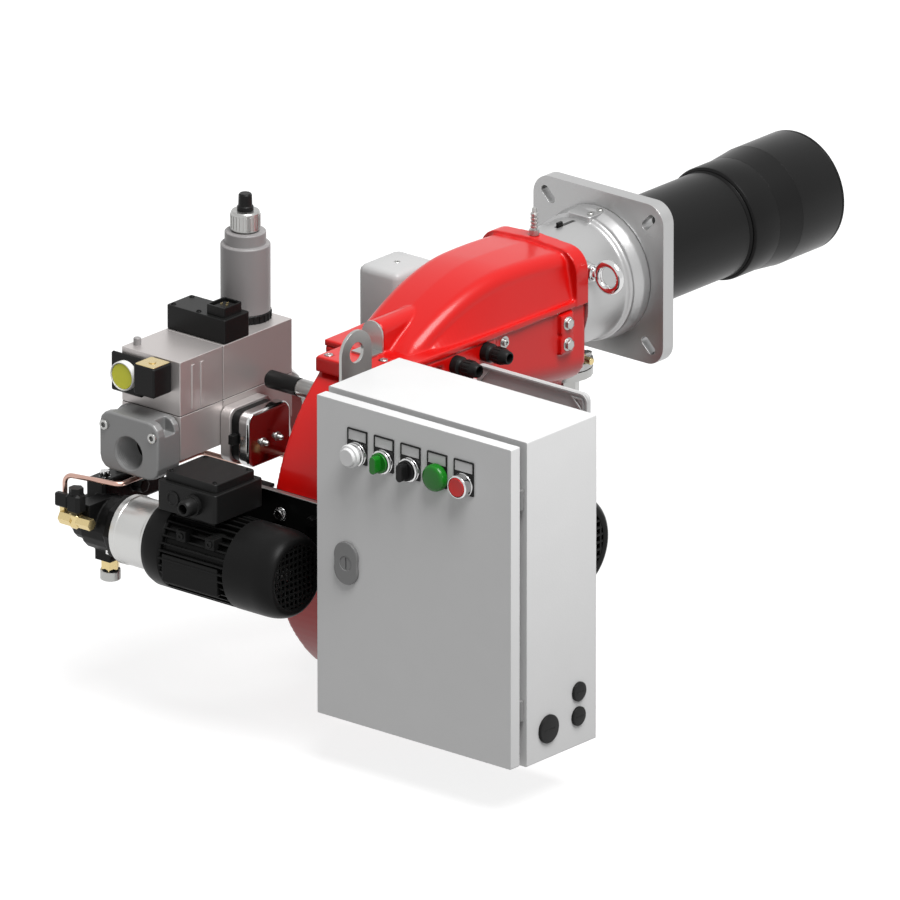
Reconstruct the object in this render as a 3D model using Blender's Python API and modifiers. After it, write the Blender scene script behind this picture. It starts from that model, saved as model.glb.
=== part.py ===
"""Dual-fuel forced-draught burner (gas and light oil), modelled piece by piece.

Metres, +Z up. +Y runs along the blast tube towards the flame, +X to the right along the cabinet door.
The origin is the centre of the boiler flange's mating face, on the blast tube's axis.
"""

import math

import bmesh
import bpy
from mathutils import Matrix, Vector

# Clearances
SEAT_GAP = 0.0003
RUN_GAP = 0.0006
OVERLAP = 0.002
PASS = 0.010
WELD = 0.000005
MIN_FLAT = 0.001

# Boiler flange
FLANGE_SIDE = 0.200
FLANGE_THICK = 0.019
FLANGE_CORNER = 0.025
FLANGE_SLOT_WIDTH = 0.011
FLANGE_SLOT_LENGTH = 0.024
FLANGE_SLOT_CENTRE = 0.077
FLANGE_EDGE_ROUND = 0.003

# Head collar
COLLAR_RADIUS = 0.074
COLLAR_FOOT_RADIUS = 0.081
COLLAR_FOOT_LENGTH = 0.012
COLLAR_CONE_LENGTH = 0.021
COLLAR_LENGTH = 0.106
COLLAR_BORE = 0.067
COLLAR_PAD_WIDTH = 0.036
COLLAR_PAD_HEIGHT = 0.076
PAD_SCREW_X = 0.011
POINTER_Y = -0.080
POINTER_SLOT_LENGTH = 0.034
POINTER_SLOT_WIDTH = 0.006
GAS_NECK_Y = -0.085
GAS_NECK_RADIUS = 0.024
GAS_NECK_BORE = 0.018
GAS_NECK_FLANGE_RADIUS = 0.037
GAS_NECK_FLANGE_THICK = 0.010
GAS_NECK_DEPTH = 0.100
NIPPLE_RISE = 0.014
HUB_RADIUS = 0.030
HUB_LENGTH = 0.052
COLLAR_PAD_FOOT = 0.04
WEB_LENGTH = 0.008
WEB_HALF = 0.004
POINTER_SLOT_FLOOR = 0.055
SHANK_START = 0.045
SHANK_HOLE_LENGTH = 0.035
PAD_SCREW_SHARES = (0.28, 0.75)
PAD_SCREW_HEIGHT = 0.003
PAD_SCREW_RADIUS = 0.004
NECK_BOLT_INSET = 0.008
NECK_BOLT_ANGLES = (45.0, 135.0, 225.0, 315.0)
NECK_BOLT_HEIGHT = 0.005
NECK_BOLT_RADIUS = 0.0065
NIPPLE_HEX_LENGTH = 0.008
NIPPLE_HEX_RADIUS = 0.006
NIPPLE_STEM_START = 0.006
NIPPLE_STEM_LENGTH = 0.016
NIPPLE_STEM_RADIUS = 0.0042

# Eyebolt
EYEBOLT_Y = -0.114
EYEBOLT_Z = 0.039
EYEBOLT_WIRE = 0.0048
EYEBOLT_RING = 0.0165
EYEBOLT_SHANK = 0.006
EYEBOLT_REACH = 0.096
EYEBOLT_BOSS = 0.0106
EYEBOLT_SHOULDER = 0.070
EYEBOLT_BOSS_DEPTH = 0.016
EYEBOLT_DEPTH = 0.014
EYEBOLT_SHOULDER_THICK = 0.005
EYEBOLT_SHOULDER_RADIUS = 0.010

# Blast tube
TUBE_RADIUS = 0.065
TUBE_WALL = 0.003
TUBE_INSERT = 0.030
TUBE_STEP_Y = 0.184
TUBE_GROOVE = 0.003
TUBE_MID_RADIUS = 0.0698
TUBE_CONE_START = 0.235
TUBE_CONE_END = 0.273
TUBE_HEAD_RADIUS = 0.0738
TUBE_END_Y = 0.350
TUBE_LIP = 0.006

# Combustion head
HEAD_TRAVEL = 0.020
GAS_TUBE_RADIUS = 0.024
GAS_TUBE_WALL = 0.003
GAS_TUBE_REAR = -0.140
GAS_TUBE_FRONT = 0.262
NOZZLE_COUNT = 6
NOZZLE_RADIUS = 0.006
NOZZLE_REACH = 0.048
DIFFUSER_RADIUS = 0.056
DIFFUSER_THICK = 0.003
DIFFUSER_Y = 0.285
DIFFUSER_SLOTS = 8
DIFFUSER_SLOT_WIDTH = 0.004
DIFFUSER_SLOT_LENGTH = 0.022
DIFFUSER_HOLE = 0.014
LANCE_RADIUS = 0.007
LANCE_REAR = -0.134
LANCE_FRONT = 0.276
ELECTRODE_RADIUS = 0.0021
CERAMIC_RADIUS = 0.004
ELECTRODE_SPREAD = 0.035
NOZZLE_SETBACK = 0.012
HEAD_WINDOW_INSET = 0.002
GAS_TUBE_CAP = 0.004
DIFFUSER_SLOT_START = 0.008
DIFFUSER_SLOT_SKEW = 18.0
STAY_ANGLES = (45.0, 165.0, 285.0)
STAY_INSET = 0.004
STAY_RADIUS = 0.003
OIL_NOZZLE_LENGTH = 0.012
OIL_NOZZLE_TAPER = 0.55
ELECTRODE_TAIL = 0.010
ELECTRODE_SETBACK = 0.016
CERAMIC_START = 0.150
CERAMIC_LENGTH = 0.090
CLAMP_OVERHANG = 0.008
CLAMP_Y = (0.180, 0.190)
CLAMP_DEPTH = 0.007
CLAMP_TOP = 0.030
POINTER_SIDE_GAP = 0.0012
POINTER_HALF_LENGTH = 0.004
POINTER_PROUD = 0.003
POINTER_LEG = 0.008
POINTER_LEG_GAP = 0.004
POINTER_ARM_HEIGHT = 0.004

# Fan housing
HOUSING_FRONT = -0.1253
DUCT_HALF_WIDTH = 0.070
DUCT_DEPTH = 0.097
DUCT_CLIMB = 0.045
DUCT_CORNER = 0.036
DUCT_REAR_Y = -0.412
DUCT_REAR_HALF = 0.062
PARTING_Z = 0.005
HOUSING_WALL = 0.005
VOLUTE_HALF_WIDTH = 0.042
FAN_Y = -0.329
FAN_Z = -0.206
VOLUTE_START = 0.194
VOLUTE_GROWTH = 0.020
FAN_EYE = 0.070
FAN_OPENING = 0.124
BODY_PAD_THICK = 0.006
BODY_PAD_HALF = 0.0115
BODY_BOLT_Y = -0.165
BODY_BOLT_Z = (-0.009, -0.035)
HEX_RADIUS = 0.0085
HEX_HEIGHT = 0.0055
DUCT_CLIMB_POWER = 1.5
DUCT_STATIONS = 4
VOLUTE_STEPS = 22
VOLUTE_TURNS = 0.80
VOLUTE_NECK = 0.030
VOLUTE_CUTOFF = 0.02
GLAND_BOSS_REAR = 0.045
GLAND_BOSS_FRONT = 0.050
GLAND_BOSS_Z = (-0.024, 0.006)
BOSS_WEB_THICK = 0.006
BOSS_WEB_Z = (-0.040, -0.020)
SERVO_BOSS_DEPTH = 0.010
SERVO_BOSS_SPREAD = 0.022
SERVO_BOSS_HALF = 0.007
SERVO_BOSS_RISE = 0.012
PLATE_SEAT_HALF = 0.030
PLATE_SEAT_DEPTH = 0.020
PLATE_SEAT_LOW = 0.012
PLATE_SEAT_HIGH = 0.070
FRONT_WALL_EXTRA = 0.003
MOUTH_DEPTH = 0.030
MOUTH_CUT = 0.060
MOUTH_INSET = 0.004
SHAFT_EYE_GAP = 0.004
LID_CUT_X = (-0.2, 0.2)
LID_CUT_Y = (-0.70, 0.10)
LID_CUT_TOP = 0.30

# Top cover
FRAME_DEPTH = 0.022
FRAME_HALF_WIDTH = 0.0745
FRAME_TOP = 0.076
FRAME_CORNER = 0.028
COVER_BASE_FRONT = 0.071
COVER_BASE_REAR = 0.063
COVER_SHOULDER_FRONT = 0.062
COVER_SHOULDER_REAR = 0.048
COVER_CORNER = 0.018
COVER_REAR_Y = -0.417
COVER_FRONT_TOP = 0.070
COVER_CREST = 0.077
COVER_CREST_Y = -0.245
COVER_REAR_TOP = 0.016
COVER_WALL = 0.004
COVER_RIM = 0.003
COVER_RIM_HEIGHT = 0.008
SIGHT_TUNNEL_RADIUS = 0.0155
SIGHT_TUNNEL_Z = 0.034
SIGHT_TUNNEL_APEX = -0.325
SIGHT_TUNNEL_MOUTH = -0.428
REAR_PLATE_BACK = -0.485
REAR_PLATE_FRONT = -0.405
REAR_PLATE_HALF_WIDTH = 0.041
REAR_PLATE_THICK = 0.019
REAR_PLATE_TOP = 0.012
SIGHT_PLATE_THICK = 0.0025
SIGHT_PLATE_FOOT = 0.022
CROWN_SHARE = 0.04
CROWN_LIMIT = 0.2
COVER_FALL_POWER = 1.9
STATION_POWER = 0.85
TUNNEL_FLARE = 0.002
COVER_SCREW_HEIGHT = 0.0035
COVER_SCREW_RADIUS = 0.006
COVER_SCREWS = ((-0.030, 0.012), (0.030, 0.040))
COVER_REAR_WEB = 0.030
SIGHT_BORE = 0.009
TAP_HEX_HEIGHT = 0.006
TAP_HEX_RADIUS = 0.007
TAP_STEM_START = 0.004
TAP_PROFILE = (
    (0.030, 0.0), (0.030, 0.0025), (0.026, 0.0042), (0.019, 0.003), (0.019, 0.0045), (0.011, 0.003),
    (0.011, 0.0045), (0.0, 0.0045), (0.0, 0.0),
)

# Lifting lug
LUG_THICK = 0.004
LUG_WIDTH = 0.054
LUG_Y = -0.513
LUG_EYE_Z = 0.044
LUG_EYE_RADIUS = 0.0125
LUG_DEPTH = 0.110
LUG_BOLT_OFFSET = 0.008
LUG_BOLT_HEIGHT = 0.005
LUG_BOLT_RADIUS = 0.0075
LUG_BOLT_Z = (-0.035, -0.095)

# Air intake, damper and servomotor
INTAKE_DEPTH = 0.070
INTAKE_REAR = -0.480
INTAKE_FRONT = -0.263
INTAKE_TOP = -0.140
INTAKE_BOTTOM = -0.355
INTAKE_WALL = 0.003
DAMPER_Z = -0.290
DAMPER_THICK = 0.002
DAMPER_HALF = 0.061
DAMPER_SHAFT = 0.004
CRANK_LENGTH = 0.030
CRANK_THICK = 0.0036
LINK_PIN = 0.0025
LINK_ROD = 0.0032
SERVO_WIDTH = 0.062
SERVO_LENGTH = 0.073
SERVO_TOP = 0.052
SERVO_HEIGHT = 0.110
SERVO_X = -0.106
SERVO_Y = -0.2605
SERVO_SHAFT_Z = -0.020
SHUTTER_GAP = 0.002
BLADE_SIDE_GAP = 0.002
PIN_PROUD = 0.006
PIN_LENGTH = 0.008
CRANK_HUB_RADIUS = 0.009
CRANK_EYE_RADIUS = 0.006
SERVO_CORNER = 0.009
SERVO_SOCKET_DEPTH = 0.020
SERVO_SHAFT_RADIUS = 0.005
SERVO_SCREW_DEPTH = 0.002
SERVO_SCREW_RADIUS = 0.004
SERVO_SHAFT_LENGTH = 0.018
LINK_EYE = 0.007

# Fan, and the two motors
FAN_RADIUS = 0.115
FAN_WIDTH = 0.056
FAN_BLADES = 12
FAN_BLADE_CHORD = 0.026
FAN_BLADE_THICK = 0.0022
FAN_HUB = 0.022
INTAKE_PLATE_RADIUS = 0.132
FAN_MOTOR_RADIUS = 0.060
FAN_MOTOR_END = 0.222
PUMP_MOTOR_RADIUS = 0.0535
PUMP_Y = -0.631
PUMP_Z = -0.200
PUMP_MOTOR_LEFT = -0.145
PUMP_MOTOR_END = 0.055
MOTOR_SHIELD = 0.034
MOTOR_COVER_LENGTH = 0.069
MOTOR_SHAFT = 0.009
ROTOR_RADIUS = 0.030
ROTOR_GAP = 0.0008
FIN_COUNT = 14
FIN_DEPTH = 0.006
FAN_COVER_WALL = 0.002
GRILLE_PITCH = 0.0180
GRILLE_HOLE = 0.0135
GRILLE_FIELD = 0.044
FIN_FOOT_SHARE = 0.30
FIN_TOP_SHARE = 0.16
FIN_INSET = 0.001
SHIELD_CHAMFER = 0.010
SHIELD_STEP = 0.006
BEARING_LENGTH = 0.012
DOME_LENGTH = 0.030
DOME_RIM_SHARE = 0.80
DOME_OUTER_SHARE = 0.35
DOME_MIDDLE_SHARE = 0.94
DOME_INNER_SHARE = 0.4
COOLING_FAN_GAP = 0.012
SPINDLE_SETBACK = 0.016
ROTOR_END_GAP = 0.001
COOLING_HUB_LENGTH = 0.024
COOLING_HUB_RADIUS = 0.016
VANE_START = 0.002
VANE_END = 0.022
VANE_TIP_GAP = 0.010
VANE_HALF = 0.001
VANE_MIDDLE = 0.012
WHEEL_GAP = 0.006
SPINDLE_INSET = 0.016
WHEEL_DISC = 0.003
WHEEL_HUB_START = 0.014
WHEEL_HUB_SHORT = 0.016
BLADE_SINK = 0.001
BLADE_ROOT = 0.004
BLADE_LEAN = 14.0

# Junction box
JUNCTION_LEFT = 0.085
JUNCTION_WIDTH = 0.170
JUNCTION_HEIGHT = 0.130
JUNCTION_TOP = -0.007
JUNCTION_DEPTH = 0.012
JUNCTION_BOX_RIGHT = 0.240
JUNCTION_BOX_TOP = -0.014
JUNCTION_REAR_Y = -0.337
JUNCTION_LID = 0.006
JUNCTION_LUG_TOP = -0.034
JUNCTION_LUG_HEIGHT = 0.024
GLAND_RADIUS = 0.0095
GLAND_REACH = 0.105
BOSS_REACH = 0.068
JUNCTION_BOX_INSET = 0.004
JUNCTION_LUG_INSET = 0.002
JUNCTION_CORNER = 0.008
JUNCTION_EDGE = 0.002
RECESS_CORNER = 0.020
RECESS_MARGIN = 0.006
RECESS_DEPTH = 0.003
FRONT_GLAND_Y = 0.031
FRONT_GLAND_Z = 0.007
REAR_GLAND_Y = 0.024
REAR_GLAND_Z = 0.008
GLAND_NUT_LENGTH = 0.010
GLAND_NUT_STEP = 0.002
GLAND_NUT_FACE = 0.008
GLAND_HOLE_DEPTH = 0.012
GLAND_HOLE = 0.0055

# Oil side
CROSS_PLATE_THICK = 0.003
CROSS_PLATE_RISE = 0.070
CROSS_PLATE_HEIGHT = 0.105
CROSS_PLATE_LEFT = -0.150
CROSS_PLATE_LIP = 0.014
TERMINAL_BOX_LENGTH = 0.090
TERMINAL_BOX_WIDTH = 0.086
TERMINAL_BOX_RISE = 0.102
TERMINAL_BOX_FROM_LEFT = 0.067
BELL_RADIUS = 0.042
BELL_WALL = 0.004
BELL_LENGTH = 0.055
PUMP_BODY_RADIUS = 0.034
PUMP_LENGTH = 0.070
MANIFOLD_RISE = 0.050
MANIFOLD_WIDTH = 0.030
OIL_PIPE_RADIUS = 0.003
OIL_PIPE_BEND = 0.010
OIL_PIPE_RISE = 0.0655
OIL_PIPE_FROM_COIL = 0.0243
OIL_PIPE_FROM_BACK = 0.001
OIL_PIPE_FROM_MOTOR = 0.0455
OIL_PIPE_BEFORE_AXIS = 0.030
OIL_PIPE_BEFORE_SENSOR = 0.052
OIL_PIPE_AFTER_VALVE = 0.014
OIL_COIL_FROM_LEFT = 0.0313
OIL_COIL_WIDTH = 0.020
OIL_COIL_DEPTH = 0.018
OIL_COIL_FROM_AXIS = 0.044
OIL_COIL_HEIGHT = 0.026
OIL_COIL_RISE = 0.0253
CROSS_PLATE_EDGE = 0.001
CROSS_PLATE_TAB = 0.050
CROSS_PLATE_SLOT_LEFT = 0.004
CROSS_PLATE_SLOT_RIGHT = 0.012
CROSS_BOLT_HEIGHT = 0.006
CROSS_BOLT_DROP = 0.025
CROSS_BOLT_CROWN = 0.0055
CROSS_BOLT_X = (-0.024, 0.024)
COUPLING_GAP = 0.006
COUPLING_LENGTH = 0.036
COUPLING_RADIUS = 0.020
PUMP_STUB_REACH = 0.020
PUMP_STUB_LENGTH = 0.040
PUMP_STUB_RADIUS = 0.005
SPINDLE_IN_COUPLING = 0.010
MOTOR_FOOT_DEPTH = 0.016
MOTOR_FOOT_START = 0.050
MOTOR_FOOT_END = 0.115
MOTOR_FOOT_HALF = 0.028
BOX_SEAT_HALF_LENGTH = 0.030
BOX_SEAT_HALF_WIDTH = 0.026
BOX_SEAT_DEPTH = 0.014
BOX_SEAT_PROUD = 0.002
NAMEPLATE_LEFT = 0.036
NAMEPLATE_RIGHT = 0.024
NAMEPLATE_SINK = 0.001
NAMEPLATE_BACK = 0.036
NAMEPLATE_LOW = 0.024
NAMEPLATE_HIGH = 0.020
FOOT_BORE_LENGTH = 0.2
FOOT_BORE_GAP = 0.004
BOX_LID_RISE = 0.010
BOX_CORNER = 0.004
BOX_LID_INSET_X = 0.007
BOX_LID_INSET_Y = 0.008
BOX_LID_DEPTH = 0.014
BOX_LID_CORNER = 0.003
BOX_GLAND_X = 0.012
BOX_GLAND_REACH = 0.020
BOX_GLAND_LENGTH = 0.022
BOX_GLAND_RADIUS = 0.011
KNOCK_OUT_X = 0.020
KNOCK_OUT_PROUD = 0.0015
KNOCK_OUT_LENGTH = 0.004
KNOCK_OUT_RADIUS = 0.009
BOX_GLAND_CUT = 0.030
BOX_GLAND_HOLE_LENGTH = 0.026
BOX_GLAND_HOLE = 0.006
BELL_FACE = 0.004
BELL_EYE = 0.012
PUMP_FLANGE_THICK = 0.010
PUMP_FLANGE_RADIUS = 0.040
PUMP_BODY_REACH = 0.050
PUMP_BODY_LENGTH = 0.042
PUMP_CAP_LENGTH = 0.024
PUMP_CAP_STEP = 0.007
MANIFOLD_SETBACK = 0.052
MANIFOLD_FRONT = 0.004
MANIFOLD_REAR = 0.106
MANIFOLD_HEIGHT = 0.040
MANIFOLD_EDGE = 0.003
THROAT_INSET = 0.004
THROAT_FRONT = 0.0035
THROAT_REAR = 0.020
THROAT_TOP = 0.030
COIL_MOUNT_LEFT = 0.009
COIL_MOUNT_RIGHT = 0.012
COIL_MOUNT_LOW = 0.004
COIL_MOUNT_HIGH = 0.034
PUMP_FOOT_LEFT = 0.044
PUMP_FOOT_RIGHT = 0.020
PUMP_FOOT_HALF = 0.014
PUMP_BOLT_HEIGHT = 0.006
PUMP_BOLT_RADIUS = 0.007
PUMP_BOLT_CROWN = 0.0055
MANIFOLD_BOLTS = (0.014, 0.042, 0.094)
FLANGE_BOLT_ANGLES = (225.0, 315.0)
FLANGE_BOLT_RING = 0.0345
FLANGE_BOLT_REACH = 0.015
FLANGE_BOLT_HEIGHT = 0.005
FLANGE_BOLT_RADIUS = 0.0045
DRAIN_X = 0.032
DRAIN_LENGTH = 0.014
DRAIN_RADIUS = 0.010
DRAIN_NUT_DROP = 0.026
DRAIN_NUT_RADIUS = 0.012
REAR_PORT_Y = 0.050
REAR_PORT_DROP = 0.016
REAR_PORT_LENGTH = 0.018
REAR_PORT_RADIUS = 0.009
STUB_BORE_REACH = 0.028
OIL_COIL_CORNER = 0.004
CONNECTOR_REACH = 0.018
CONNECTOR_FRONT = 0.001
CONNECTOR_BACK = 0.010
CONNECTOR_LOW = 0.005
CONNECTOR_DROP = 0.004
CONNECTOR_EDGE = 0.002
OIL_NUT_LENGTH = 0.008
OIL_NUT_RADIUS = 0.009
BRASS_INSET_X = 0.004
BRASS_INSET_Y = 0.003
BRASS_HEIGHT = 0.018
BRASS_EDGE = 0.002
LEFT_NUT_REACH = 0.012
BRASS_MIDDLE = 0.009
LEFT_NUT_LENGTH = 0.018
LEFT_NUT_RADIUS = 0.0085
RIGHT_NUT_START = 0.006
RIGHT_NUT_LENGTH = 0.020
RIGHT_NUT_RADIUS = 0.0075
RISER_NUT_LENGTH = 0.016
RISER_NUT_RADIUS = 0.0062
BACK_STUB_START = 0.008
BACK_STUB_LENGTH = 0.0080
BACK_STUB_RADIUS = 0.006

# Gas train
VALVE_LEFT = -0.235
VALVE_WIDTH = 0.090
VALVE_FRONT = -0.606
VALVE_LENGTH = 0.201
VALVE_BOTTOM = -0.110
VALVE_SEAM = -0.055
VALVE_TOP = 0.012
SEAM_WIDTH = 0.0012
GAS_PORT_RADIUS = 0.021
GAS_PORT_RISE = 0.010
INLET_SIDE = 0.091
INLET_FOOT = 0.0265
INLET_LENGTH = 0.040
COIL_FROM_REAR = 0.031
COIL_RADIUS = 0.0295
COIL_BASE = 0.014
COIL_HEIGHT = 0.093
COIL_NECK_RADIUS = 0.0245
COIL_NECK_HEIGHT = 0.015
FLOW_CAP_RADIUS = 0.018
FLOW_CAP_HEIGHT = 0.025
FLOW_STEM_RADIUS = 0.008
FLOW_STEM_HEIGHT = 0.021
VALVE_BOX_FROM_REAR = 0.076
VALVE_BOX_LENGTH = 0.045
VALVE_BOX_HEIGHT = 0.030
SWITCH_SIDE = 0.048
SWITCH_FROM_LEFT = 0.012
SWITCH_FROM_TOP = 0.031
DIAL_RADIUS = 0.0155
PLUG_WIDTH = 0.032
PLUG_DEPTH = 0.033
PLUG_FROM_MIDDLE = 0.017
PROVER_FROM_FRONT = 0.109
PROVER_RISE = 0.003
PROVER_LENGTH = 0.076
PROVER_HEIGHT = 0.068
GAS_PIPE_RADIUS = 0.0205
GAS_PIPE_Z = -0.168
GAS_PIPE_BEND = 0.032
GAS_PIPE_DROP = 0.046
CHAMBER_RISE = 0.014
CHAMBER_DEPTH = 0.050
CHAMBER_STEP = 0.004
GROOVE_DEPTH = 0.003
GROOVE_WIDTH = 0.009
GROOVE_TOP = 0.010
GROOVE_PLACES = (0.010, 0.026)
INLET_CORNER = 0.016
INLET_EDGE = 0.003
POCKET_HALF = 0.016
POCKET_FRONT = 0.012
POCKET_REAR = 0.010
POCKET_DEPTH = 0.018
VALVE_BOX_EDGE = 0.002
SOCKET_LEFT = 0.034
SOCKET_MARGIN = 0.006
SOCKET_HEIGHT = 0.012
COIL_EDGE = 0.001
COIL_RING_HEIGHT = 0.010
COIL_RING_PROUD = 0.0015
CAP_BEARING_DEPTH = 0.012
CAP_PIN_RADIUS = 0.006
CAP_EDGE = 0.002
CAP_FOOT = 0.004
CAP_PIN_DEPTH = 0.010
SWITCH_PLATE = 0.006
SWITCH_EDGE = 0.002
DIAL_RING_FOOT = 0.002
DIAL_RING_TIP = 0.0015
DIAL_RING_DEPTH = 0.009
PLUG_LOW = 0.027
BRIDGE_DEPTH = 0.012
BRIDGE_Z = (-0.024, 0.004)
DIAL_THICK = 0.003
PROVER_BASE = 0.015
PROVER_CORNER = 0.012
PROVER_RING_START = 0.013
PROVER_RING_END = 0.028
PROVER_RING_INSET = 0.003
PROVER_TAB_START = 0.018
PROVER_TAB_END = 0.026
PROVER_TAB_FRONT = 0.007
PROVER_TAB_BACK = 0.008
PROVER_TAB_HALF = 0.006
PROVER_COVER = 0.018
PROVER_COVER_CORNER = 0.013
PROVER_EDGE = 0.004
PROVER_NIPPLE_START = 0.014
PROVER_NIPPLE_DROP = 0.006
PROVER_NIPPLE_LENGTH = 0.012
PROVER_NIPPLE_RADIUS = 0.0045
PROVER_NIPPLES = (-0.012, 0.014)
OUTLET_RISE = 0.020
PIPE_RIM = 0.012

# Flame sensor
SENSOR_Y = -0.462
SENSOR_Z = -0.044
SENSOR_RADIUS = 0.011
SENSOR_LENGTH = 0.048
SENSOR_HOLDER_LENGTH = 0.042
HOLDER_FLANGE = 0.008
HOLDER_FLANGE_THICK = 0.006
HOLDER_TAPER = 0.004
HOLDER_STEP = 0.001
SENSOR_EDGE = 0.003

# Control cabinet
CABINET_LEFT = 0.090
CABINET_WIDTH = 0.300
CABINET_DEPTH = 0.125
CABINET_HEIGHT = 0.400
CABINET_FRONT_Y = -0.6146
CABINET_BOTTOM = -0.3584
CABINET_WALL = 0.002
CABINET_EDGE_ROUND = 0.004
NECK_INSET = 0.011
NECK_LENGTH = 0.0174
DOOR_THICK = 0.016
DOOR_GAP = 0.009
DOOR_MARGIN = 0.003
DOOR_SKIN = 0.002
HINGE_INSET = 0.0055
KNUCKLE_RADIUS = 0.004
HINGE_PIN = 0.002
HINGE_LENGTH = 0.024
LOCK_FROM_LEFT = 0.0495
LOCK_RADIUS = 0.0175
LOCK_LENGTH = 0.052
OPERATOR_FIRST_SHARE = 0.21833
OPERATOR_PITCH_SHARE = 0.13433
OPERATOR_FROM_TOP = 0.0611
OPERATOR_COUNT = 5
OPERATOR_HOLE = 0.011
LEGEND_WIDTH = 0.030
LEGEND_HEIGHT = 0.050
LEGEND_THICK = 0.0015
LEGEND_FROM_TOP = 0.0316
BEZEL_RADIUS = 0.0145
BEZEL_DEPTH = 0.007
BUTTON_TRAVEL = 0.004
PLUG_LARGE = 0.017
PLUG_SMALL = 0.0115
NECK_ROOT = 0.010
NECK_OPENING = 0.020
PLUG_PROUD = 0.004
PLUG_EDGE = 0.002
HINGE_ARM_END = 0.006
HINGE_ARM_SINK = 0.001
HINGE_ARM_HALF = 0.002
HINGE_PIN_EXTRA = 0.004
HINGE_PIN_GAP = 0.0002
SHEET_MARGIN = 0.020
SHEET_BACK = 0.008
SHEET_FRONT = 0.006
STUD_LENGTH = 0.007
STUD_RADIUS = 0.006
STUD_MARGIN = 0.035
PLUG_PLACES = (
    (0.0383, 0.0369, PLUG_LARGE),
    (0.0932, 0.0674, PLUG_SMALL),
    (0.0923, 0.0371, PLUG_SMALL),
)
HINGE_FROM_END = 0.070
LOCK_STEM_HOLE = 0.009
BARREL_DEPTH = 0.030
BARREL_STEP = 0.001
BEZEL_EDGE = 0.002
STEM_WAY_DEPTH = 0.020
STEM_WAY = 0.0085
LAMP_RADIUS = 0.0165
LAMP_SIDE = 0.007
LAMP_SIDE_RADIUS = 0.0160
LAMP_DEPTH = 0.010
LAMP_FACE_RADIUS = 0.0140
LENS_DEPTH = 0.009
STEM_DEPTH = 0.014
LENS_RADIUS = 0.0145
LENS_STEP = 0.001
LENS_EDGE_RADIUS = 0.0140
LENS_INNER_RADIUS = 0.0110
LENS_FACE_RADIUS = 0.0105
LENS_FACE = 0.004
STOP_RADIUS = 0.0115
STOP_SIDE = 0.003
STOP_DEPTH = 0.004
STOP_FACE_RADIUS = 0.0105
SELECTOR_RADIUS = 0.0125
SELECTOR_BASE = 0.003
GRIP_HALF_WIDTH = 0.0045
GRIP_FRONT = 0.016
GRIP_SINK = 0.001
GRIP_HALF_LENGTH = 0.0115
GRIP_EDGE = 0.002
LOCK_WAIST_SHARE = 0.86
LOCK_COVER_PROUD = 0.004
LOCK_STEM_SHORT = 0.003
LOCK_STEM_PROUD = 0.003
CAM_BACK = 0.003
CAM_FRONT = 0.0005
CAM_HALF_WIDTH = 0.007
CAM_TAIL = 0.006
KEY_SLOT_HALF = 0.0008
KEY_SLOT_FRONT = 0.004
KEY_SLOT_BACK = 0.001

# Values that follow from the sizes above
COLLAR_REAR = -(FLANGE_THICK + COLLAR_LENGTH)
COLLAR_FRONT = -FLANGE_THICK - SEAT_GAP
VOLUTE_RIGHT = VOLUTE_HALF_WIDTH + SEAT_GAP
VOLUTE_REAR_Y = FAN_Y - VOLUTE_START - 2.0 * VOLUTE_GROWTH - 2.0 * SEAT_GAP
COVER_BASE = PARTING_Z + SEAT_GAP
MOTOR_FACE = VOLUTE_RIGHT
INTAKE_RIGHT = -VOLUTE_HALF_WIDTH - SEAT_GAP
INTAKE_LEFT = INTAKE_RIGHT - INTAKE_DEPTH
SERVO_LEFT = SERVO_X - SERVO_WIDTH / 2.0
CRANK_RIGHT = SERVO_LEFT - SEAT_GAP
CRANK_LEFT = CRANK_RIGHT - CRANK_THICK
CROSS_PLATE_FRONT = VOLUTE_REAR_Y - SEAT_GAP
CROSS_PLATE_REAR = CROSS_PLATE_FRONT - CROSS_PLATE_THICK
DOOR_BACK_Y = CABINET_FRONT_Y - DOOR_GAP
DOOR_FRONT_Y = DOOR_BACK_Y - DOOR_THICK
CABINET_RIGHT = CABINET_LEFT + CABINET_WIDTH
CABINET_TOP = CABINET_BOTTOM + CABINET_HEIGHT
HINGE_X = CABINET_RIGHT - HINGE_INSET
HINGE_Y = DOOR_BACK_Y + KNUCKLE_RADIUS + RUN_GAP / 2.0
VALVE_RIGHT = VALVE_LEFT + VALVE_WIDTH
VALVE_REAR = VALVE_FRONT + VALVE_LENGTH
VALVE_MID_X = VALVE_LEFT + VALVE_WIDTH / 2.0
PUMP_LEFT = PUMP_MOTOR_LEFT - BELL_LENGTH - PUMP_LENGTH
NIPPLE_Z = NIPPLE_RISE - GAS_NECK_DEPTH
GAS_PORT_Z = VALVE_BOTTOM + GAS_PORT_RISE
COIL_Y = VALVE_REAR - COIL_FROM_REAR
COIL_TOP = VALVE_TOP + COIL_HEIGHT
COIL_NECK_TOP = COIL_TOP + COIL_NECK_HEIGHT
FLOW_CAP_TOP = COIL_NECK_TOP + FLOW_CAP_HEIGHT
FLOW_STEM_TOP = FLOW_CAP_TOP + FLOW_STEM_HEIGHT
VALVE_BOX_REAR = VALVE_REAR - VALVE_BOX_FROM_REAR
SWITCH_X = VALVE_LEFT + SWITCH_FROM_LEFT
SWITCH_Z = VALVE_TOP - SWITCH_FROM_TOP
PLUG_X = VALVE_MID_X + PLUG_FROM_MIDDLE
PROVER_Y = VALVE_FRONT + PROVER_FROM_FRONT
PROVER_Z = GAS_PORT_Z + PROVER_RISE
OIL_COIL_X = PUMP_LEFT + OIL_COIL_FROM_LEFT
OIL_COIL_BACK = PUMP_Y - OIL_COIL_FROM_AXIS
OIL_COIL_BOTTOM = PUMP_Z + OIL_COIL_RISE
OIL_PIPE_X = OIL_COIL_X - OIL_PIPE_FROM_COIL
OIL_PIPE_Y = OIL_COIL_BACK - OIL_PIPE_FROM_BACK
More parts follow.
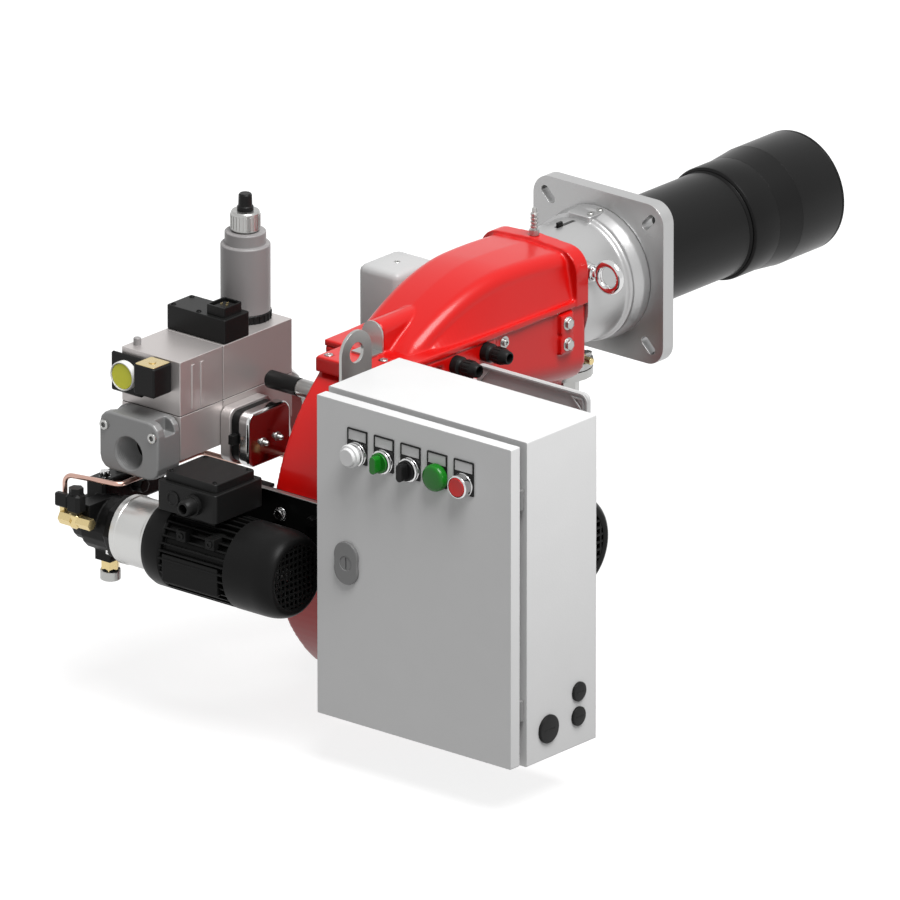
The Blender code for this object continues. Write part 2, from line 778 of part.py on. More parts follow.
OIL_PIPE_TOP = PUMP_Z + OIL_PIPE_RISE
OIL_PIPE_MID_X = PUMP_MOTOR_LEFT - OIL_PIPE_FROM_MOTOR
OIL_PIPE_MID_Y = PUMP_Y - OIL_PIPE_BEFORE_AXIS
OIL_PIPE_REAR_Y = SENSOR_Y - OIL_PIPE_BEFORE_SENSOR
OIL_PIPE_RIGHT_X = VALVE_RIGHT + OIL_PIPE_AFTER_VALVE
TERMINAL_BOX_X = PUMP_MOTOR_LEFT + TERMINAL_BOX_FROM_LEFT
TERMINAL_BOX_TOP = PUMP_Z + TERMINAL_BOX_RISE
MANIFOLD_TOP = PUMP_Z + MANIFOLD_RISE
CROSS_PLATE_TOP = PUMP_Z + CROSS_PLATE_RISE
CROSS_BOLT_Z = CROSS_PLATE_TOP - CROSS_BOLT_DROP
LOCK_X = CABINET_LEFT + LOCK_FROM_LEFT
LOCK_Z = CABINET_BOTTOM + CABINET_HEIGHT / 2.0
OPERATOR_FIRST_X = CABINET_LEFT + CABINET_WIDTH * OPERATOR_FIRST_SHARE
OPERATOR_PITCH = CABINET_WIDTH * OPERATOR_PITCH_SHARE
OPERATOR_Z = CABINET_TOP - OPERATOR_FROM_TOP
LEGEND_TOP = CABINET_TOP - LEGEND_FROM_TOP

# Finishes: base colour, roughness, metallic
FINISHES = {
    "red_paint": ((0.60, 0.012, 0.012, 1.0), 0.28, 0.0),
    "grey_powder": ((0.72, 0.73, 0.74, 1.0), 0.50, 0.0),
    "cast_aluminium": ((0.62, 0.62, 0.63, 1.0), 0.38, 0.9),
    "plated_steel": ((0.70, 0.70, 0.70, 1.0), 0.25, 1.0),
    "black_paint": ((0.012, 0.012, 0.013, 1.0), 0.35, 0.0),
    "black_plastic": ((0.015, 0.015, 0.016, 1.0), 0.42, 0.0),
    "grey_plastic": ((0.52, 0.53, 0.54, 1.0), 0.45, 0.0),
    "brass": ((0.72, 0.52, 0.20, 1.0), 0.28, 1.0),
    "copper": ((0.72, 0.40, 0.28, 1.0), 0.25, 1.0),
    "chrome": ((0.80, 0.80, 0.82, 1.0), 0.12, 1.0),
    "ceramic": ((0.85, 0.84, 0.80, 1.0), 0.35, 0.0),
    "white_plastic": ((0.80, 0.80, 0.78, 1.0), 0.30, 0.0),
    "green_plastic": ((0.01, 0.30, 0.03, 1.0), 0.25, 0.0),
    "red_plastic": ((0.60, 0.02, 0.02, 1.0), 0.28, 0.0),
    "yellow_dial": ((0.80, 0.75, 0.05, 1.0), 0.40, 0.0),
}

AXES = {"X": Vector((1.0, 0.0, 0.0)), "Y": Vector((0.0, 1.0, 0.0)), "Z": Vector((0.0, 0.0, 1.0))}
PLANES = {
    "X": Matrix(((0, 0, 1, 0), (1, 0, 0, 0), (0, 1, 0, 0), (0, 0, 0, 1))),
    "Y": Matrix(((1, 0, 0, 0), (0, 0, -1, 0), (0, 1, 0, 0), (0, 0, 0, 1))),
    "Z": Matrix.Identity(4),
}
ROUND_SIDES = 20
WIDE_SIDES = 28
SMALL_SIDES = 8
HEX_SIDES = 6
BISECTIONS = 40
SMOOTH_ANGLE = math.radians(35.0)


# Scene and collections
def clear_scene():
    """Remove every object that the file starts with."""
    for thing in list(bpy.data.objects):
        bpy.data.objects.remove(thing, do_unlink=True)


def new_collection(name):
    group = bpy.data.collections.new(name)
    bpy.context.scene.collection.children.link(group)
    return group


def make_materials():
    """One Principled material for each finish."""
    made = {}
    for name, (colour, roughness, metallic) in FINISHES.items():
        material = bpy.data.materials.new(name)
        material.use_nodes = True
        shader = material.node_tree.nodes["Principled BSDF"]
        shader.inputs["Base Color"].default_value = colour
        shader.inputs["Roughness"].default_value = roughness
        shader.inputs["Metallic"].default_value = metallic
        material.diffuse_color = colour
        made[name] = material
    return made


clear_scene()
PARTS = new_collection("gas_burner")
CUTTERS = new_collection("cutters")
MATERIALS = make_materials()


# Basic solids
def from_bmesh(bm, location=(0.0, 0.0, 0.0)):
    """A cutter object from a bmesh, until finish() or a Boolean takes it."""
    mesh = bpy.data.meshes.new("shape")
    bm.to_mesh(mesh)
    bm.free()
    shape = bpy.data.objects.new("shape", mesh)
    shape.location = location
    CUTTERS.objects.link(shape)
    return shape


def block(x, y, z, rounding=0.0, steps=2):
    """Box between two limits on each axis, with its edges rounded where a radius is given."""
    size = Vector((x[1] - x[0], y[1] - y[0], z[1] - z[0]))
    centre = Vector((x[0] + x[1], y[0] + y[1], z[0] + z[1])) / 2.0
    bm = bmesh.new()
    bmesh.ops.create_cube(bm, size=1.0)
    bmesh.ops.scale(bm, vec=size, verts=bm.verts)
    shape = from_bmesh(bm, centre)
    if rounding > 0.0:
        round_edges(shape, min(rounding, min(size) * 0.49), steps)
    return shape


def cylinder(start, axis, length, radius, sides=ROUND_SIDES, end_radius=None):
    """Cylinder or cone from a start point along an axis."""
    bm = bmesh.new()
    top = radius if end_radius is None else end_radius
    bmesh.ops.create_cone(bm, cap_ends=True, segments=sides, radius1=radius, radius2=top, depth=length)
    direction = AXES[axis]
    turn = Vector((0.0, 0.0, 1.0)).rotation_difference(direction).to_matrix().to_4x4()
    bmesh.ops.transform(bm, matrix=turn, verts=bm.verts)
    return from_bmesh(bm, Vector(start) + direction * (length / 2.0))


def turned(origin, axis, profile, sides=ROUND_SIDES):
    """Turned solid: profile holds (distance along the axis, radius) from the far end to the near one."""
    bm = bmesh.new()
    closed = profile[0] == profile[-1]
    points = [bm.verts.new((radius, 0.0, along)) for along, radius in (profile[:-1] if closed else profile)]
    if closed:
        points.append(points[0])
    for one, two in zip(points, points[1:]):
        bm.edges.new((one, two))
    shape = from_bmesh(bm)
    screw = shape.modifiers.new("turn", "SCREW")
    screw.axis = "Z"
    screw.steps = sides
    screw.render_steps = sides
    screw.use_merge_vertices = True
    screw.merge_threshold = 0.00001
    turn = Vector((0.0, 0.0, 1.0)).rotation_difference(AXES[axis]).to_matrix().to_4x4()
    shape.matrix_world = Matrix.Translation(Vector(origin)) @ turn
    return shape


def settle(shape):
    """Replace a curve by its mesh, with its caps welded."""
    depsgraph = bpy.context.evaluated_depsgraph_get()
    mesh = bpy.data.meshes.new_from_object(shape.evaluated_get(depsgraph))
    bm = bmesh.new()
    bm.from_mesh(mesh)
    bmesh.ops.remove_doubles(bm, verts=bm.verts, dist=0.000001)
    bm.to_mesh(mesh)
    bm.free()
    settled = bpy.data.objects.new("shape", mesh)
    settled.matrix_world = shape.matrix_world.copy()
    CUTTERS.objects.link(settled)
    bpy.data.objects.remove(shape, do_unlink=True)
    return settled


def plate(axis, low, high, loops):
    """Flat outlines, the first the rim and the others holes, extruded between two limits of an axis.

    Outline points are (y, z) on an X plane, (x, z) on a Y plane and (x, y) on a Z plane.
    """
    curve = bpy.data.curves.new("outline", "CURVE")
    curve.dimensions = "2D"
    curve.fill_mode = "BOTH"
    curve.extrude = (high - low) / 2.0
    for loop in loops:
        spline = curve.splines.new("POLY")
        spline.points.add(len(loop) - 1)
        for point, (a, b) in zip(spline.points, loop):
            point.co = (a, b, 0.0, 1.0)
        spline.use_cyclic_u = True
    shape = bpy.data.objects.new("outline", curve)
    CUTTERS.objects.link(shape)
    middle = AXES[axis] * ((low + high) / 2.0)
    shape.matrix_world = Matrix.Translation(middle) @ PLANES[axis]
    bpy.context.view_layer.update()
    return settle(shape)


def pipe(points, radius, bend, resolution=2):
    """Round bar or pipe through corner points, each corner rounded with a bend radius."""
    route = rounded_route([Vector(p) for p in points], bend)
    curve = bpy.data.curves.new("pipe", "CURVE")
    curve.dimensions = "3D"
    curve.bevel_depth = radius
    curve.bevel_resolution = resolution
    curve.use_fill_caps = True
    spline = curve.splines.new("POLY")
    spline.points.add(len(route) - 1)
    for point, place in zip(spline.points, route):
        point.co = (*place, 1.0)
    shape = bpy.data.objects.new("pipe", curve)
    CUTTERS.objects.link(shape)
    bpy.context.view_layer.update()
    return settle(shape)


def rounded_route(corners, bend, steps=4):
    """Route through corner points with each inner corner replaced by an arc."""
    route = [corners[0]]
    for before, corner, after in zip(corners, corners[1:], corners[2:]):
        back = (before - corner).normalized()
        ahead = (after - corner).normalized()
        half = back.angle(ahead) / 2.0
        reach = bend / math.tan(half)
        centre = corner + (back + ahead).normalized() * (bend / math.sin(half))
        first = corner + back * reach - centre
        last = corner + ahead * reach - centre
        sweep = first.angle(last)
        normal = first.cross(last).normalized()
        for step in range(steps + 1):
            route.append(centre + Matrix.Rotation(sweep * step / steps, 3, normal) @ first)
    route.append(corners[-1])
    return route


def loft(sections):
    """Closed solid through matching closed sections of points, in order along its length."""
    bm = bmesh.new()
    rings = [[bm.verts.new(point) for point in section] for section in sections]
    count = len(rings[0])
    for one, two in zip(rings, rings[1:]):
        for i in range(count):
            j = (i + 1) % count
            bm.faces.new((one[i], one[j], two[j], two[i]))
    bm.faces.new(rings[0][::-1])
    bm.faces.new(rings[-1])
    bmesh.ops.recalc_face_normals(bm, faces=bm.faces)
    return from_bmesh(bm)


# Outlines
def rectangle(x, y, radius=0.0, steps=4):
    """Rectangle outline between limits, with corners of a radius."""
    if radius <= 0.0:
        return [(x[0], y[0]), (x[1], y[0]), (x[1], y[1]), (x[0], y[1])]
    centres = [
        (x[1] - radius, y[0] + radius, -90.0),
        (x[1] - radius, y[1] - radius, 0.0),
        (x[0] + radius, y[1] - radius, 90.0),
        (x[0] + radius, y[0] + radius, 180.0),
    ]
    points = []
    for cx, cy, start in centres:
        points += arc(cx, cy, radius, start, start + 90.0, steps)
    return points


def arc(cx, cy, radius, start, end, steps):
    """Points of an arc, angles in degrees."""
    points = []
    for step in range(steps + 1):
        angle = math.radians(start + (end - start) * step / steps)
        points.append((cx + radius * math.cos(angle), cy + radius * math.sin(angle)))
    return points


def circle(cx, cy, radius, sides=ROUND_SIDES):
    return arc(cx, cy, radius, 0.0, 360.0 * (sides - 1) / sides, sides - 1)


def slot(cx, cy, length, width, angle, steps=4):
    """Slot outline with round ends, turned by an angle in degrees."""
    half = (length - width) / 2.0
    points = arc(half, 0.0, width / 2.0, -90.0, 90.0, steps) + arc(
        -half, 0.0, width / 2.0, 90.0, 270.0, steps
    )
    c, s = math.cos(math.radians(angle)), math.sin(math.radians(angle))
    return [(cx + x * c - y * s, cy + x * s + y * c) for x, y in points]


# Modifiers and finishing
def round_edges(shape, width, steps=2, angle=40.0):
    bevel = shape.modifiers.new("rounding", "BEVEL")
    bevel.width = width
    bevel.segments = steps
    bevel.limit_method = "ANGLE"
    bevel.angle_limit = math.radians(angle)
    return shape


def park(cutter):
    cutter.hide_render = True
    cutter.display_type = "WIRE"


def boolean(target, operation, tools, solver):
    for tool in tools:
        modifier = target.modifiers.new(operation.lower(), "BOOLEAN")
        modifier.operation = operation
        modifier.solver = solver
        modifier.object = tool
        park(tool)
    return target


def fuse(target, *tools, solver="EXACT"):
    return boolean(target, "UNION", tools, solver)


def cut(target, *tools, solver="EXACT"):
    return boolean(target, "DIFFERENCE", tools, solver)


def weld(mesh):
    """Join the doubled points that a Boolean leaves, and drop the edges of no length."""
    bm = bmesh.new()
    bm.from_mesh(mesh)
    bmesh.ops.remove_doubles(bm, verts=bm.verts, dist=WELD)
    bmesh.ops.dissolve_degenerate(bm, edges=bm.edges, dist=WELD)
    bm.to_mesh(mesh)
    bm.free()


def finish(name, shape, finish_name):
    """Name a solid, give it its material and smooth shading, and move it among the parts."""
    depsgraph = bpy.context.evaluated_depsgraph_get()
    mesh = bpy.data.meshes.new_from_object(shape.evaluated_get(depsgraph))
    mesh.name = name
    weld(mesh)
    mesh.materials.clear()
    mesh.materials.append(MATERIALS[finish_name])
    mesh.shade_smooth()
    mesh.set_sharp_from_angle(angle=SMOOTH_ANGLE)
    piece = bpy.data.objects.new(name, mesh)
    piece.matrix_world = shape.matrix_world.copy()
    PARTS.objects.link(piece)
    for modifier in shape.modifiers:
        if modifier.type == "BOOLEAN":
            bpy.data.objects.remove(modifier.object, do_unlink=True)
    bpy.data.objects.remove(shape, do_unlink=True)
    return piece


def pivot(name, place, pieces):
    """Empty on a joint's axis that carries the pieces which move on it."""
    empty = bpy.data.objects.new(name, None)
    empty.empty_display_size = 0.02
    empty.location = place
    PARTS.objects.link(empty)
    bpy.context.view_layer.update()
    for piece in pieces:
        piece.parent = empty
        piece.matrix_parent_inverse = empty.matrix_world.inverted()
    return empty


# Flange, collar and blast tube
def build_flange():
    """Square boiler flange with four slots along its diagonals."""
    half = FLANGE_SIDE / 2.0
    loops = [rectangle((-half, half), (-half, half), FLANGE_CORNER, 5)]
    base = plate("Y", -FLANGE_THICK, 0.0, loops)
    round_edges(base, FLANGE_EDGE_ROUND, 1, 60.0)
    tools = [
        cylinder(
            (0.0, -FLANGE_THICK - PASS, 0.0), "Y", FLANGE_THICK + 2.0 * PASS, TUBE_RADIUS + SEAT_GAP,
            WIDE_SIDES,
        )
    ]
    for sx in (-1.0, 1.0):
        for sz in (-1.0, 1.0):
            outline = slot(
                sx * FLANGE_SLOT_CENTRE,
                sz * FLANGE_SLOT_CENTRE,
                FLANGE_SLOT_LENGTH,
                FLANGE_SLOT_WIDTH,
                45.0 * sx * sz,
                3,
            )
            tools.append(plate("Y", -FLANGE_THICK - PASS, PASS, [outline]))
    cut(base, *tools)
    finish("boiler_flange", base, "cast_aluminium")


def build_collar():
    """Cast collar between the housing and the flange, with the gas neck and the hub that guides the head."""
    foot = COLLAR_FRONT - COLLAR_FOOT_LENGTH
    cone = foot - COLLAR_CONE_LENGTH
    length = COLLAR_FRONT - COLLAR_REAR
    body = turned(
        (0.0, COLLAR_REAR, 0.0),
        "Y",
        [
            (length, 0.0),
            (length, COLLAR_FOOT_RADIUS),
            (foot - COLLAR_REAR, COLLAR_FOOT_RADIUS),
            (cone - COLLAR_REAR, COLLAR_RADIUS),
            (0.0, COLLAR_RADIUS),
            (0.0, 0.0),
        ],
        WIDE_SIDES,
    )
    pad_half = COLLAR_PAD_WIDTH / 2.0
    pad = block(
        (-pad_half, pad_half), (COLLAR_FRONT - COLLAR_PAD_WIDTH, COLLAR_FRONT),
        (COLLAR_PAD_FOOT, COLLAR_PAD_HEIGHT),
    )
    neck_top = -COLLAR_BORE + OVERLAP
    neck_low = -GAS_NECK_DEPTH + OVERLAP
    neck = cylinder((0.0, GAS_NECK_Y, neck_low), "Z", neck_top - neck_low, GAS_NECK_RADIUS)
    rim = cylinder((0.0, GAS_NECK_Y, -GAS_NECK_DEPTH), "Z", GAS_NECK_FLANGE_THICK, GAS_NECK_FLANGE_RADIUS)
    boss_start = COLLAR_BORE - EYEBOLT_BOSS_DEPTH
    boss = cylinder(
        (boss_start, EYEBOLT_Y, EYEBOLT_Z), "X", EYEBOLT_SHOULDER - SEAT_GAP - boss_start, EYEBOLT_BOSS, 16
    )
    fuse(body, pad, neck, rim, boss, solver="MANIFOLD")
    seat = TUBE_INSERT + RUN_GAP
    bore = turned(
        (0.0, COLLAR_REAR, 0.0),
        "Y",
        [
            (length + PASS, 0.0),
            (length + PASS, TUBE_RADIUS + SEAT_GAP),
            (length - seat, TUBE_RADIUS + SEAT_GAP),
            (length - seat, COLLAR_BORE - OVERLAP * 2.0),
            (length - seat - OVERLAP, COLLAR_BORE - OVERLAP * 2.0),
            (length - seat - OVERLAP, COLLAR_BORE),
            (-PASS, COLLAR_BORE),
            (-PASS, 0.0),
        ],
        WIDE_SIDES,
    )
    cut(body, bore, solver="MANIFOLD")
    hub_rear = GAS_NECK_Y - HUB_LENGTH / 2.0
    hub = cylinder((0.0, hub_rear, 0.0), "Y", HUB_LENGTH, HUB_RADIUS)
    riser = cylinder(
        (
            0.0, GAS_NECK_Y, neck_low + OVERLAP
        ), "Z", GAS_NECK_DEPTH - HUB_RADIUS - OVERLAP, GAS_NECK_RADIUS - OVERLAP
    )
    web_low = HUB_RADIUS - OVERLAP
    web_high = COLLAR_BORE + OVERLAP
    left_web = block((-web_high, -web_low), (hub_rear, hub_rear + WEB_LENGTH), (-WEB_HALF, WEB_HALF))
    right_web = block((web_low, web_high), (hub_rear, hub_rear + WEB_LENGTH), (-WEB_HALF, WEB_HALF))
    fuse(body, hub, riser, left_web, right_web, *collar_fasteners(), solver="MANIFOLD")
    guide = cylinder((0.0, hub_rear - PASS, 0.0), "Y", HUB_LENGTH + 2.0 * PASS, GAS_TUBE_RADIUS + RUN_GAP)
    gas_way = cylinder((0.0, GAS_NECK_Y, -GAS_NECK_DEPTH - PASS), "Z", GAS_NECK_DEPTH + PASS, GAS_NECK_BORE)
    slot_y = (POINTER_Y - POINTER_SLOT_LENGTH / 2.0, POINTER_Y + POINTER_SLOT_LENGTH / 2.0)
    pointer_slot = block(
        (-POINTER_SLOT_WIDTH / 2.0, POINTER_SLOT_WIDTH / 2.0), slot_y,
        (POINTER_SLOT_FLOOR, COLLAR_PAD_HEIGHT + PASS),
    )
    shank = cylinder(
        (SHANK_START, EYEBOLT_Y, EYEBOLT_Z), "X", SHANK_HOLE_LENGTH, EYEBOLT_SHANK + SEAT_GAP, SMALL_SIDES
    )
    cut(body, guide, gas_way, pointer_slot, shank, solver="MANIFOLD")
    finish("head_collar", body, "cast_aluminium")


def collar_fasteners():
    """Pad screws, neck bolts and the gas test nipple, joined to the casting."""
    heads = []
    for share in PAD_SCREW_SHARES:
        place = (PAD_SCREW_X, COLLAR_FRONT - COLLAR_PAD_WIDTH * share, COLLAR_PAD_HEIGHT - OVERLAP)
        heads.append(cylinder(place, "Z", PAD_SCREW_HEIGHT + OVERLAP, PAD_SCREW_RADIUS, SMALL_SIDES))
    ring = GAS_NECK_FLANGE_RADIUS - NECK_BOLT_INSET
    for angle in NECK_BOLT_ANGLES:
        x = ring * math.cos(math.radians(angle))
        y = GAS_NECK_Y + ring * math.sin(math.radians(angle))
        top = -GAS_NECK_DEPTH + GAS_NECK_FLANGE_THICK - OVERLAP
        heads.append(cylinder((x, y, top), "Z", NECK_BOLT_HEIGHT + OVERLAP, NECK_BOLT_RADIUS, HEX_SIDES))
    heads.append(
        cylinder(
            (GAS_NECK_RADIUS - OVERLAP, GAS_NECK_Y, NIPPLE_Z), "X", NIPPLE_HEX_LENGTH + OVERLAP,
            NIPPLE_HEX_RADIUS, HEX_SIDES,
        )
    )
    heads.append(
        cylinder(
            (GAS_NECK_RADIUS + NIPPLE_STEM_START, GAS_NECK_Y, NIPPLE_Z), "X", NIPPLE_STEM_LENGTH,
            NIPPLE_STEM_RADIUS, SMALL_SIDES,
        )
    )
    return heads


def build_eyebolt():
    """Lifting eyebolt whose shank runs across the collar's side."""
    bm = bmesh.new()
    ring_sides, wire_sides = 18, 6
    rings = []
    for i in range(ring_sides):
        turn = 2.0 * math.pi * i / ring_sides
        outward = Vector((math.cos(turn), 0.0, math.sin(turn)))
        loop = []
        for j in range(wire_sides):
            roll = 2.0 * math.pi * j / wire_sides
            offset = outward * (EYEBOLT_RING + EYEBOLT_WIRE * math.cos(roll))
            loop.append(bm.verts.new(offset + AXES["Y"] * (EYEBOLT_WIRE * math.sin(roll))))
        rings.append(loop)
    for i in range(ring_sides):
        for j in range(wire_sides):
            k, m = (i + 1) % ring_sides, (j + 1) % wire_sides
            bm.faces.new((rings[i][j], rings[k][j], rings[k][m], rings[i][m]))
    bmesh.ops.recalc_face_normals(bm, faces=bm.faces)
    eye = from_bmesh(bm, (EYEBOLT_REACH, EYEBOLT_Y, EYEBOLT_Z))
    start = COLLAR_BORE - EYEBOLT_DEPTH
    reach = EYEBOLT_REACH - EYEBOLT_RING - start
    shank = cylinder((start, EYEBOLT_Y, EYEBOLT_Z), "X", reach, EYEBOLT_SHANK, SMALL_SIDES)
    shoulder = cylinder(
        (EYEBOLT_SHOULDER, EYEBOLT_Y, EYEBOLT_Z), "X", EYEBOLT_SHOULDER_THICK, EYEBOLT_SHOULDER_RADIUS,
        SMALL_SIDES,
    )
    fuse(eye, shank, shoulder)
    finish("eyebolt", eye, "chrome")


def tube_profile(inset):
    """Outer or inner line of the blast tube from its mouth to its rear end."""
    return [
        (TUBE_END_Y, TUBE_HEAD_RADIUS - inset),
        (TUBE_CONE_END, TUBE_HEAD_RADIUS - inset),
        (TUBE_CONE_START, TUBE_MID_RADIUS - inset),
        (TUBE_STEP_Y + TUBE_GROOVE * 2.0, TUBE_MID_RADIUS - inset),
        (TUBE_STEP_Y + TUBE_GROOVE, TUBE_RADIUS - TUBE_GROOVE / 3.0 - inset),
        (TUBE_STEP_Y, TUBE_RADIUS - inset),
    ]


def build_blast_tube():
    """Stepped blast tube: a turned shell, open at both ends."""
    rear = COLLAR_FRONT - TUBE_INSERT
    outer = tube_profile(0.0) + [(rear, TUBE_RADIUS)]
    inner = [(rear, TUBE_RADIUS - TUBE_WALL)] + tube_profile(TUBE_WALL)[::-1]
    inner[-1] = (TUBE_END_Y - TUBE_LIP, TUBE_HEAD_RADIUS - TUBE_WALL)
    mouth = [(TUBE_END_Y, TUBE_HEAD_RADIUS - TUBE_WALL / 2.0)]
    profile = outer + inner + mouth + [outer[0]]
    shape = turned((0.0, 0.0, 0.0), "Y", profile, WIDE_SIDES)
    finish("blast_tube", shape, "black_paint")


# Combustion head inside the tube
def build_head():
    """Gas distributor, diffuser disc, oil lance, electrodes and pointer, which slide as one."""
    length = GAS_TUBE_FRONT - GAS_TUBE_REAR
    inner = GAS_TUBE_RADIUS - GAS_TUBE_WALL
    pipe_body = cylinder((0.0, GAS_TUBE_REAR, 0.0), "Y", length, GAS_TUBE_RADIUS)
    nozzles = []
    for i in range(NOZZLE_COUNT):
        angle = 2.0 * math.pi * (i + 0.5) / NOZZLE_COUNT
        nozzle = cylinder((0.0, 0.0, inner), "Z", NOZZLE_REACH - inner, NOZZLE_RADIUS, SMALL_SIDES)
        nozzle.matrix_world = (
            Matrix.Translation((0.0, GAS_TUBE_FRONT - NOZZLE_SETBACK, 0.0))
            @ Matrix.Rotation(angle, 4, "Y")
            @ Matrix.Translation((0.0, 0.0, (NOZZLE_REACH + inner) / 2.0))
        )
        nozzles.append(nozzle)
    fuse(pipe_body, *nozzles)
    window = cylinder(
        (0.0, GAS_NECK_Y, -GAS_TUBE_RADIUS - PASS), "Z", GAS_TUBE_RADIUS + PASS,
        GAS_NECK_BORE - HEAD_WINDOW_INSET,
    )
    hollow = cylinder((0.0, GAS_TUBE_REAR + GAS_TUBE_CAP, 0.0), "Y", length - 2.0 * GAS_TUBE_CAP, inner)
    passage = cylinder(
        (0.0, GAS_TUBE_REAR - PASS, 0.0), "Y", length + 2.0 * PASS, LANCE_RADIUS + SEAT_GAP, SMALL_SIDES
    )
    cut(pipe_body, hollow, window, passage)
    distributor = finish("gas_distributor", pipe_body, "plated_steel")

    slots = []
    middle = DIFFUSER_HOLE + DIFFUSER_SLOT_START + DIFFUSER_SLOT_LENGTH / 2.0
    for i in range(DIFFUSER_SLOTS):
        angle = 360.0 * i / DIFFUSER_SLOTS
        x = middle * math.cos(math.radians(angle))
        z = middle * math.sin(math.radians(angle))
        slots.append(slot(x, z, DIFFUSER_SLOT_LENGTH, DIFFUSER_SLOT_WIDTH, angle + DIFFUSER_SLOT_SKEW, 2))
    loops = [circle(0.0, 0.0, DIFFUSER_RADIUS, WIDE_SIDES), circle(0.0, 0.0, DIFFUSER_HOLE, 12)] + slots
    disc = plate("Y", DIFFUSER_Y, DIFFUSER_Y + DIFFUSER_THICK, loops)
    stays = []
    for angle in STAY_ANGLES:
        x = (GAS_TUBE_RADIUS - STAY_INSET) * math.cos(math.radians(angle))
        z = (GAS_TUBE_RADIUS - STAY_INSET) * math.sin(math.radians(angle))
        start = GAS_TUBE_FRONT + SEAT_GAP
        stays.append(cylinder((x, start, z), "Y", DIFFUSER_Y + OVERLAP / 2.0 - start, STAY_RADIUS, 8))
    fuse(disc, *stays)
    diffuser = finish("diffuser_disc", disc, "plated_steel")

    lance_length = LANCE_FRONT - LANCE_REAR
    profile = [
        (lance_length, 0.0),
        (lance_length, LANCE_RADIUS * OIL_NOZZLE_TAPER),
        (lance_length - OIL_NOZZLE_LENGTH, LANCE_RADIUS),
        (0.0, LANCE_RADIUS),
        (0.0, 0.0),
    ]
    lance = finish("oil_lance", turned((0.0, LANCE_REAR, 0.0), "Y", profile, SMALL_SIDES), "brass")

    rods = []
    for sx in (-1.0, 1.0):
        x = sx * ELECTRODE_SPREAD
        rod = cylinder(
            (x, -ELECTRODE_TAIL, ELECTRODE_SPREAD / 2.0), "Y", DIFFUSER_Y - ELECTRODE_SETBACK,
            ELECTRODE_RADIUS, 6,
        )
        rods.append(rod)
        rods.append(
            cylinder((x, CERAMIC_START, ELECTRODE_SPREAD / 2.0), "Y", CERAMIC_LENGTH, CERAMIC_RADIUS, 12)
        )
    clamp = block(
        (
            -ELECTRODE_SPREAD - CLAMP_OVERHANG, ELECTRODE_SPREAD + CLAMP_OVERHANG
        ), CLAMP_Y, (ELECTRODE_SPREAD / 2.0 - CLAMP_DEPTH, CLAMP_TOP)
    )
    saddle = cylinder((0.0, CLAMP_Y[0] - PASS, 0.0), "Y", 3.0 * PASS, GAS_TUBE_RADIUS + SEAT_GAP, ROUND_SIDES)
    cut(clamp, saddle)
    fuse(clamp, *rods)
    electrodes = finish("ignition_electrodes", clamp, "ceramic")

    pointer_y = POINTER_Y - HEAD_TRAVEL / 2.0
    stem_half = POINTER_SLOT_WIDTH / 2.0 - POINTER_SIDE_GAP
    stem_y = (pointer_y - POINTER_HALF_LENGTH, pointer_y + POINTER_HALF_LENGTH)
    foot_z = GAS_TUBE_RADIUS + SEAT_GAP
    hub_top = HUB_RADIUS + RUN_GAP
    stem = block((-stem_half, stem_half), stem_y, (hub_top, COLLAR_PAD_HEIGHT + POINTER_PROUD))
    front_y = GAS_NECK_Y + HUB_LENGTH / 2.0 + POINTER_LEG_GAP
    arm = block(
        (-stem_half, stem_half), (stem_y[0], front_y + POINTER_LEG), (hub_top, hub_top + POINTER_ARM_HEIGHT)
    )
    leg = block(
        (-stem_half, stem_half), (front_y, front_y + POINTER_LEG), (foot_z, hub_top + POINTER_ARM_HEIGHT)
    )
    fuse(arm, stem, leg)
    pointer = finish("head_pointer", arm, "black_plastic")
    pivot("pivot_head_adjust", (0.0, DIFFUSER_Y, 0.0), [distributor, diffuser, lance, electrodes, pointer])


# Fan housing and top cover
def along(y, front, rear, power=1.0):
    """Share of the way from a front station to a rear one, from 0 to 1."""
    return max(0.0, min(1.0, (front - y) / (front - rear))) ** power


def duct_half_width(y):
    """Half width of the duct, widest at the collar."""
    return DUCT_HALF_WIDTH + (DUCT_REAR_HALF - DUCT_HALF_WIDTH) * along(y, HOUSING_FRONT, DUCT_REAR_Y)


def duct_floor(y):
    """Height of the duct's floor, which climbs a little towards the rear."""
    return -DUCT_DEPTH + DUCT_CLIMB * along(y, HOUSING_FRONT, DUCT_REAR_Y, DUCT_CLIMB_POWER)


def u_section(y, half, bottom, top, corner, steps=4):
    """Upright U outline at one station: flat top, round lower corners."""
    corner = min(corner, half - MIN_FLAT)
    points = [(half, top), (-half, top)]
    points += [(x, z) for x, z in arc(-half + corner, bottom + corner, corner, 180.0, 270.0, steps)]
    points += [(x, z) for x, z in arc(half - corner, bottom + corner, corner, 270.0, 360.0, steps)]
    return [(x, y, z) for x, z in points]


def hood_section(y, half, base, top, corner, shoulder=None, steps=4):
    """Hood outline at one station: flat base, sides that lean in to the shoulders, slightly crowned top."""
    upper = half if shoulder is None else shoulder
    crown = min(CROWN_SHARE * upper, CROWN_LIMIT * (top - base))
    corner = min(corner, upper - MIN_FLAT, top - base - crown - MIN_FLAT)
    points = [(-half, base), (half, base)]
    points += arc(upper - corner, top - crown - corner, corner, 0.0, 90.0, steps)
    points += [(0.0, top)]
    points += arc(-upper + corner, top - crown - corner, corner, 90.0, 180.0, steps)
    return [(x, y, z) for x, z in points]


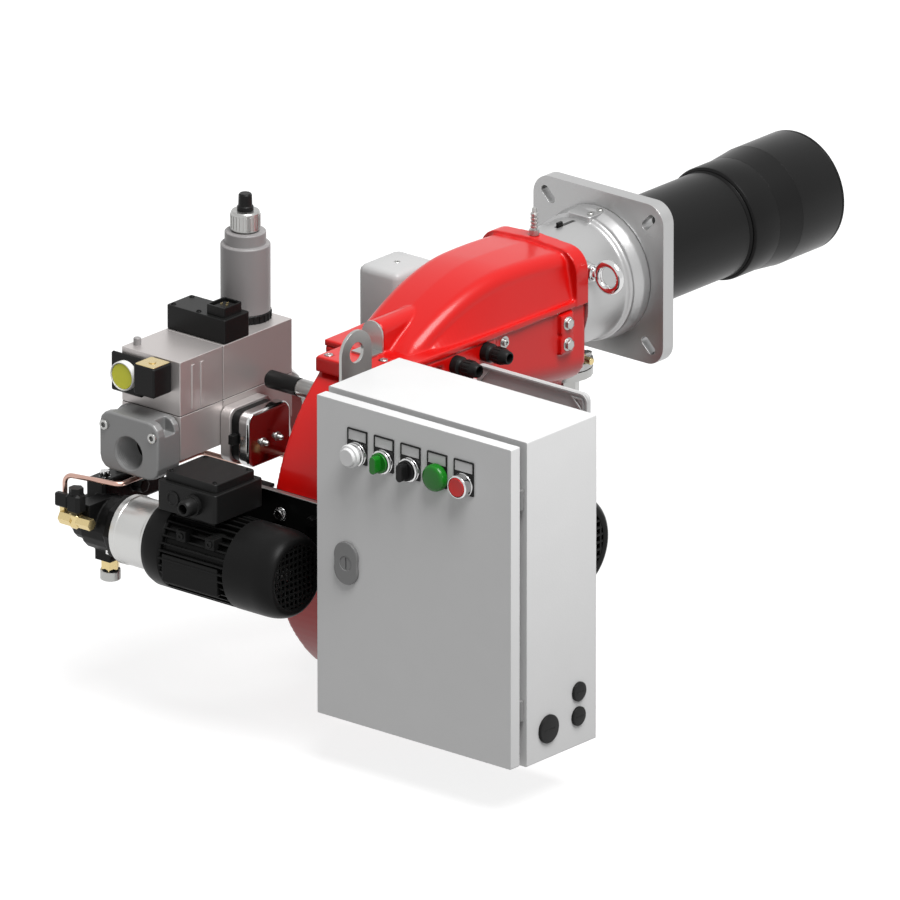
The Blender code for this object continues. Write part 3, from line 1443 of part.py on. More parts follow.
def volute_outline(inset):
    """Spiral outline that grows from the tongue at the front, under the fan and up at the rear."""
    points = []
    for i in range(VOLUTE_STEPS + 1):
        turn = 2.0 * math.pi * VOLUTE_TURNS * i / VOLUTE_STEPS
        radius = VOLUTE_START + VOLUTE_GROWTH * turn / (math.pi / 2.0) - inset
        points.append((FAN_Y + radius * math.cos(turn), FAN_Z - radius * math.sin(turn)))
    top = PARTING_Z + VOLUTE_NECK
    points.append((points[-1][0] + VOLUTE_CUTOFF, top))
    points.append((FAN_Y + VOLUTE_START - inset, top))
    return points


def build_housing():
    """Cast volute and duct in one piece, open on top under the cover and at both sides of the fan."""
    half = VOLUTE_HALF_WIDTH
    shell = plate("X", -half, half, [volute_outline(0.0)])
    stations = [
        HOUSING_FRONT + (DUCT_REAR_Y - HOUSING_FRONT) * i / DUCT_STATIONS for i in range(DUCT_STATIONS + 1)
    ]
    outer = loft(
        [u_section(y, duct_half_width(y), duct_floor(y), PARTING_Z + PASS, DUCT_CORNER) for y in stations]
    )
    boss_y = (JUNCTION_REAR_Y - GLAND_BOSS_REAR, JUNCTION_REAR_Y + GLAND_BOSS_FRONT)
    gland_boss = block((half - OVERLAP, BOSS_REACH), boss_y, GLAND_BOSS_Z)
    lug_boss = block(
        (half - OVERLAP, BOSS_REACH), boss_y, (JUNCTION_LUG_TOP - JUNCTION_LUG_HEIGHT, JUNCTION_LUG_TOP)
    )
    web = block(
        (half - OVERLAP, BOSS_REACH - BOSS_WEB_THICK),
        (boss_y[0] + BOSS_WEB_THICK, boss_y[0] + 2.0 * BOSS_WEB_THICK), BOSS_WEB_Z,
    )
    pads = []
    for side in (-1.0, 1.0):
        for z in BODY_BOLT_Z:
            face = side * (DUCT_HALF_WIDTH + BODY_PAD_THICK)
            inner_face = side * (DUCT_HALF_WIDTH - BODY_PAD_THICK)
            pads.append(
                block(
                    (min(face, inner_face), max(face, inner_face)),
                    (BODY_BOLT_Y - BODY_PAD_HALF, BODY_BOLT_Y + BODY_PAD_HALF),
                    (z - BODY_PAD_HALF, z + BODY_PAD_HALF),
                )
            )
            head = face - OVERLAP if side > 0.0 else face - HEX_HEIGHT
            pads.append(cylinder((head, BODY_BOLT_Y, z), "X", HEX_HEIGHT + OVERLAP, HEX_RADIUS, HEX_SIDES))
    servo_bosses = [
        block(
            (SERVO_LEFT + SERVO_WIDTH + SEAT_GAP, -VOLUTE_HALF_WIDTH - SERVO_BOSS_DEPTH),
            (
                SERVO_Y + s * SERVO_BOSS_SPREAD - SERVO_BOSS_HALF,
                SERVO_Y + s * SERVO_BOSS_SPREAD + SERVO_BOSS_HALF,
            ),
            (SERVO_SHAFT_Z - SERVO_BOSS_RISE, SERVO_SHAFT_Z + SERVO_BOSS_RISE),
        )
        for s in (-1.0, 1.0)
    ]
    plate_seat = block(
        (-PLATE_SEAT_HALF, PLATE_SEAT_HALF), (VOLUTE_REAR_Y, VOLUTE_REAR_Y + PLATE_SEAT_DEPTH),
        (FAN_Z - PLATE_SEAT_LOW, FAN_Z + PLATE_SEAT_HIGH),
    )
    fuse(shell, outer, gland_boss, lug_boss, web, *pads, *servo_bosses, plate_seat)
    wall = HOUSING_WALL
    inner_volute = plate("X", -half + wall, half - wall, [volute_outline(wall)])
    inner_stations = [HOUSING_FRONT - wall - FRONT_WALL_EXTRA] + stations[1:-1] + [DUCT_REAR_Y + wall]
    inner = loft(
        [
            u_section(
                y, duct_half_width(y) - wall, duct_floor(y) + wall, PARTING_Z + 2.0 * PASS,
                DUCT_CORNER - wall,
            )
            for y in inner_stations
        ]
    )
    mouth = cylinder(
        (0.0, HOUSING_FRONT - MOUTH_DEPTH, 0.0), "Y", MOUTH_CUT, COLLAR_BORE - MOUTH_INSET, WIDE_SIDES
    )
    motor_side = cylinder((0.0, FAN_Y, FAN_Z), "X", half + PASS, MOTOR_SHAFT + SHAFT_EYE_GAP, 16)
    intake_side = cylinder((-half - PASS, FAN_Y, FAN_Z), "X", half + PASS, FAN_OPENING, WIDE_SIDES)
    lid_cut = block(LID_CUT_X, LID_CUT_Y, (PARTING_Z, LID_CUT_TOP))
    cut(shell, inner_volute, inner, mouth, motor_side, intake_side, lid_cut)
    finish("fan_housing", shell, "red_paint")


def cover_top(y):
    """Height of the cover's crown: it rises behind the frame, then falls to the rear plate."""
    rise = math.sin(math.pi / 2.0 * along(y, HOUSING_FRONT, COVER_CREST_Y))
    fall = along(y, COVER_CREST_Y, COVER_REAR_Y, COVER_FALL_POWER)
    return COVER_FRONT_TOP + (COVER_CREST - COVER_FRONT_TOP) * rise - (COVER_CREST - COVER_REAR_TOP) * fall


def cover_base_half(y):
    return COVER_BASE_FRONT + (COVER_BASE_REAR - COVER_BASE_FRONT) * along(y, HOUSING_FRONT, COVER_REAR_Y)


def cover_shoulder(y):
    return COVER_SHOULDER_FRONT + (
        COVER_SHOULDER_REAR - COVER_SHOULDER_FRONT
    ) * along(y, HOUSING_FRONT, COVER_REAR_Y)


def cover_stations(front, rear, count=7):
    """Stations along the cover, closer together where it falls away."""
    return [
        front + (rear - front) * math.sin(
            math.pi / 2.0 * i / count
        ) ** STATION_POWER for i in range(count + 1)
    ]


def volute_rear_at(height):
    """Y of the volute's rear wall at a height, on the spiral."""
    low, high = math.pi, 1.5 * math.pi
    for _ in range(BISECTIONS):
        turn = (low + high) / 2.0
        radius = VOLUTE_START + VOLUTE_GROWTH * turn / (math.pi / 2.0)
        if FAN_Z - radius * math.sin(turn) < height:
            low = turn
        else:
            high = turn
    return FAN_Y + radius * math.cos(turn)


def build_top_cover():
    """Red top cover: lofted hood, arched front frame, skirt rim, sight tunnel and flat rear plate."""
    base = COVER_BASE
    stations = cover_stations(HOUSING_FRONT - FRAME_DEPTH / 2.0, COVER_REAR_Y)
    hood = loft(
        [
            hood_section(
                y, cover_base_half(y), base, cover_top(y), COVER_CORNER, cover_shoulder(y)
            ) for y in stations
        ]
    )
    frame_y = (HOUSING_FRONT - FRAME_DEPTH, HOUSING_FRONT)
    frame = loft([hood_section(y, FRAME_HALF_WIDTH, base, FRAME_TOP, FRAME_CORNER) for y in frame_y])
    rim = loft(
        [
            [
                (-cover_base_half(y) - COVER_RIM, y, base),
                (cover_base_half(y) + COVER_RIM, y, base),
                (cover_base_half(y) + COVER_RIM, y, base + COVER_RIM_HEIGHT),
                (-cover_base_half(y) - COVER_RIM, y, base + COVER_RIM_HEIGHT),
            ]
            for y in (HOUSING_FRONT - FRAME_DEPTH / 2.0, COVER_REAR_Y)
        ]
    )
    tunnel = loft(
        [
            hood_section(
                y, half, base, SIGHT_TUNNEL_Z + SIGHT_TUNNEL_RADIUS, SIGHT_TUNNEL_RADIUS, SIGHT_TUNNEL_RADIUS
            )
            for y, half in (
                (SIGHT_TUNNEL_APEX, SIGHT_TUNNEL_RADIUS),
                (SIGHT_TUNNEL_MOUTH, SIGHT_TUNNEL_RADIUS + TUNNEL_FLARE),
            )
        ]
    )
    plate_half = REAR_PLATE_HALF_WIDTH
    skirt_low = REAR_PLATE_TOP - REAR_PLATE_THICK
    rear = block(
        (-plate_half, plate_half),
        (REAR_PLATE_BACK, REAR_PLATE_FRONT),
        (base, REAR_PLATE_TOP),
    )
    skirt = block(
        (-plate_half, plate_half),
        (REAR_PLATE_BACK, volute_rear_at(skirt_low) - SEAT_GAP * 4.0),
        (skirt_low, base + OVERLAP),
    )
    screws = [
        cylinder(
            (x, REAR_PLATE_BACK + inset, REAR_PLATE_TOP - OVERLAP), "Z", COVER_SCREW_HEIGHT + OVERLAP,
            COVER_SCREW_RADIUS, SMALL_SIDES,
        )
        for x, inset in COVER_SCREWS
    ]
    fuse(hood, frame, rim, tunnel, rear, skirt, *screws)
    wall = COVER_WALL
    inner = loft(
        [
            hood_section(
                y, cover_base_half(
                    y
                ) - wall, base - PASS, cover_top(y) - wall, COVER_CORNER - wall, cover_shoulder(y) - wall
            )
            for y in cover_stations(HOUSING_FRONT - 2.0 * wall, COVER_REAR_Y + COVER_REAR_WEB)
        ]
    )
    mouth = cylinder(
        (0.0, HOUSING_FRONT - MOUTH_DEPTH, 0.0), "Y", MOUTH_CUT, COLLAR_BORE - MOUTH_INSET, WIDE_SIDES
    )
    bore_length = SIGHT_TUNNEL_APEX - SIGHT_TUNNEL_MOUTH + PASS
    sight_bore = cylinder((0.0, SIGHT_TUNNEL_MOUTH - PASS, SIGHT_TUNNEL_Z), "Y", bore_length, SIGHT_BORE, 16)
    cut(hood, inner, mouth, sight_bore)
    finish("top_cover", hood, "red_paint")


def build_cover_trim():
    """Sight port plate, pressure tap, and lifting lug with its bolts."""
    mouth = SIGHT_TUNNEL_MOUTH - SEAT_GAP
    top = SIGHT_TUNNEL_Z
    radius = SIGHT_TUNNEL_RADIUS
    floor = REAR_PLATE_TOP + SEAT_GAP
    outline = arc(0.0, top, radius, 0.0, 180.0, 10) + [(-radius, floor), (radius, floor)]
    upright = plate("Y", mouth - SIGHT_PLATE_THICK, mouth, [outline])
    foot = block(
        (-radius, radius), (mouth - SIGHT_PLATE_FOOT, mouth - OVERLAP / 2.0),
        (floor, floor + SIGHT_PLATE_THICK),
    )
    fuse(upright, foot)
    finish("sight_port_plate", upright, "plated_steel")

    tap_y = HOUSING_FRONT - FRAME_DEPTH / 2.0
    tap_base = FRAME_TOP + SEAT_GAP
    tap = cylinder((0.0, tap_y, tap_base), "Z", TAP_HEX_HEIGHT, TAP_HEX_RADIUS, HEX_SIDES)
    stem = turned(
        (0.0, tap_y, tap_base + TAP_STEM_START),
        "Z",
        TAP_PROFILE,
        SMALL_SIDES,
    )
    fuse(tap, stem)
    finish("pressure_tap", tap, "plated_steel")

    half = LUG_WIDTH / 2.0
    lug = arc(LUG_Y, LUG_EYE_Z, half, 0.0, 180.0, 12) + [
        (LUG_Y - half, -LUG_DEPTH), (LUG_Y + half, -LUG_DEPTH)
    ]
    loops = [lug, circle(LUG_Y, LUG_EYE_Z, LUG_EYE_RADIUS, 20)]
    ear = plate("X", VOLUTE_RIGHT, VOLUTE_RIGHT + LUG_THICK, loops)
    heads = [
        cylinder(
            (VOLUTE_RIGHT + LUG_THICK - OVERLAP, LUG_Y + LUG_BOLT_OFFSET, z), "X",
            LUG_BOLT_HEIGHT + OVERLAP, LUG_BOLT_RADIUS, HEX_SIDES,
        )
        for z in LUG_BOLT_Z
    ]
    fuse(ear, *heads)
    finish("lifting_lug", ear, "plated_steel")


# Air intake with its damper and servomotor
def build_intake():
    """Sheet-metal intake box on the volute's left side, open at its foot."""
    y = (INTAKE_REAR, INTAKE_FRONT)
    wall = INTAKE_WALL
    box = block((INTAKE_LEFT, INTAKE_RIGHT), y, (INTAKE_BOTTOM, INTAKE_TOP))
    ring = cylinder((INTAKE_RIGHT - wall, FAN_Y, FAN_Z), "X", wall, INTAKE_PLATE_RADIUS, WIDE_SIDES)
    fuse(box, ring)
    hollow = block(
        (INTAKE_LEFT + wall, INTAKE_RIGHT - wall),
        (y[0] + wall, y[1] - wall),
        (INTAKE_BOTTOM - PASS, INTAKE_TOP - wall),
    )
    eye = cylinder((INTAKE_RIGHT - wall - PASS, FAN_Y, FAN_Z), "X", wall + 2.0 * PASS, FAN_EYE, ROUND_SIDES)
    shaft = cylinder(
        (INTAKE_LEFT - PASS, FAN_Y, DAMPER_Z), "X", wall + 2.0 * PASS, DAMPER_SHAFT + RUN_GAP, SMALL_SIDES
    )
    back_wall = FAN_Y - DAMPER_HALF - SHUTTER_GAP - wall
    shutter = block(
        (
            INTAKE_LEFT + wall / 2.0, INTAKE_RIGHT - wall / 2.0
        ), (back_wall, back_wall + wall), (INTAKE_BOTTOM, INTAKE_TOP - wall / 2.0)
    )
    cut(box, hollow)
    fuse(box, shutter)
    cut(box, eye, shaft)
    finish("air_intake", box, "red_paint")

    blade_x = (INTAKE_LEFT + wall + BLADE_SIDE_GAP, INTAKE_RIGHT - wall - BLADE_SIDE_GAP)
    blade = block(
        blade_x,
        (FAN_Y - DAMPER_HALF, FAN_Y + DAMPER_HALF),
        (DAMPER_Z - DAMPER_THICK / 2.0, DAMPER_Z + DAMPER_THICK / 2.0),
    )
    pin_left = CRANK_LEFT - PIN_PROUD
    rod = cylinder(
        (CRANK_RIGHT - OVERLAP, FAN_Y, DAMPER_Z), "X", blade_x[1] - CRANK_RIGHT + OVERLAP, DAMPER_SHAFT,
        SMALL_SIDES,
    )
    lever = crank_outline(FAN_Y, DAMPER_Z)
    arm = plate("X", CRANK_LEFT, CRANK_RIGHT, [lever])
    pin = cylinder((pin_left, FAN_Y + CRANK_LENGTH, DAMPER_Z), "X", PIN_LENGTH, LINK_PIN, SMALL_SIDES)
    fuse(blade, rod, arm, pin)
    damper = finish("air_damper", blade, "plated_steel")
    pivot("pivot_air_damper", (INTAKE_LEFT, FAN_Y, DAMPER_Z), [damper])


def crank_outline(y, z):
    """Crank arm outline from its shaft to its pin, along +Y."""
    reach = y + CRANK_LENGTH
    return arc(y, z, CRANK_HUB_RADIUS, 90.0, 270.0, 6) + arc(reach, z, CRANK_EYE_RADIUS, -90.0, 90.0, 6)


def build_servo():
    """Damper servomotor on the duct's bosses, with its crank and link rod."""
    x = (SERVO_LEFT, SERVO_LEFT + SERVO_WIDTH)
    y = (SERVO_Y - SERVO_LENGTH / 2.0, SERVO_Y + SERVO_LENGTH / 2.0)
    z = (SERVO_TOP - SERVO_HEIGHT, SERVO_TOP)
    case = block(x, y, z, SERVO_CORNER, 3)
    socket = cylinder(
        (SERVO_LEFT - PASS, SERVO_Y, SERVO_SHAFT_Z), "X", SERVO_SOCKET_DEPTH + PASS,
        SERVO_SHAFT_RADIUS + RUN_GAP, SMALL_SIDES,
    )
    screw_recess = cylinder(
        (SERVO_X, SERVO_Y, SERVO_TOP - SERVO_SCREW_DEPTH), "Z", PASS, SERVO_SCREW_RADIUS, SMALL_SIDES
    )
    cut(case, socket, screw_recess)
    finish("damper_servo", case, "grey_plastic")

    arm = plate("X", CRANK_LEFT, CRANK_RIGHT, [crank_outline(SERVO_Y, SERVO_SHAFT_Z)])
    shaft = cylinder(
        (CRANK_RIGHT - OVERLAP, SERVO_Y, SERVO_SHAFT_Z), "X", SERVO_SHAFT_LENGTH + OVERLAP,
        SERVO_SHAFT_RADIUS, SMALL_SIDES,
    )
    pin = cylinder(
        (CRANK_LEFT - PIN_PROUD, SERVO_Y + CRANK_LENGTH, SERVO_SHAFT_Z), "X", PIN_LENGTH, LINK_PIN,
        SMALL_SIDES,
    )
    fuse(arm, shaft, pin)
    crank = finish("servo_crank", arm, "plated_steel")
    pivot("pivot_servo_crank", (SERVO_LEFT, SERVO_Y, SERVO_SHAFT_Z), [crank])

    top = (SERVO_Y + CRANK_LENGTH, SERVO_SHAFT_Z)
    foot = (FAN_Y + CRANK_LENGTH, DAMPER_Z)
    tilt = math.degrees(math.atan2(top[1] - foot[1], top[0] - foot[0]))
    rod_outline = arc(top[0], top[1], LINK_EYE, tilt - 90.0, tilt + 90.0, 8) + arc(
        foot[0], foot[1], LINK_EYE, tilt + 90.0, tilt + 270.0, 8
    )
    holes = [
        circle(top[0], top[1], LINK_PIN + RUN_GAP, SMALL_SIDES),
        circle(foot[0], foot[1], LINK_PIN + RUN_GAP, SMALL_SIDES),
    ]
    rod_x = (CRANK_LEFT - SEAT_GAP - LINK_ROD, CRANK_LEFT - SEAT_GAP)
    link = finish("damper_link_rod", plate("X", rod_x[0], rod_x[1], [rod_outline] + holes), "plated_steel")
    pivot("pivot_damper_link", (rod_x[0], top[0], top[1]), [link])


# Motors
def fin_profile(cy, cz, radius):
    """Finned outline of a motor frame."""
    points = []
    step = 360.0 / FIN_COUNT
    for i in range(FIN_COUNT):
        centre = i * step
        for offset, r in (
            (-FIN_FOOT_SHARE, radius - FIN_DEPTH), (-FIN_TOP_SHARE, radius), (FIN_TOP_SHARE, radius),
            (FIN_FOOT_SHARE, radius - FIN_DEPTH),
        ):
            angle = math.radians(centre + offset * step)
            points.append((cy + r * math.cos(angle), cz + r * math.sin(angle)))
    return points


def build_motor(left, right, cy, cz, radius, shaft_left, extras):
    """Totally enclosed fan-cooled motor along X: finned frame, fan cover with grille, and rotor.

    left and right are the ends of the machine, shaft_left is where the driven shaft ends, and extras are
    solids that turn with the shaft.
    """
    cover_left = right - MOTOR_COVER_LENGTH
    frame_right = cover_left - SEAT_GAP
    frame = plate("X", left + MOTOR_SHIELD - OVERLAP, frame_right, [fin_profile(cy, cz, radius - FIN_INSET)])
    shield = turned(
        (left, cy, cz),
        "X",
        [
            (MOTOR_SHIELD, 0.0),
            (MOTOR_SHIELD, radius - FIN_INSET),
            (SHIELD_CHAMFER, radius),
            (0.0, radius - SHIELD_STEP),
            (0.0, 0.0),
        ],
    )
    fuse(frame, shield)
    bearing = MOTOR_SHAFT + RUN_GAP
    core_left = left + MOTOR_SHIELD
    core_right = frame_right - BEARING_LENGTH
    bore = turned(
        (0.0, cy, cz),
        "X",
        [
            (frame_right + PASS, 0.0),
            (frame_right + PASS, bearing),
            (core_right, bearing),
            (core_right, ROTOR_RADIUS + ROTOR_GAP),
            (core_left, ROTOR_RADIUS + ROTOR_GAP),
            (core_left, bearing),
            (left - PASS, bearing),
            (left - PASS, 0.0),
        ],
        16,
    )
    cut(frame, bore)

    wall = FAN_COVER_WALL
    rim = radius * DOME_RIM_SHARE
    profile = [
        (right, 0.0),
        (right, rim),
        (right - DOME_LENGTH * DOME_OUTER_SHARE, radius * DOME_MIDDLE_SHARE),
        (right - DOME_LENGTH, radius),
        (cover_left, radius),
        (cover_left, radius - wall),
        (right - DOME_LENGTH, radius - wall),
        (right - DOME_LENGTH * DOME_INNER_SHARE, radius * DOME_MIDDLE_SHARE - wall),
        (right - wall, rim - wall),
        (right - wall, 0.0),
    ]
    cover = turned((0.0, cy, cz), "X", profile)
    holes = []
    count = int(GRILLE_FIELD / GRILLE_PITCH)
    half = GRILLE_HOLE / 2.0
    for i in range(-count, count + 1):
        for j in range(-count, count + 1):
            y, z = cy + i * GRILLE_PITCH, cz + j * GRILLE_PITCH
            if math.hypot(y - cy, z - cz) < GRILLE_FIELD - half:
                holes.append(rectangle((y - half, y + half), (z - half, z + half)))
    cut(cover, plate("X", right - wall - PASS / 2.0, right + PASS, holes))

    fan_x = frame_right + COOLING_FAN_GAP
    spindle_right = right - SPINDLE_SETBACK
    spindle = cylinder((shaft_left, cy, cz), "X", spindle_right - shaft_left, MOTOR_SHAFT, 12)
    rotor = cylinder(
        (core_left + ROTOR_END_GAP, cy, cz), "X", core_right - core_left - 2.0 * ROTOR_END_GAP,
        ROTOR_RADIUS, 16,
    )
    hub = cylinder((fan_x, cy, cz), "X", COOLING_HUB_LENGTH, COOLING_HUB_RADIUS, 12)
    vanes = []
    for i in range(3):
        vane = block(
            (fan_x + VANE_START, fan_x + VANE_END), (-radius + VANE_TIP_GAP, radius - VANE_TIP_GAP),
            (-VANE_HALF, VANE_HALF),
        )
        centre_x = fan_x + VANE_MIDDLE
        vane.matrix_world = Matrix.Translation((centre_x, cy, cz)) @ Matrix.Rotation(
            math.radians(60.0 * i), 4, "X"
        )
        vanes.append(vane)
    fuse(spindle, rotor, hub, *vanes, *extras)
    return frame, cover, spindle


def build_fan_drive():
    """Fan motor on the housing's right wall and the forward-curved fan wheel."""
    wheel_right = VOLUTE_HALF_WIDTH - HOUSING_WALL - WHEEL_GAP
    wheel_left = wheel_right - FAN_WIDTH
    frame, cover, spindle = build_motor(
        MOTOR_FACE, FAN_MOTOR_END, FAN_Y, FAN_Z, FAN_MOTOR_RADIUS, wheel_left + SPINDLE_INSET, []
    )
    finish("fan_motor_frame", frame, "black_paint")
    finish("fan_motor_cover", cover, "black_paint")
    shaft = finish("fan_motor_shaft", spindle, "plated_steel")

    disc = plate("X", wheel_right - WHEEL_DISC, wheel_right, [circle(FAN_Y, FAN_Z, FAN_RADIUS, WIDE_SIDES)])
    hub = cylinder(
        (wheel_left + WHEEL_HUB_START, FAN_Y, FAN_Z), "X", FAN_WIDTH - WHEEL_HUB_SHORT, FAN_HUB, 16
    )
    rim = plate(
        "X",
        wheel_left,
        wheel_left + WHEEL_DISC,
        [
            circle(FAN_Y, FAN_Z, FAN_RADIUS, WIDE_SIDES),
            circle(FAN_Y, FAN_Z, FAN_RADIUS - FAN_BLADE_CHORD, WIDE_SIDES),
        ],
    )
    blades = plate("X", wheel_left + BLADE_SINK, wheel_right - BLADE_SINK, blade_outlines())
    fuse(disc, hub, rim, blades)
    shaft_hole = cylinder(
        (wheel_left - PASS, FAN_Y, FAN_Z), "X", FAN_WIDTH + 2.0 * PASS, MOTOR_SHAFT + SEAT_GAP, 12
    )
    cut(disc, shaft_hole)
    wheel = finish("fan_impeller", disc, "plated_steel")
    pivot("pivot_fan", (wheel_left, FAN_Y, FAN_Z), [shaft, wheel])


def blade_outlines():
    """Thin curved blades set round the wheel's rim, each leaning forward."""
    outer = FAN_RADIUS - BLADE_SINK
    inner = outer - FAN_BLADE_CHORD + BLADE_ROOT
    outlines = []
    for i in range(FAN_BLADES):
        base = 360.0 * i / FAN_BLADES
        line = []
        for step in range(3):
            share = step / 2.0
            radius = inner + (outer - inner) * share
            lean = BLADE_LEAN * share * share
            line.append((radius, math.radians(base + lean)))
        half = FAN_BLADE_THICK / 2.0
        near = [(FAN_Y + r * math.cos(a - half / r), FAN_Z + r * math.sin(a - half / r)) for r, a in line]
        far = [(FAN_Y + r * math.cos(a + half / r), FAN_Z + r * math.sin(a + half / r)) for r, a in line]
        outlines.append(near + far[::-1])
    return outlines


# Oil side
def build_oil_side():
    """Cross plate, pump motor, coupling bell, oil pump with its solenoid valve, and the oil pipe."""
    right = CABINET_LEFT - SEAT_GAP
    low = CROSS_PLATE_TOP - CROSS_PLATE_HEIGHT
    sheet = block((CROSS_PLATE_LEFT, right), (CROSS_PLATE_REAR, CROSS_PLATE_FRONT), (low, CROSS_PLATE_TOP))
    lip = block(
        (CROSS_PLATE_LEFT, right), (CROSS_PLATE_REAR, CROSS_PLATE_REAR + CROSS_PLATE_LIP),
        (CROSS_PLATE_TOP - CROSS_PLATE_THICK, CROSS_PLATE_TOP + CROSS_PLATE_EDGE),
    )
    tab = block(
        (right - CROSS_PLATE_THICK, right), (CROSS_PLATE_REAR, CROSS_PLATE_REAR + CROSS_PLATE_TAB),
        (low, CROSS_PLATE_TOP),
    )
    clear = block(
        (-VOLUTE_HALF_WIDTH - CROSS_PLATE_SLOT_LEFT, VOLUTE_HALF_WIDTH + CROSS_PLATE_SLOT_RIGHT),
        (CROSS_PLATE_FRONT, 0.0), (low - PASS, CROSS_PLATE_TOP + PASS),
    )
    fuse(sheet, lip, tab)
    cut(sheet, clear)
    bolts = [
        cylinder(
            (x, CROSS_PLATE_REAR - CROSS_BOLT_HEIGHT, CROSS_BOLT_Z), "Y", CROSS_BOLT_HEIGHT + OVERLAP,
            CROSS_BOLT_CROWN, HEX_SIDES, HEX_RADIUS,
        )
        for x in CROSS_BOLT_X
    ]
    fuse(sheet, *bolts)
    finish("cross_plate", sheet, "black_paint")

    coupling_left = PUMP_MOTOR_LEFT - BELL_LENGTH + COUPLING_GAP
    coupling = cylinder((coupling_left, PUMP_Y, PUMP_Z), "X", COUPLING_LENGTH, COUPLING_RADIUS, 20)
    stub = cylinder(
        (PUMP_MOTOR_LEFT - BELL_LENGTH - PUMP_STUB_REACH, PUMP_Y, PUMP_Z), "X", PUMP_STUB_LENGTH,
        PUMP_STUB_RADIUS, SMALL_SIDES,
    )
    frame, cover, spindle = build_motor(
        PUMP_MOTOR_LEFT,
        PUMP_MOTOR_END,
        PUMP_Y,
        PUMP_Z,
        PUMP_MOTOR_RADIUS,
        coupling_left + SPINDLE_IN_COUPLING,
        [coupling, stub],
    )
    foot_y = (PUMP_Y + PUMP_MOTOR_RADIUS - MOTOR_FOOT_DEPTH, CROSS_PLATE_REAR - SEAT_GAP)
    foot = block(
        (PUMP_MOTOR_LEFT + MOTOR_FOOT_START, PUMP_MOTOR_LEFT + MOTOR_FOOT_END), foot_y,
        (PUMP_Z - MOTOR_FOOT_HALF, PUMP_Z + MOTOR_FOOT_HALF),
    )
    seat = block(
        (
            TERMINAL_BOX_X - BOX_SEAT_HALF_LENGTH, TERMINAL_BOX_X + BOX_SEAT_HALF_LENGTH
        ), (PUMP_Y - BOX_SEAT_HALF_WIDTH, PUMP_Y + BOX_SEAT_HALF_WIDTH),
        (PUMP_Z + PUMP_MOTOR_RADIUS - BOX_SEAT_DEPTH, PUMP_Z + PUMP_MOTOR_RADIUS + BOX_SEAT_PROUD),
    )
    nameplate_x = (TERMINAL_BOX_X - NAMEPLATE_LEFT, TERMINAL_BOX_X + NAMEPLATE_RIGHT)
    nameplate = block(
        nameplate_x, (PUMP_Y - PUMP_MOTOR_RADIUS + NAMEPLATE_SINK, PUMP_Y - NAMEPLATE_BACK),
        (PUMP_Z - NAMEPLATE_LOW, PUMP_Z + NAMEPLATE_HIGH),
    )
    bored = cylinder(
        (PUMP_MOTOR_LEFT, PUMP_Y, PUMP_Z), "X", FOOT_BORE_LENGTH, ROTOR_RADIUS + FOOT_BORE_GAP, 24
    )
    cut(foot, bored)
    fuse(frame, foot, seat, nameplate)
    finish("pump_motor_frame", frame, "black_paint")
    finish("pump_motor_cover", cover, "black_paint")
    rotor = finish("pump_motor_shaft", spindle, "plated_steel")
    pivot("pivot_pump", (PUMP_MOTOR_LEFT, PUMP_Y, PUMP_Z), [rotor])

    half_x = TERMINAL_BOX_LENGTH / 2.0
    half_y = TERMINAL_BOX_WIDTH / 2.0
    box_low = PUMP_Z + PUMP_MOTOR_RADIUS + BOX_SEAT_PROUD + SEAT_GAP
    box = block(
        (TERMINAL_BOX_X - half_x, TERMINAL_BOX_X + half_x), (PUMP_Y - half_y, PUMP_Y + half_y),
        (box_low, TERMINAL_BOX_TOP - BOX_LID_RISE), BOX_CORNER, 1,
    )
    lid = block(
        (TERMINAL_BOX_X - half_x + BOX_LID_INSET_X, TERMINAL_BOX_X + half_x - BOX_LID_INSET_X),
        (PUMP_Y - half_y + BOX_LID_INSET_Y, PUMP_Y + half_y - BOX_LID_INSET_Y),
        (TERMINAL_BOX_TOP - BOX_LID_DEPTH, TERMINAL_BOX_TOP), BOX_LID_CORNER, 1,
    )
    gland_z = (box_low + TERMINAL_BOX_TOP - BOX_LID_RISE) / 2.0
    gland = cylinder(
        (TERMINAL_BOX_X + BOX_GLAND_X, PUMP_Y - half_y - BOX_GLAND_REACH, gland_z), "Y", BOX_GLAND_LENGTH,
        BOX_GLAND_RADIUS, 12,
    )
    knock_out = cylinder(
        (TERMINAL_BOX_X - KNOCK_OUT_X, PUMP_Y - half_y - KNOCK_OUT_PROUD, gland_z), "Y", KNOCK_OUT_LENGTH,
        KNOCK_OUT_RADIUS, SMALL_SIDES,
    )
    fuse(box, lid, gland, knock_out)
    cut(
        box,
        cylinder(
            (TERMINAL_BOX_X + BOX_GLAND_X, PUMP_Y - half_y - BOX_GLAND_CUT, gland_z), "Y",
            BOX_GLAND_HOLE_LENGTH, BOX_GLAND_HOLE, 12,
        ),
    )
    finish("pump_terminal_box", box, "black_plastic")

    bell_left = PUMP_MOTOR_LEFT - BELL_LENGTH
    bell = cylinder((bell_left, PUMP_Y, PUMP_Z), "X", BELL_LENGTH - SEAT_GAP, BELL_RADIUS)
    hollow = cylinder((bell_left + BELL_FACE, PUMP_Y, PUMP_Z), "X", BELL_LENGTH, BELL_RADIUS - BELL_WALL)
    way = cylinder((bell_left - PASS, PUMP_Y, PUMP_Z), "X", PASS * 2.0, BELL_EYE, SMALL_SIDES)
    cut(bell, hollow, way)
    finish("pump_coupling_bell", bell, "cast_aluminium")
    build_oil_pump(bell_left - SEAT_GAP)


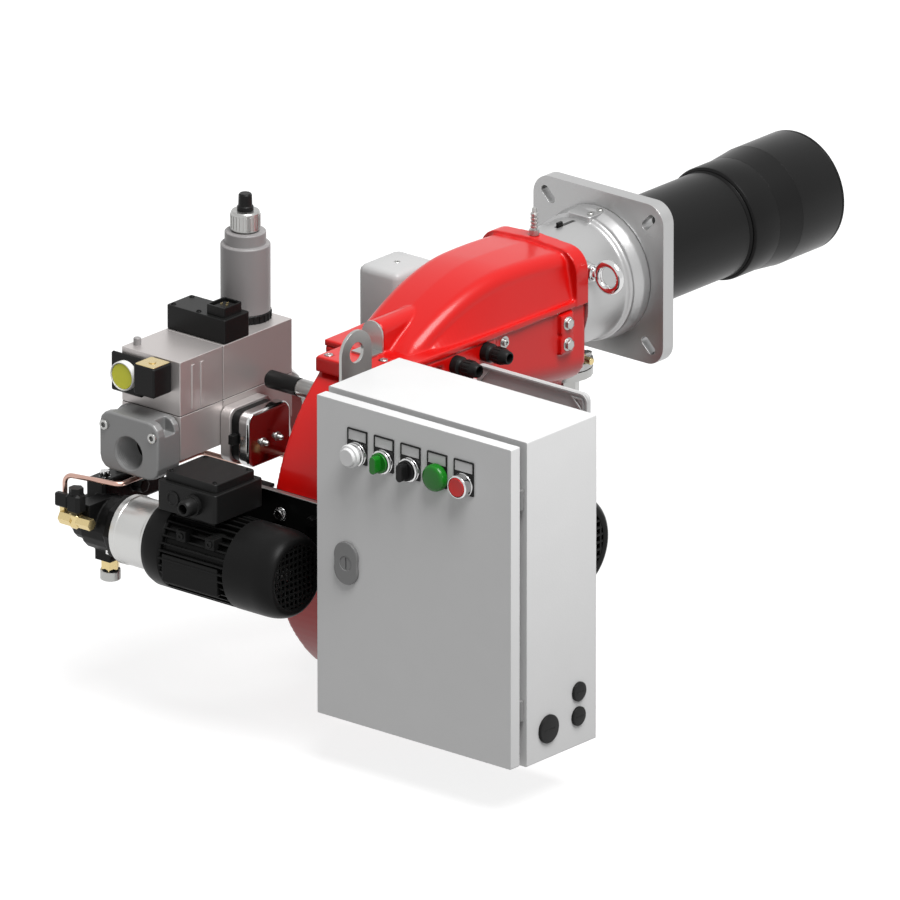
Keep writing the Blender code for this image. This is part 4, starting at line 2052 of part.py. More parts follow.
def build_oil_pump(face):
    """Gear pump with its manifold block, coil, brass valve body and copper pipe."""
    flange = cylinder(
        (face - PUMP_FLANGE_THICK, PUMP_Y, PUMP_Z), "X", PUMP_FLANGE_THICK, PUMP_FLANGE_RADIUS, 8
    )
    body = cylinder((face - PUMP_BODY_REACH, PUMP_Y, PUMP_Z), "X", PUMP_BODY_LENGTH, PUMP_BODY_RADIUS, 20)
    cap = cylinder((PUMP_LEFT, PUMP_Y, PUMP_Z), "X", PUMP_CAP_LENGTH, PUMP_BODY_RADIUS - PUMP_CAP_STEP, 20)
    manifold_x = (
        face - MANIFOLD_SETBACK - MANIFOLD_WIDTH / 2.0, face - MANIFOLD_SETBACK + MANIFOLD_WIDTH / 2.0
    )
    manifold = block(
        manifold_x, (PUMP_Y - MANIFOLD_FRONT, PUMP_Y + MANIFOLD_REAR),
        (MANIFOLD_TOP - MANIFOLD_HEIGHT, MANIFOLD_TOP), MANIFOLD_EDGE, 1,
    )
    throat = block(
        (manifold_x[0] + THROAT_INSET, manifold_x[1] - THROAT_INSET),
        (PUMP_Y - THROAT_FRONT, PUMP_Y + THROAT_REAR), (PUMP_Z, MANIFOLD_TOP - THROAT_TOP),
    )
    mount = block(
        (
            OIL_COIL_X - COIL_MOUNT_LEFT, OIL_COIL_X + COIL_MOUNT_RIGHT
        ), (OIL_COIL_BACK + SEAT_GAP, PUMP_Y), (PUMP_Z + COIL_MOUNT_LOW, PUMP_Z + COIL_MOUNT_HIGH)
    )
    foot = block(
        (face - PUMP_FOOT_LEFT, face - PUMP_FOOT_RIGHT), (PUMP_Y - PUMP_FOOT_HALF, PUMP_Y + PUMP_FOOT_HALF),
        (PUMP_Z - PUMP_FOOT_LEFT, PUMP_Z),
    )
    middle = (manifold_x[0] + manifold_x[1]) / 2.0
    bolts = [
        cylinder(
            (middle, PUMP_Y + at, MANIFOLD_TOP - OVERLAP), "Z", PUMP_BOLT_HEIGHT + OVERLAP,
            PUMP_BOLT_RADIUS, HEX_SIDES, PUMP_BOLT_CROWN,
        )
        for at in MANIFOLD_BOLTS
    ]
    for angle in FLANGE_BOLT_ANGLES:
        y = PUMP_Y + FLANGE_BOLT_RING * math.cos(math.radians(angle))
        z = PUMP_Z + FLANGE_BOLT_RING * math.sin(math.radians(angle))
        bolts.append(
            cylinder(
                (face - FLANGE_BOLT_REACH, y, z), "X", FLANGE_BOLT_HEIGHT + OVERLAP, FLANGE_BOLT_RADIUS,
                HEX_SIDES,
            )
        )
    drain_top = PUMP_Z - PUMP_FOOT_LEFT
    drain = cylinder(
        (face - DRAIN_X, PUMP_Y, drain_top - DRAIN_LENGTH), "Z", DRAIN_LENGTH + OVERLAP, DRAIN_RADIUS,
        HEX_SIDES,
    )
    drain_nut = cylinder(
        (face - DRAIN_X, PUMP_Y, drain_top - DRAIN_NUT_DROP), "Z", DRAIN_LENGTH, DRAIN_NUT_RADIUS,
        SMALL_SIDES,
    )
    rear_port = cylinder(
        (manifold_x[1] - OVERLAP, PUMP_Y + REAR_PORT_Y, MANIFOLD_TOP - REAR_PORT_DROP), "X",
        REAR_PORT_LENGTH, REAR_PORT_RADIUS, HEX_SIDES,
    )
    fuse(flange, body, cap, manifold, throat, mount, foot, *bolts, drain, drain_nut, rear_port)
    stub = cylinder(
        (face - STUB_BORE_REACH, PUMP_Y, PUMP_Z), "X", PUMP_STUB_LENGTH, PUMP_STUB_RADIUS + RUN_GAP,
        SMALL_SIDES,
    )
    cut(flange, stub)
    finish("oil_pump", flange, "black_paint")

    coil_y = (OIL_COIL_BACK - OIL_COIL_DEPTH, OIL_COIL_BACK)
    coil_x = (OIL_COIL_X - OIL_COIL_WIDTH / 2.0, OIL_COIL_X + OIL_COIL_WIDTH / 2.0)
    coil_z = (OIL_COIL_BOTTOM, OIL_COIL_BOTTOM + OIL_COIL_HEIGHT)
    coil = block(coil_x, coil_y, coil_z, OIL_COIL_CORNER, 1)
    connector = block(
        (coil_x[0] - CONNECTOR_REACH, coil_x[0] + OVERLAP), (
            coil_y[0] + CONNECTOR_FRONT, coil_y[0] + CONNECTOR_BACK
        ), (coil_z[0] + CONNECTOR_LOW, coil_z[1] - CONNECTOR_DROP), CONNECTOR_EDGE, 1
    )
    nut = cylinder(
        ((coil_x[0] + coil_x[1]) / 2.0, (coil_y[0] + coil_y[1]) / 2.0, coil_z[1] - OVERLAP), "Z",
        OIL_NUT_LENGTH, OIL_NUT_RADIUS, HEX_SIDES,
    )
    fuse(coil, connector, nut)
    finish("oil_solenoid", coil, "black_plastic")

    valve_z = coil_z[0] - SEAT_GAP
    valve_mid = ((coil_x[0] + coil_x[1]) / 2.0, (coil_y[0] + coil_y[1]) / 2.0)
    body = block(
        (coil_x[0] + BRASS_INSET_X, coil_x[1] - BRASS_INSET_X),
        (coil_y[0] + BRASS_INSET_Y, coil_y[1] - BRASS_INSET_Y), (valve_z - BRASS_HEIGHT, valve_z),
        BRASS_EDGE, 1,
    )
    left_nut = cylinder(
        (coil_x[0] - LEFT_NUT_REACH, valve_mid[1], valve_z - BRASS_MIDDLE), "X", LEFT_NUT_LENGTH,
        LEFT_NUT_RADIUS, HEX_SIDES,
    )
    right_nut = cylinder(
        (coil_x[1] - RIGHT_NUT_START, valve_mid[1], valve_z - BRASS_MIDDLE), "X", RIGHT_NUT_LENGTH,
        RIGHT_NUT_RADIUS, HEX_SIDES,
    )
    riser_nut = cylinder(
        (OIL_PIPE_X, OIL_PIPE_Y, valve_z - RISER_NUT_LENGTH), "Z", RISER_NUT_LENGTH, RISER_NUT_RADIUS,
        HEX_SIDES,
    )
    back_stub = cylinder(
        (valve_mid[0], coil_y[1] - BACK_STUB_START, valve_z - BRASS_MIDDLE), "Y", BACK_STUB_LENGTH,
        BACK_STUB_RADIUS, HEX_SIDES,
    )
    fuse(body, left_nut, right_nut, riser_nut, back_stub)
    finish("oil_valve_body", body, "brass")

    top = OIL_PIPE_TOP
    start_z = valve_z + SEAT_GAP
    wall_x = -VOLUTE_HALF_WIDTH - SEAT_GAP
    route = [
        (OIL_PIPE_X, OIL_PIPE_Y, start_z),
        (OIL_PIPE_X, OIL_PIPE_Y, top),
        (OIL_PIPE_MID_X, OIL_PIPE_MID_Y, top),
        (OIL_PIPE_MID_X, OIL_PIPE_REAR_Y, top),
        (OIL_PIPE_RIGHT_X, OIL_PIPE_REAR_Y, top),
        (OIL_PIPE_RIGHT_X, SENSOR_Y, top),
        (wall_x, SENSOR_Y, top),
    ]
    line = pipe(route, OIL_PIPE_RADIUS, OIL_PIPE_BEND)
    finish("oil_pipe", line, "copper")


# Gas train
def build_gas_train():
    """Inlet flange, double valve body, terminal box, main valve coil, switches and the pipe to the head."""
    x = (VALVE_LEFT, VALVE_RIGHT)
    y = (VALVE_FRONT, VALVE_REAR)
    body = block(x, y, (VALVE_BOTTOM, VALVE_TOP))
    chamber = cylinder(
        (VALVE_MID_X, VALVE_FRONT - PASS, GAS_PORT_Z + CHAMBER_RISE), "Y", CHAMBER_DEPTH + PASS,
        GAS_PORT_RADIUS - CHAMBER_STEP,
    )
    seam_z = (VALVE_SEAM - SEAM_WIDTH, VALVE_SEAM)
    seam = block((x[0] - PASS, x[1] + PASS), (y[0] - PASS, y[1] + PASS), seam_z)
    core = block(
        (x[0] + SEAM_WIDTH, x[1] - SEAM_WIDTH), (y[0] + SEAM_WIDTH, y[1] - SEAM_WIDTH),
        (seam_z[0] - PASS, seam_z[1] + PASS),
    )
    cut(seam, core)
    grooves = [
        block(
            (VALVE_RIGHT - GROOVE_DEPTH, VALVE_RIGHT + PASS),
            (VALVE_FRONT + at, VALVE_FRONT + at + GROOVE_WIDTH),
            (VALVE_SEAM - OVERLAP, VALVE_TOP - GROOVE_TOP),
        )
        for at in GROOVE_PLACES
    ]
    cut(body, chamber, seam, *grooves)
    finish("gas_valve_block", body, "cast_aluminium")

    half = INLET_SIDE / 2.0
    port_top = GAS_PORT_Z + half
    inlet_y = (VALVE_FRONT - SEAT_GAP - INLET_LENGTH, VALVE_FRONT - SEAT_GAP)
    shell = plate(
        "Y", inlet_y[0], inlet_y[1],
        [
            rectangle(
                (VALVE_MID_X - half, VALVE_MID_X + half), (GAS_PORT_Z - INLET_FOOT, port_top), INLET_CORNER,
                3,
            )
        ],
    )
    round_edges(shell, INLET_EDGE, 1, 60.0)
    port = cylinder(
        (VALVE_MID_X, inlet_y[0] - PASS, GAS_PORT_Z), "Y", INLET_LENGTH + 2.0 * PASS, GAS_PORT_RADIUS
    )
    pockets = [
        block(
            (VALVE_MID_X + s * half - POCKET_HALF, VALVE_MID_X + s * half + POCKET_HALF),
            (inlet_y[0] + POCKET_FRONT, inlet_y[1] - POCKET_REAR),
            (port_top - POCKET_DEPTH, port_top + PASS),
        )
        for s in (-1.0, 1.0)
    ]
    cut(shell, port, *pockets)
    finish("gas_inlet_flange", shell, "cast_aluminium")

    box_y = (VALVE_BOX_REAR - VALVE_BOX_LENGTH, VALVE_BOX_REAR)
    box = block(x, box_y, (VALVE_TOP + SEAT_GAP, VALVE_TOP + VALVE_BOX_HEIGHT), VALVE_BOX_EDGE, 1)
    socket = block(
        (VALVE_RIGHT - SOCKET_LEFT, VALVE_RIGHT - SOCKET_MARGIN),
        (box_y[0] + SOCKET_MARGIN, box_y[1] - SOCKET_MARGIN),
        (VALVE_TOP + VALVE_BOX_HEIGHT - OVERLAP, VALVE_TOP + VALVE_BOX_HEIGHT + SOCKET_HEIGHT),
        VALVE_BOX_EDGE, 1,
    )
    fuse(box, socket)
    finish("valve_terminal_box", box, "black_plastic")

    coil_profile = [
        (COIL_NECK_TOP - VALVE_TOP, 0.0),
        (COIL_NECK_TOP - VALVE_TOP, COIL_NECK_RADIUS),
        (COIL_TOP - VALVE_TOP, COIL_NECK_RADIUS),
        (COIL_TOP - VALVE_TOP, COIL_RADIUS - COIL_EDGE),
        (COIL_TOP - VALVE_TOP - COIL_EDGE, COIL_RADIUS),
        (COIL_RING_HEIGHT, COIL_RADIUS),
        (COIL_RING_HEIGHT, COIL_RADIUS + COIL_RING_PROUD),
        (SEAT_GAP, COIL_RADIUS + COIL_RING_PROUD),
        (SEAT_GAP, 0.0),
    ]
    coil = turned((VALVE_MID_X, COIL_Y, VALVE_TOP), "Z", coil_profile, ROUND_SIDES)
    bearing = cylinder(
        (VALVE_MID_X, COIL_Y, COIL_NECK_TOP - CAP_BEARING_DEPTH), "Z", CAP_BEARING_DEPTH + PASS,
        CAP_PIN_RADIUS + RUN_GAP, SMALL_SIDES,
    )
    cut(coil, bearing)
    finish("valve_solenoid", coil, "cast_aluminium")

    cap_base = COIL_NECK_TOP + RUN_GAP
    cap = turned(
        (VALVE_MID_X, COIL_Y, 0.0),
        "Z",
        [
            (FLOW_STEM_TOP, 0.0),
            (FLOW_STEM_TOP, FLOW_STEM_RADIUS - COIL_EDGE),
            (FLOW_STEM_TOP - COIL_EDGE, FLOW_STEM_RADIUS),
            (FLOW_CAP_TOP, FLOW_STEM_RADIUS),
            (FLOW_CAP_TOP, FLOW_CAP_RADIUS - CAP_EDGE),
            (FLOW_CAP_TOP - CAP_EDGE, FLOW_CAP_RADIUS),
            (cap_base + CAP_FOOT, FLOW_CAP_RADIUS),
            (cap_base, FLOW_CAP_RADIUS - CAP_EDGE),
            (cap_base, CAP_PIN_RADIUS),
            (COIL_NECK_TOP - CAP_PIN_DEPTH, CAP_PIN_RADIUS),
            (COIL_NECK_TOP - CAP_PIN_DEPTH, 0.0),
        ],
        16,
    )
    knob = finish("flow_cap", cap, "plated_steel")
    pivot("pivot_flow_cap", (VALVE_MID_X, COIL_Y, COIL_NECK_TOP), [knob])
    build_switches()
    build_gas_pipe()


def build_switches():
    """Gas pressure switch with its dial and plug, and the valve proving unit on the block's side."""
    half = SWITCH_SIDE / 2.0
    back_y = (VALVE_FRONT - SEAT_GAP - SWITCH_PLATE, VALVE_FRONT - SEAT_GAP)
    x = (SWITCH_X - half, SWITCH_X + half)
    case = block(x, back_y, (SWITCH_Z - half, SWITCH_Z + half), SWITCH_EDGE, 1)
    ring = turned(
        (SWITCH_X, back_y[0] + OVERLAP, SWITCH_Z),
        "Y",
        [
            (0.0, 0.0), (0.0, DIAL_RADIUS + DIAL_RING_FOOT),
            (-DIAL_RING_DEPTH, DIAL_RADIUS + DIAL_RING_TIP), (-DIAL_RING_DEPTH, 0.0),
        ],
        16,
    )
    plug_x = (PLUG_X - PLUG_WIDTH / 2.0, PLUG_X + PLUG_WIDTH / 2.0)
    plug_y = (VALVE_FRONT - SEAT_GAP - PLUG_DEPTH, VALVE_FRONT - SEAT_GAP)
    plug = block(plug_x, plug_y, (-PLUG_LOW, VALVE_TOP - SWITCH_EDGE), SWITCH_EDGE, 1)
    bridge = block((x[1] - OVERLAP, plug_x[0] + OVERLAP), (plug_y[1] - BRIDGE_DEPTH, plug_y[1]), BRIDGE_Z)
    fuse(case, ring, plug, bridge)
    cut(
        case,
        cylinder(
            (SWITCH_X, back_y[0] + OVERLAP - DIAL_RING_DEPTH - PASS, SWITCH_Z), "Y", PASS + DIAL_THICK,
            DIAL_RADIUS + SEAT_GAP, 16,
        ),
    )
    finish("gas_pressure_switch", case, "black_plastic")
    dial_y = back_y[0] + OVERLAP - DIAL_RING_DEPTH + DIAL_THICK - SEAT_GAP
    dial = cylinder((SWITCH_X, dial_y - DIAL_THICK, SWITCH_Z), "Y", DIAL_THICK, DIAL_RADIUS, 16)
    dial_piece = finish("pressure_dial", dial, "yellow_dial")
    pivot("pivot_pressure_dial", (SWITCH_X, dial_y, SWITCH_Z), [dial_piece])

    y = (PROVER_Y - PROVER_LENGTH / 2.0, PROVER_Y + PROVER_LENGTH / 2.0)
    z = (PROVER_Z - PROVER_HEIGHT / 2.0, PROVER_Z + PROVER_HEIGHT / 2.0)
    left = VALVE_RIGHT + SEAT_GAP
    base = plate("X", left, left + PROVER_BASE, [rectangle(y, z, PROVER_CORNER, 3)])
    ring = plate(
        "X", left + PROVER_RING_START, left + PROVER_RING_END,
        [
            rectangle(
                (y[0] + PROVER_RING_INSET, y[1] - PROVER_RING_INSET),
                (z[0] + PROVER_RING_INSET, z[1] - PROVER_RING_INSET), PROVER_CORNER, 3,
            )
        ],
    )
    tab = block(
        (left + PROVER_TAB_START, left + PROVER_TAB_END), (y[0] - PROVER_TAB_FRONT, y[0] + PROVER_TAB_BACK),
        (PROVER_Z - PROVER_TAB_HALF, PROVER_Z + PROVER_TAB_HALF),
    )
    cover_x = left + PROVER_TAB_END
    cover = plate("X", cover_x, cover_x + PROVER_COVER, [rectangle(y, z, PROVER_COVER_CORNER, 3)])
    round_edges(cover, PROVER_EDGE, 1, 60.0)
    nipples = [
        cylinder(
            (cover_x + PROVER_NIPPLE_START, PROVER_Y + dy, PROVER_Z - PROVER_NIPPLE_DROP), "X",
            PROVER_NIPPLE_LENGTH, PROVER_NIPPLE_RADIUS, SMALL_SIDES,
        )
        for dy in PROVER_NIPPLES
    ]
    fuse(base, ring, tab, cover, *nipples)
    finish("valve_prover", base, "cast_aluminium")


def build_gas_pipe():
    """Gas pipe from the valve's outlet down beside the duct, across under the collar and up to its neck."""
    outlet = VALVE_REAR + SEAT_GAP
    z = GAS_PORT_Z + OUTLET_RISE
    top = -GAS_NECK_DEPTH - SEAT_GAP
    route = [
        (VALVE_MID_X, outlet, z),
        (VALVE_MID_X, outlet + GAS_PIPE_DROP, z),
        (VALVE_MID_X, outlet + GAS_PIPE_DROP, GAS_PIPE_Z),
        (VALVE_MID_X, GAS_NECK_Y, GAS_PIPE_Z),
        (0.0, GAS_NECK_Y, GAS_PIPE_Z),
        (0.0, GAS_NECK_Y, top),
    ]
    line = pipe(route, GAS_PIPE_RADIUS, GAS_PIPE_BEND)
    rim = cylinder((VALVE_MID_X, outlet, z), "Y", PIPE_RIM, GAS_PIPE_RADIUS + PIPE_RIM, ROUND_SIDES)
    collar = cylinder(
        (0.0, GAS_NECK_Y, top - GAS_NECK_FLANGE_THICK), "Z", GAS_NECK_FLANGE_THICK, GAS_NECK_FLANGE_RADIUS
    )
    fuse(line, rim, collar)
    finish("gas_pipe", line, "plated_steel")


def build_sensor():
    """Flame sensor in its holder on the volute's left wall."""
    wall = -VOLUTE_HALF_WIDTH - SEAT_GAP
    holder = turned(
        (wall, SENSOR_Y, SENSOR_Z),
        "X",
        [
            (0.0, 0.0),
            (0.0, SENSOR_RADIUS + HOLDER_FLANGE),
            (-HOLDER_FLANGE_THICK, SENSOR_RADIUS + HOLDER_FLANGE),
            (-HOLDER_FLANGE_THICK, SENSOR_RADIUS),
            (-SENSOR_HOLDER_LENGTH + HOLDER_TAPER, SENSOR_RADIUS),
            (-SENSOR_HOLDER_LENGTH, SENSOR_RADIUS - HOLDER_STEP),
            (-SENSOR_HOLDER_LENGTH, 0.0),
        ],
        20,
    )
    finish("sensor_holder", holder, "cast_aluminium")
    start = wall - SENSOR_HOLDER_LENGTH - SEAT_GAP
    body = turned(
        (start, SENSOR_Y, SENSOR_Z),
        "X",
        [
            (0.0, 0.0),
            (0.0, SENSOR_RADIUS),
            (-SENSOR_LENGTH + SENSOR_EDGE, SENSOR_RADIUS),
            (-SENSOR_LENGTH, SENSOR_RADIUS - SENSOR_EDGE),
            (-SENSOR_LENGTH, 0.0),
        ],
        20,
    )
    finish("flame_sensor", body, "black_plastic")


# Junction box
def build_junction():
    """Grey junction box above the fan motor, with its lid and the cable glands of the housing."""
    right = JUNCTION_LEFT + JUNCTION_WIDTH
    low = JUNCTION_TOP - JUNCTION_HEIGHT
    front = JUNCTION_REAR_Y + JUNCTION_DEPTH
    box_x = (JUNCTION_LEFT + JUNCTION_BOX_INSET, JUNCTION_BOX_RIGHT)
    box = block(box_x, (JUNCTION_REAR_Y - OVERLAP, front), (low + JUNCTION_BOX_INSET, JUNCTION_BOX_TOP))
    lug = block(
        (BOSS_REACH + SEAT_GAP, box_x[0] + OVERLAP),
        (JUNCTION_REAR_Y + JUNCTION_LUG_INSET, front - JUNCTION_LUG_INSET),
        (JUNCTION_LUG_TOP - JUNCTION_LUG_HEIGHT, JUNCTION_LUG_TOP),
    )
    lid_y = (JUNCTION_REAR_Y - JUNCTION_LID, JUNCTION_REAR_Y)
    lid = plate(
        "Y", lid_y[0], lid_y[1],
        [rectangle((JUNCTION_LEFT, right), (low, JUNCTION_TOP), JUNCTION_CORNER, 3)],
    )
    round_edges(lid, JUNCTION_EDGE, 1, 60.0)
    recess = [
        (
            JUNCTION_LEFT + RECESS_CORNER, low + RECESS_MARGIN
        ), (right - RECESS_CORNER, low + RECESS_MARGIN), (right - RECESS_MARGIN, low + RECESS_CORNER),
        (
            right - RECESS_MARGIN, JUNCTION_TOP - RECESS_CORNER
        ), (right - RECESS_CORNER, JUNCTION_TOP - RECESS_MARGIN),
        (
            JUNCTION_LEFT + RECESS_CORNER, JUNCTION_TOP - RECESS_MARGIN
        ), (JUNCTION_LEFT + RECESS_MARGIN, JUNCTION_TOP - RECESS_CORNER),
        (JUNCTION_LEFT + RECESS_MARGIN, low + RECESS_CORNER),
    ]
    cut(lid, plate("Y", lid_y[0] - PASS, lid_y[0] + RECESS_DEPTH, [recess]))
    fuse(lid, box, lug)
    finish("junction_box", lid, "grey_plastic")

    for name, y, z in (
        ("front", JUNCTION_REAR_Y + FRONT_GLAND_Y, -FRONT_GLAND_Z),
        ("rear", JUNCTION_REAR_Y - REAR_GLAND_Y, -REAR_GLAND_Z),
    ):
        start = BOSS_REACH + SEAT_GAP
        nut = cylinder((start, y, z), "X", GLAND_NUT_LENGTH, GLAND_RADIUS + GLAND_NUT_STEP, HEX_SIDES)
        sleeve = cylinder(
            (start + GLAND_NUT_FACE, y, z), "X", GLAND_REACH - start - GLAND_NUT_FACE, GLAND_RADIUS, 16
        )
        fuse(nut, sleeve)
        cut(nut, cylinder((GLAND_REACH - GLAND_HOLE_DEPTH, y, z), "X", PASS * 2.0, GLAND_HOLE, SMALL_SIDES))
        finish("cable_gland_" + name, nut, "black_plastic")


# Control cabinet
def build_cabinet():
    """Powder-coated steel enclosure with welded hinge pins, a mounting plate and blanking plugs."""
    x = (CABINET_LEFT, CABINET_RIGHT)
    y = (CABINET_FRONT_Y, CABINET_FRONT_Y + CABINET_DEPTH)
    z = (CABINET_BOTTOM, CABINET_TOP)
    wall = CABINET_WALL
    shell = block(x, y, z, CABINET_EDGE_ROUND, 2)
    inset = NECK_INSET
    neck = block(
        (x[0] + inset, x[1] - inset), (y[0] - NECK_LENGTH, y[0] + NECK_ROOT), (z[0] + inset, z[1] - inset)
    )
    fuse(shell, neck)
    inner = inset + wall
    opening = block(
        (x[0] + inner, x[1] - inner), (y[0] - NECK_LENGTH - PASS, y[0] + NECK_OPENING),
        (z[0] + inner, z[1] - inner),
    )
    hollow = block((x[0] + wall, x[1] - wall), (y[0] + wall, y[1] - wall), (z[0] + wall, z[1] - wall))
    plugs = [
        turned(
            (x[1], CABINET_FRONT_Y + dy, CABINET_BOTTOM + dz),
            "X",
            [
                (PLUG_PROUD, 0.0), (PLUG_PROUD, r - PLUG_EDGE), (PLUG_EDGE, r), (-OVERLAP / 2.0, r),
                (-OVERLAP / 2.0, 0.0),
            ],
            12,
        )
        for dy, dz, r in PLUG_PLACES
    ]
    pins = []
    for height in hinge_heights():
        arm_z = (height + HINGE_LENGTH / 2.0 + RUN_GAP, height + HINGE_LENGTH / 2.0 + HINGE_ARM_END)
        arm = block(
            (x[1] - inset - HINGE_ARM_SINK, HINGE_X + HINGE_ARM_HALF),
            (HINGE_Y - HINGE_ARM_HALF, HINGE_Y + HINGE_ARM_HALF), arm_z,
        )
        pin = cylinder(
            (HINGE_X, HINGE_Y, height - HINGE_LENGTH / 2.0), "Z", HINGE_LENGTH + HINGE_PIN_EXTRA,
            HINGE_PIN - HINGE_PIN_GAP, 12,
        )
        pins += [arm, pin]
    cut(shell, hollow, opening)
    fuse(shell, *pins, *plugs)
    finish("cabinet_body", shell, "grey_powder")

    back = y[1] - wall - SEAT_GAP
    sheet = block(
        (x[0] + SHEET_MARGIN, x[1] - SHEET_MARGIN), (back - SHEET_BACK, back - SHEET_FRONT),
        (z[0] + SHEET_MARGIN, z[1] - SHEET_MARGIN),
    )
    feet = [
        cylinder((px, back - STUD_LENGTH, pz), "Y", STUD_LENGTH, STUD_RADIUS, HEX_SIDES)
        for px in (x[0] + STUD_MARGIN, x[1] - STUD_MARGIN)
        for pz in (z[0] + STUD_MARGIN, z[1] - STUD_MARGIN)
    ]
    fuse(sheet, *feet)
    finish("mounting_plate", sheet, "plated_steel")


def hinge_heights():
    return (CABINET_BOTTOM + HINGE_FROM_END, CABINET_TOP - HINGE_FROM_END)


def build_door():
    """Door pan with its hinge knuckles, lock and operators."""
    x = (CABINET_LEFT + DOOR_MARGIN, CABINET_RIGHT - DOOR_MARGIN)
    z = (CABINET_BOTTOM + DOOR_MARGIN, CABINET_TOP - DOOR_MARGIN)
    y = (DOOR_FRONT_Y, DOOR_BACK_Y)
    skin = DOOR_SKIN
    pan = block(x, y, z, CABINET_EDGE_ROUND, 2)
    hollow = block((x[0] + skin, x[1] - skin), (y[0] + skin, y[1] + PASS), (z[0] + skin, z[1] - skin))
    cut(pan, hollow)
    knuckles = []
    for height in hinge_heights():
        low = height - HINGE_LENGTH / 2.0
        knuckles.append(cylinder((HINGE_X, HINGE_Y, low), "Z", HINGE_LENGTH, KNUCKLE_RADIUS, 12))
        leaf_x = (HINGE_X - KNUCKLE_RADIUS / 2.0, x[1] - skin / 2.0)
        knuckles.append(block(leaf_x, (y[0] + skin / 2.0, HINGE_Y), (low, low + HINGE_LENGTH)))
    fuse(pan, lock_cover(y[0]), *knuckles)
    bores = [
        cylinder(
            (HINGE_X, HINGE_Y, height - HINGE_LENGTH), "Z", 2.0 * HINGE_LENGTH, HINGE_PIN + RUN_GAP / 2.0,
            12,
        )
        for height in hinge_heights()
    ]
    operator_holes = [
        cylinder((operator_x(i), y[0] - PASS, OPERATOR_Z), "Y", 2.0 * PASS, OPERATOR_HOLE, 12)
        for i in range(OPERATOR_COUNT)
    ]
    lock_hole = cylinder((LOCK_X, y[0] - PASS, LOCK_Z), "Y", 2.0 * PASS, LOCK_STEM_HOLE, 16)
    cut(pan, *bores, *operator_holes, lock_hole)
    door = finish("cabinet_door", pan, "grey_powder")

    face = y[0] - SEAT_GAP - LEGEND_THICK
    carried = [door] + build_operators(face)
    build_lock(y[0])
    pivot("pivot_cabinet_door", (HINGE_X, HINGE_Y, (z[0] + z[1]) / 2.0), carried)


def legend(index, face):
    """Legend plate round one operator, from the operator's face to the door."""
    cx = operator_x(index)
    outline = rectangle(
        (cx - LEGEND_WIDTH / 2.0, cx + LEGEND_WIDTH / 2.0), (LEGEND_TOP - LEGEND_HEIGHT, LEGEND_TOP)
    )
    return plate("Y", face, face + LEGEND_THICK, [outline])


def operator_x(index):
    return OPERATOR_FIRST_X + index * OPERATOR_PITCH


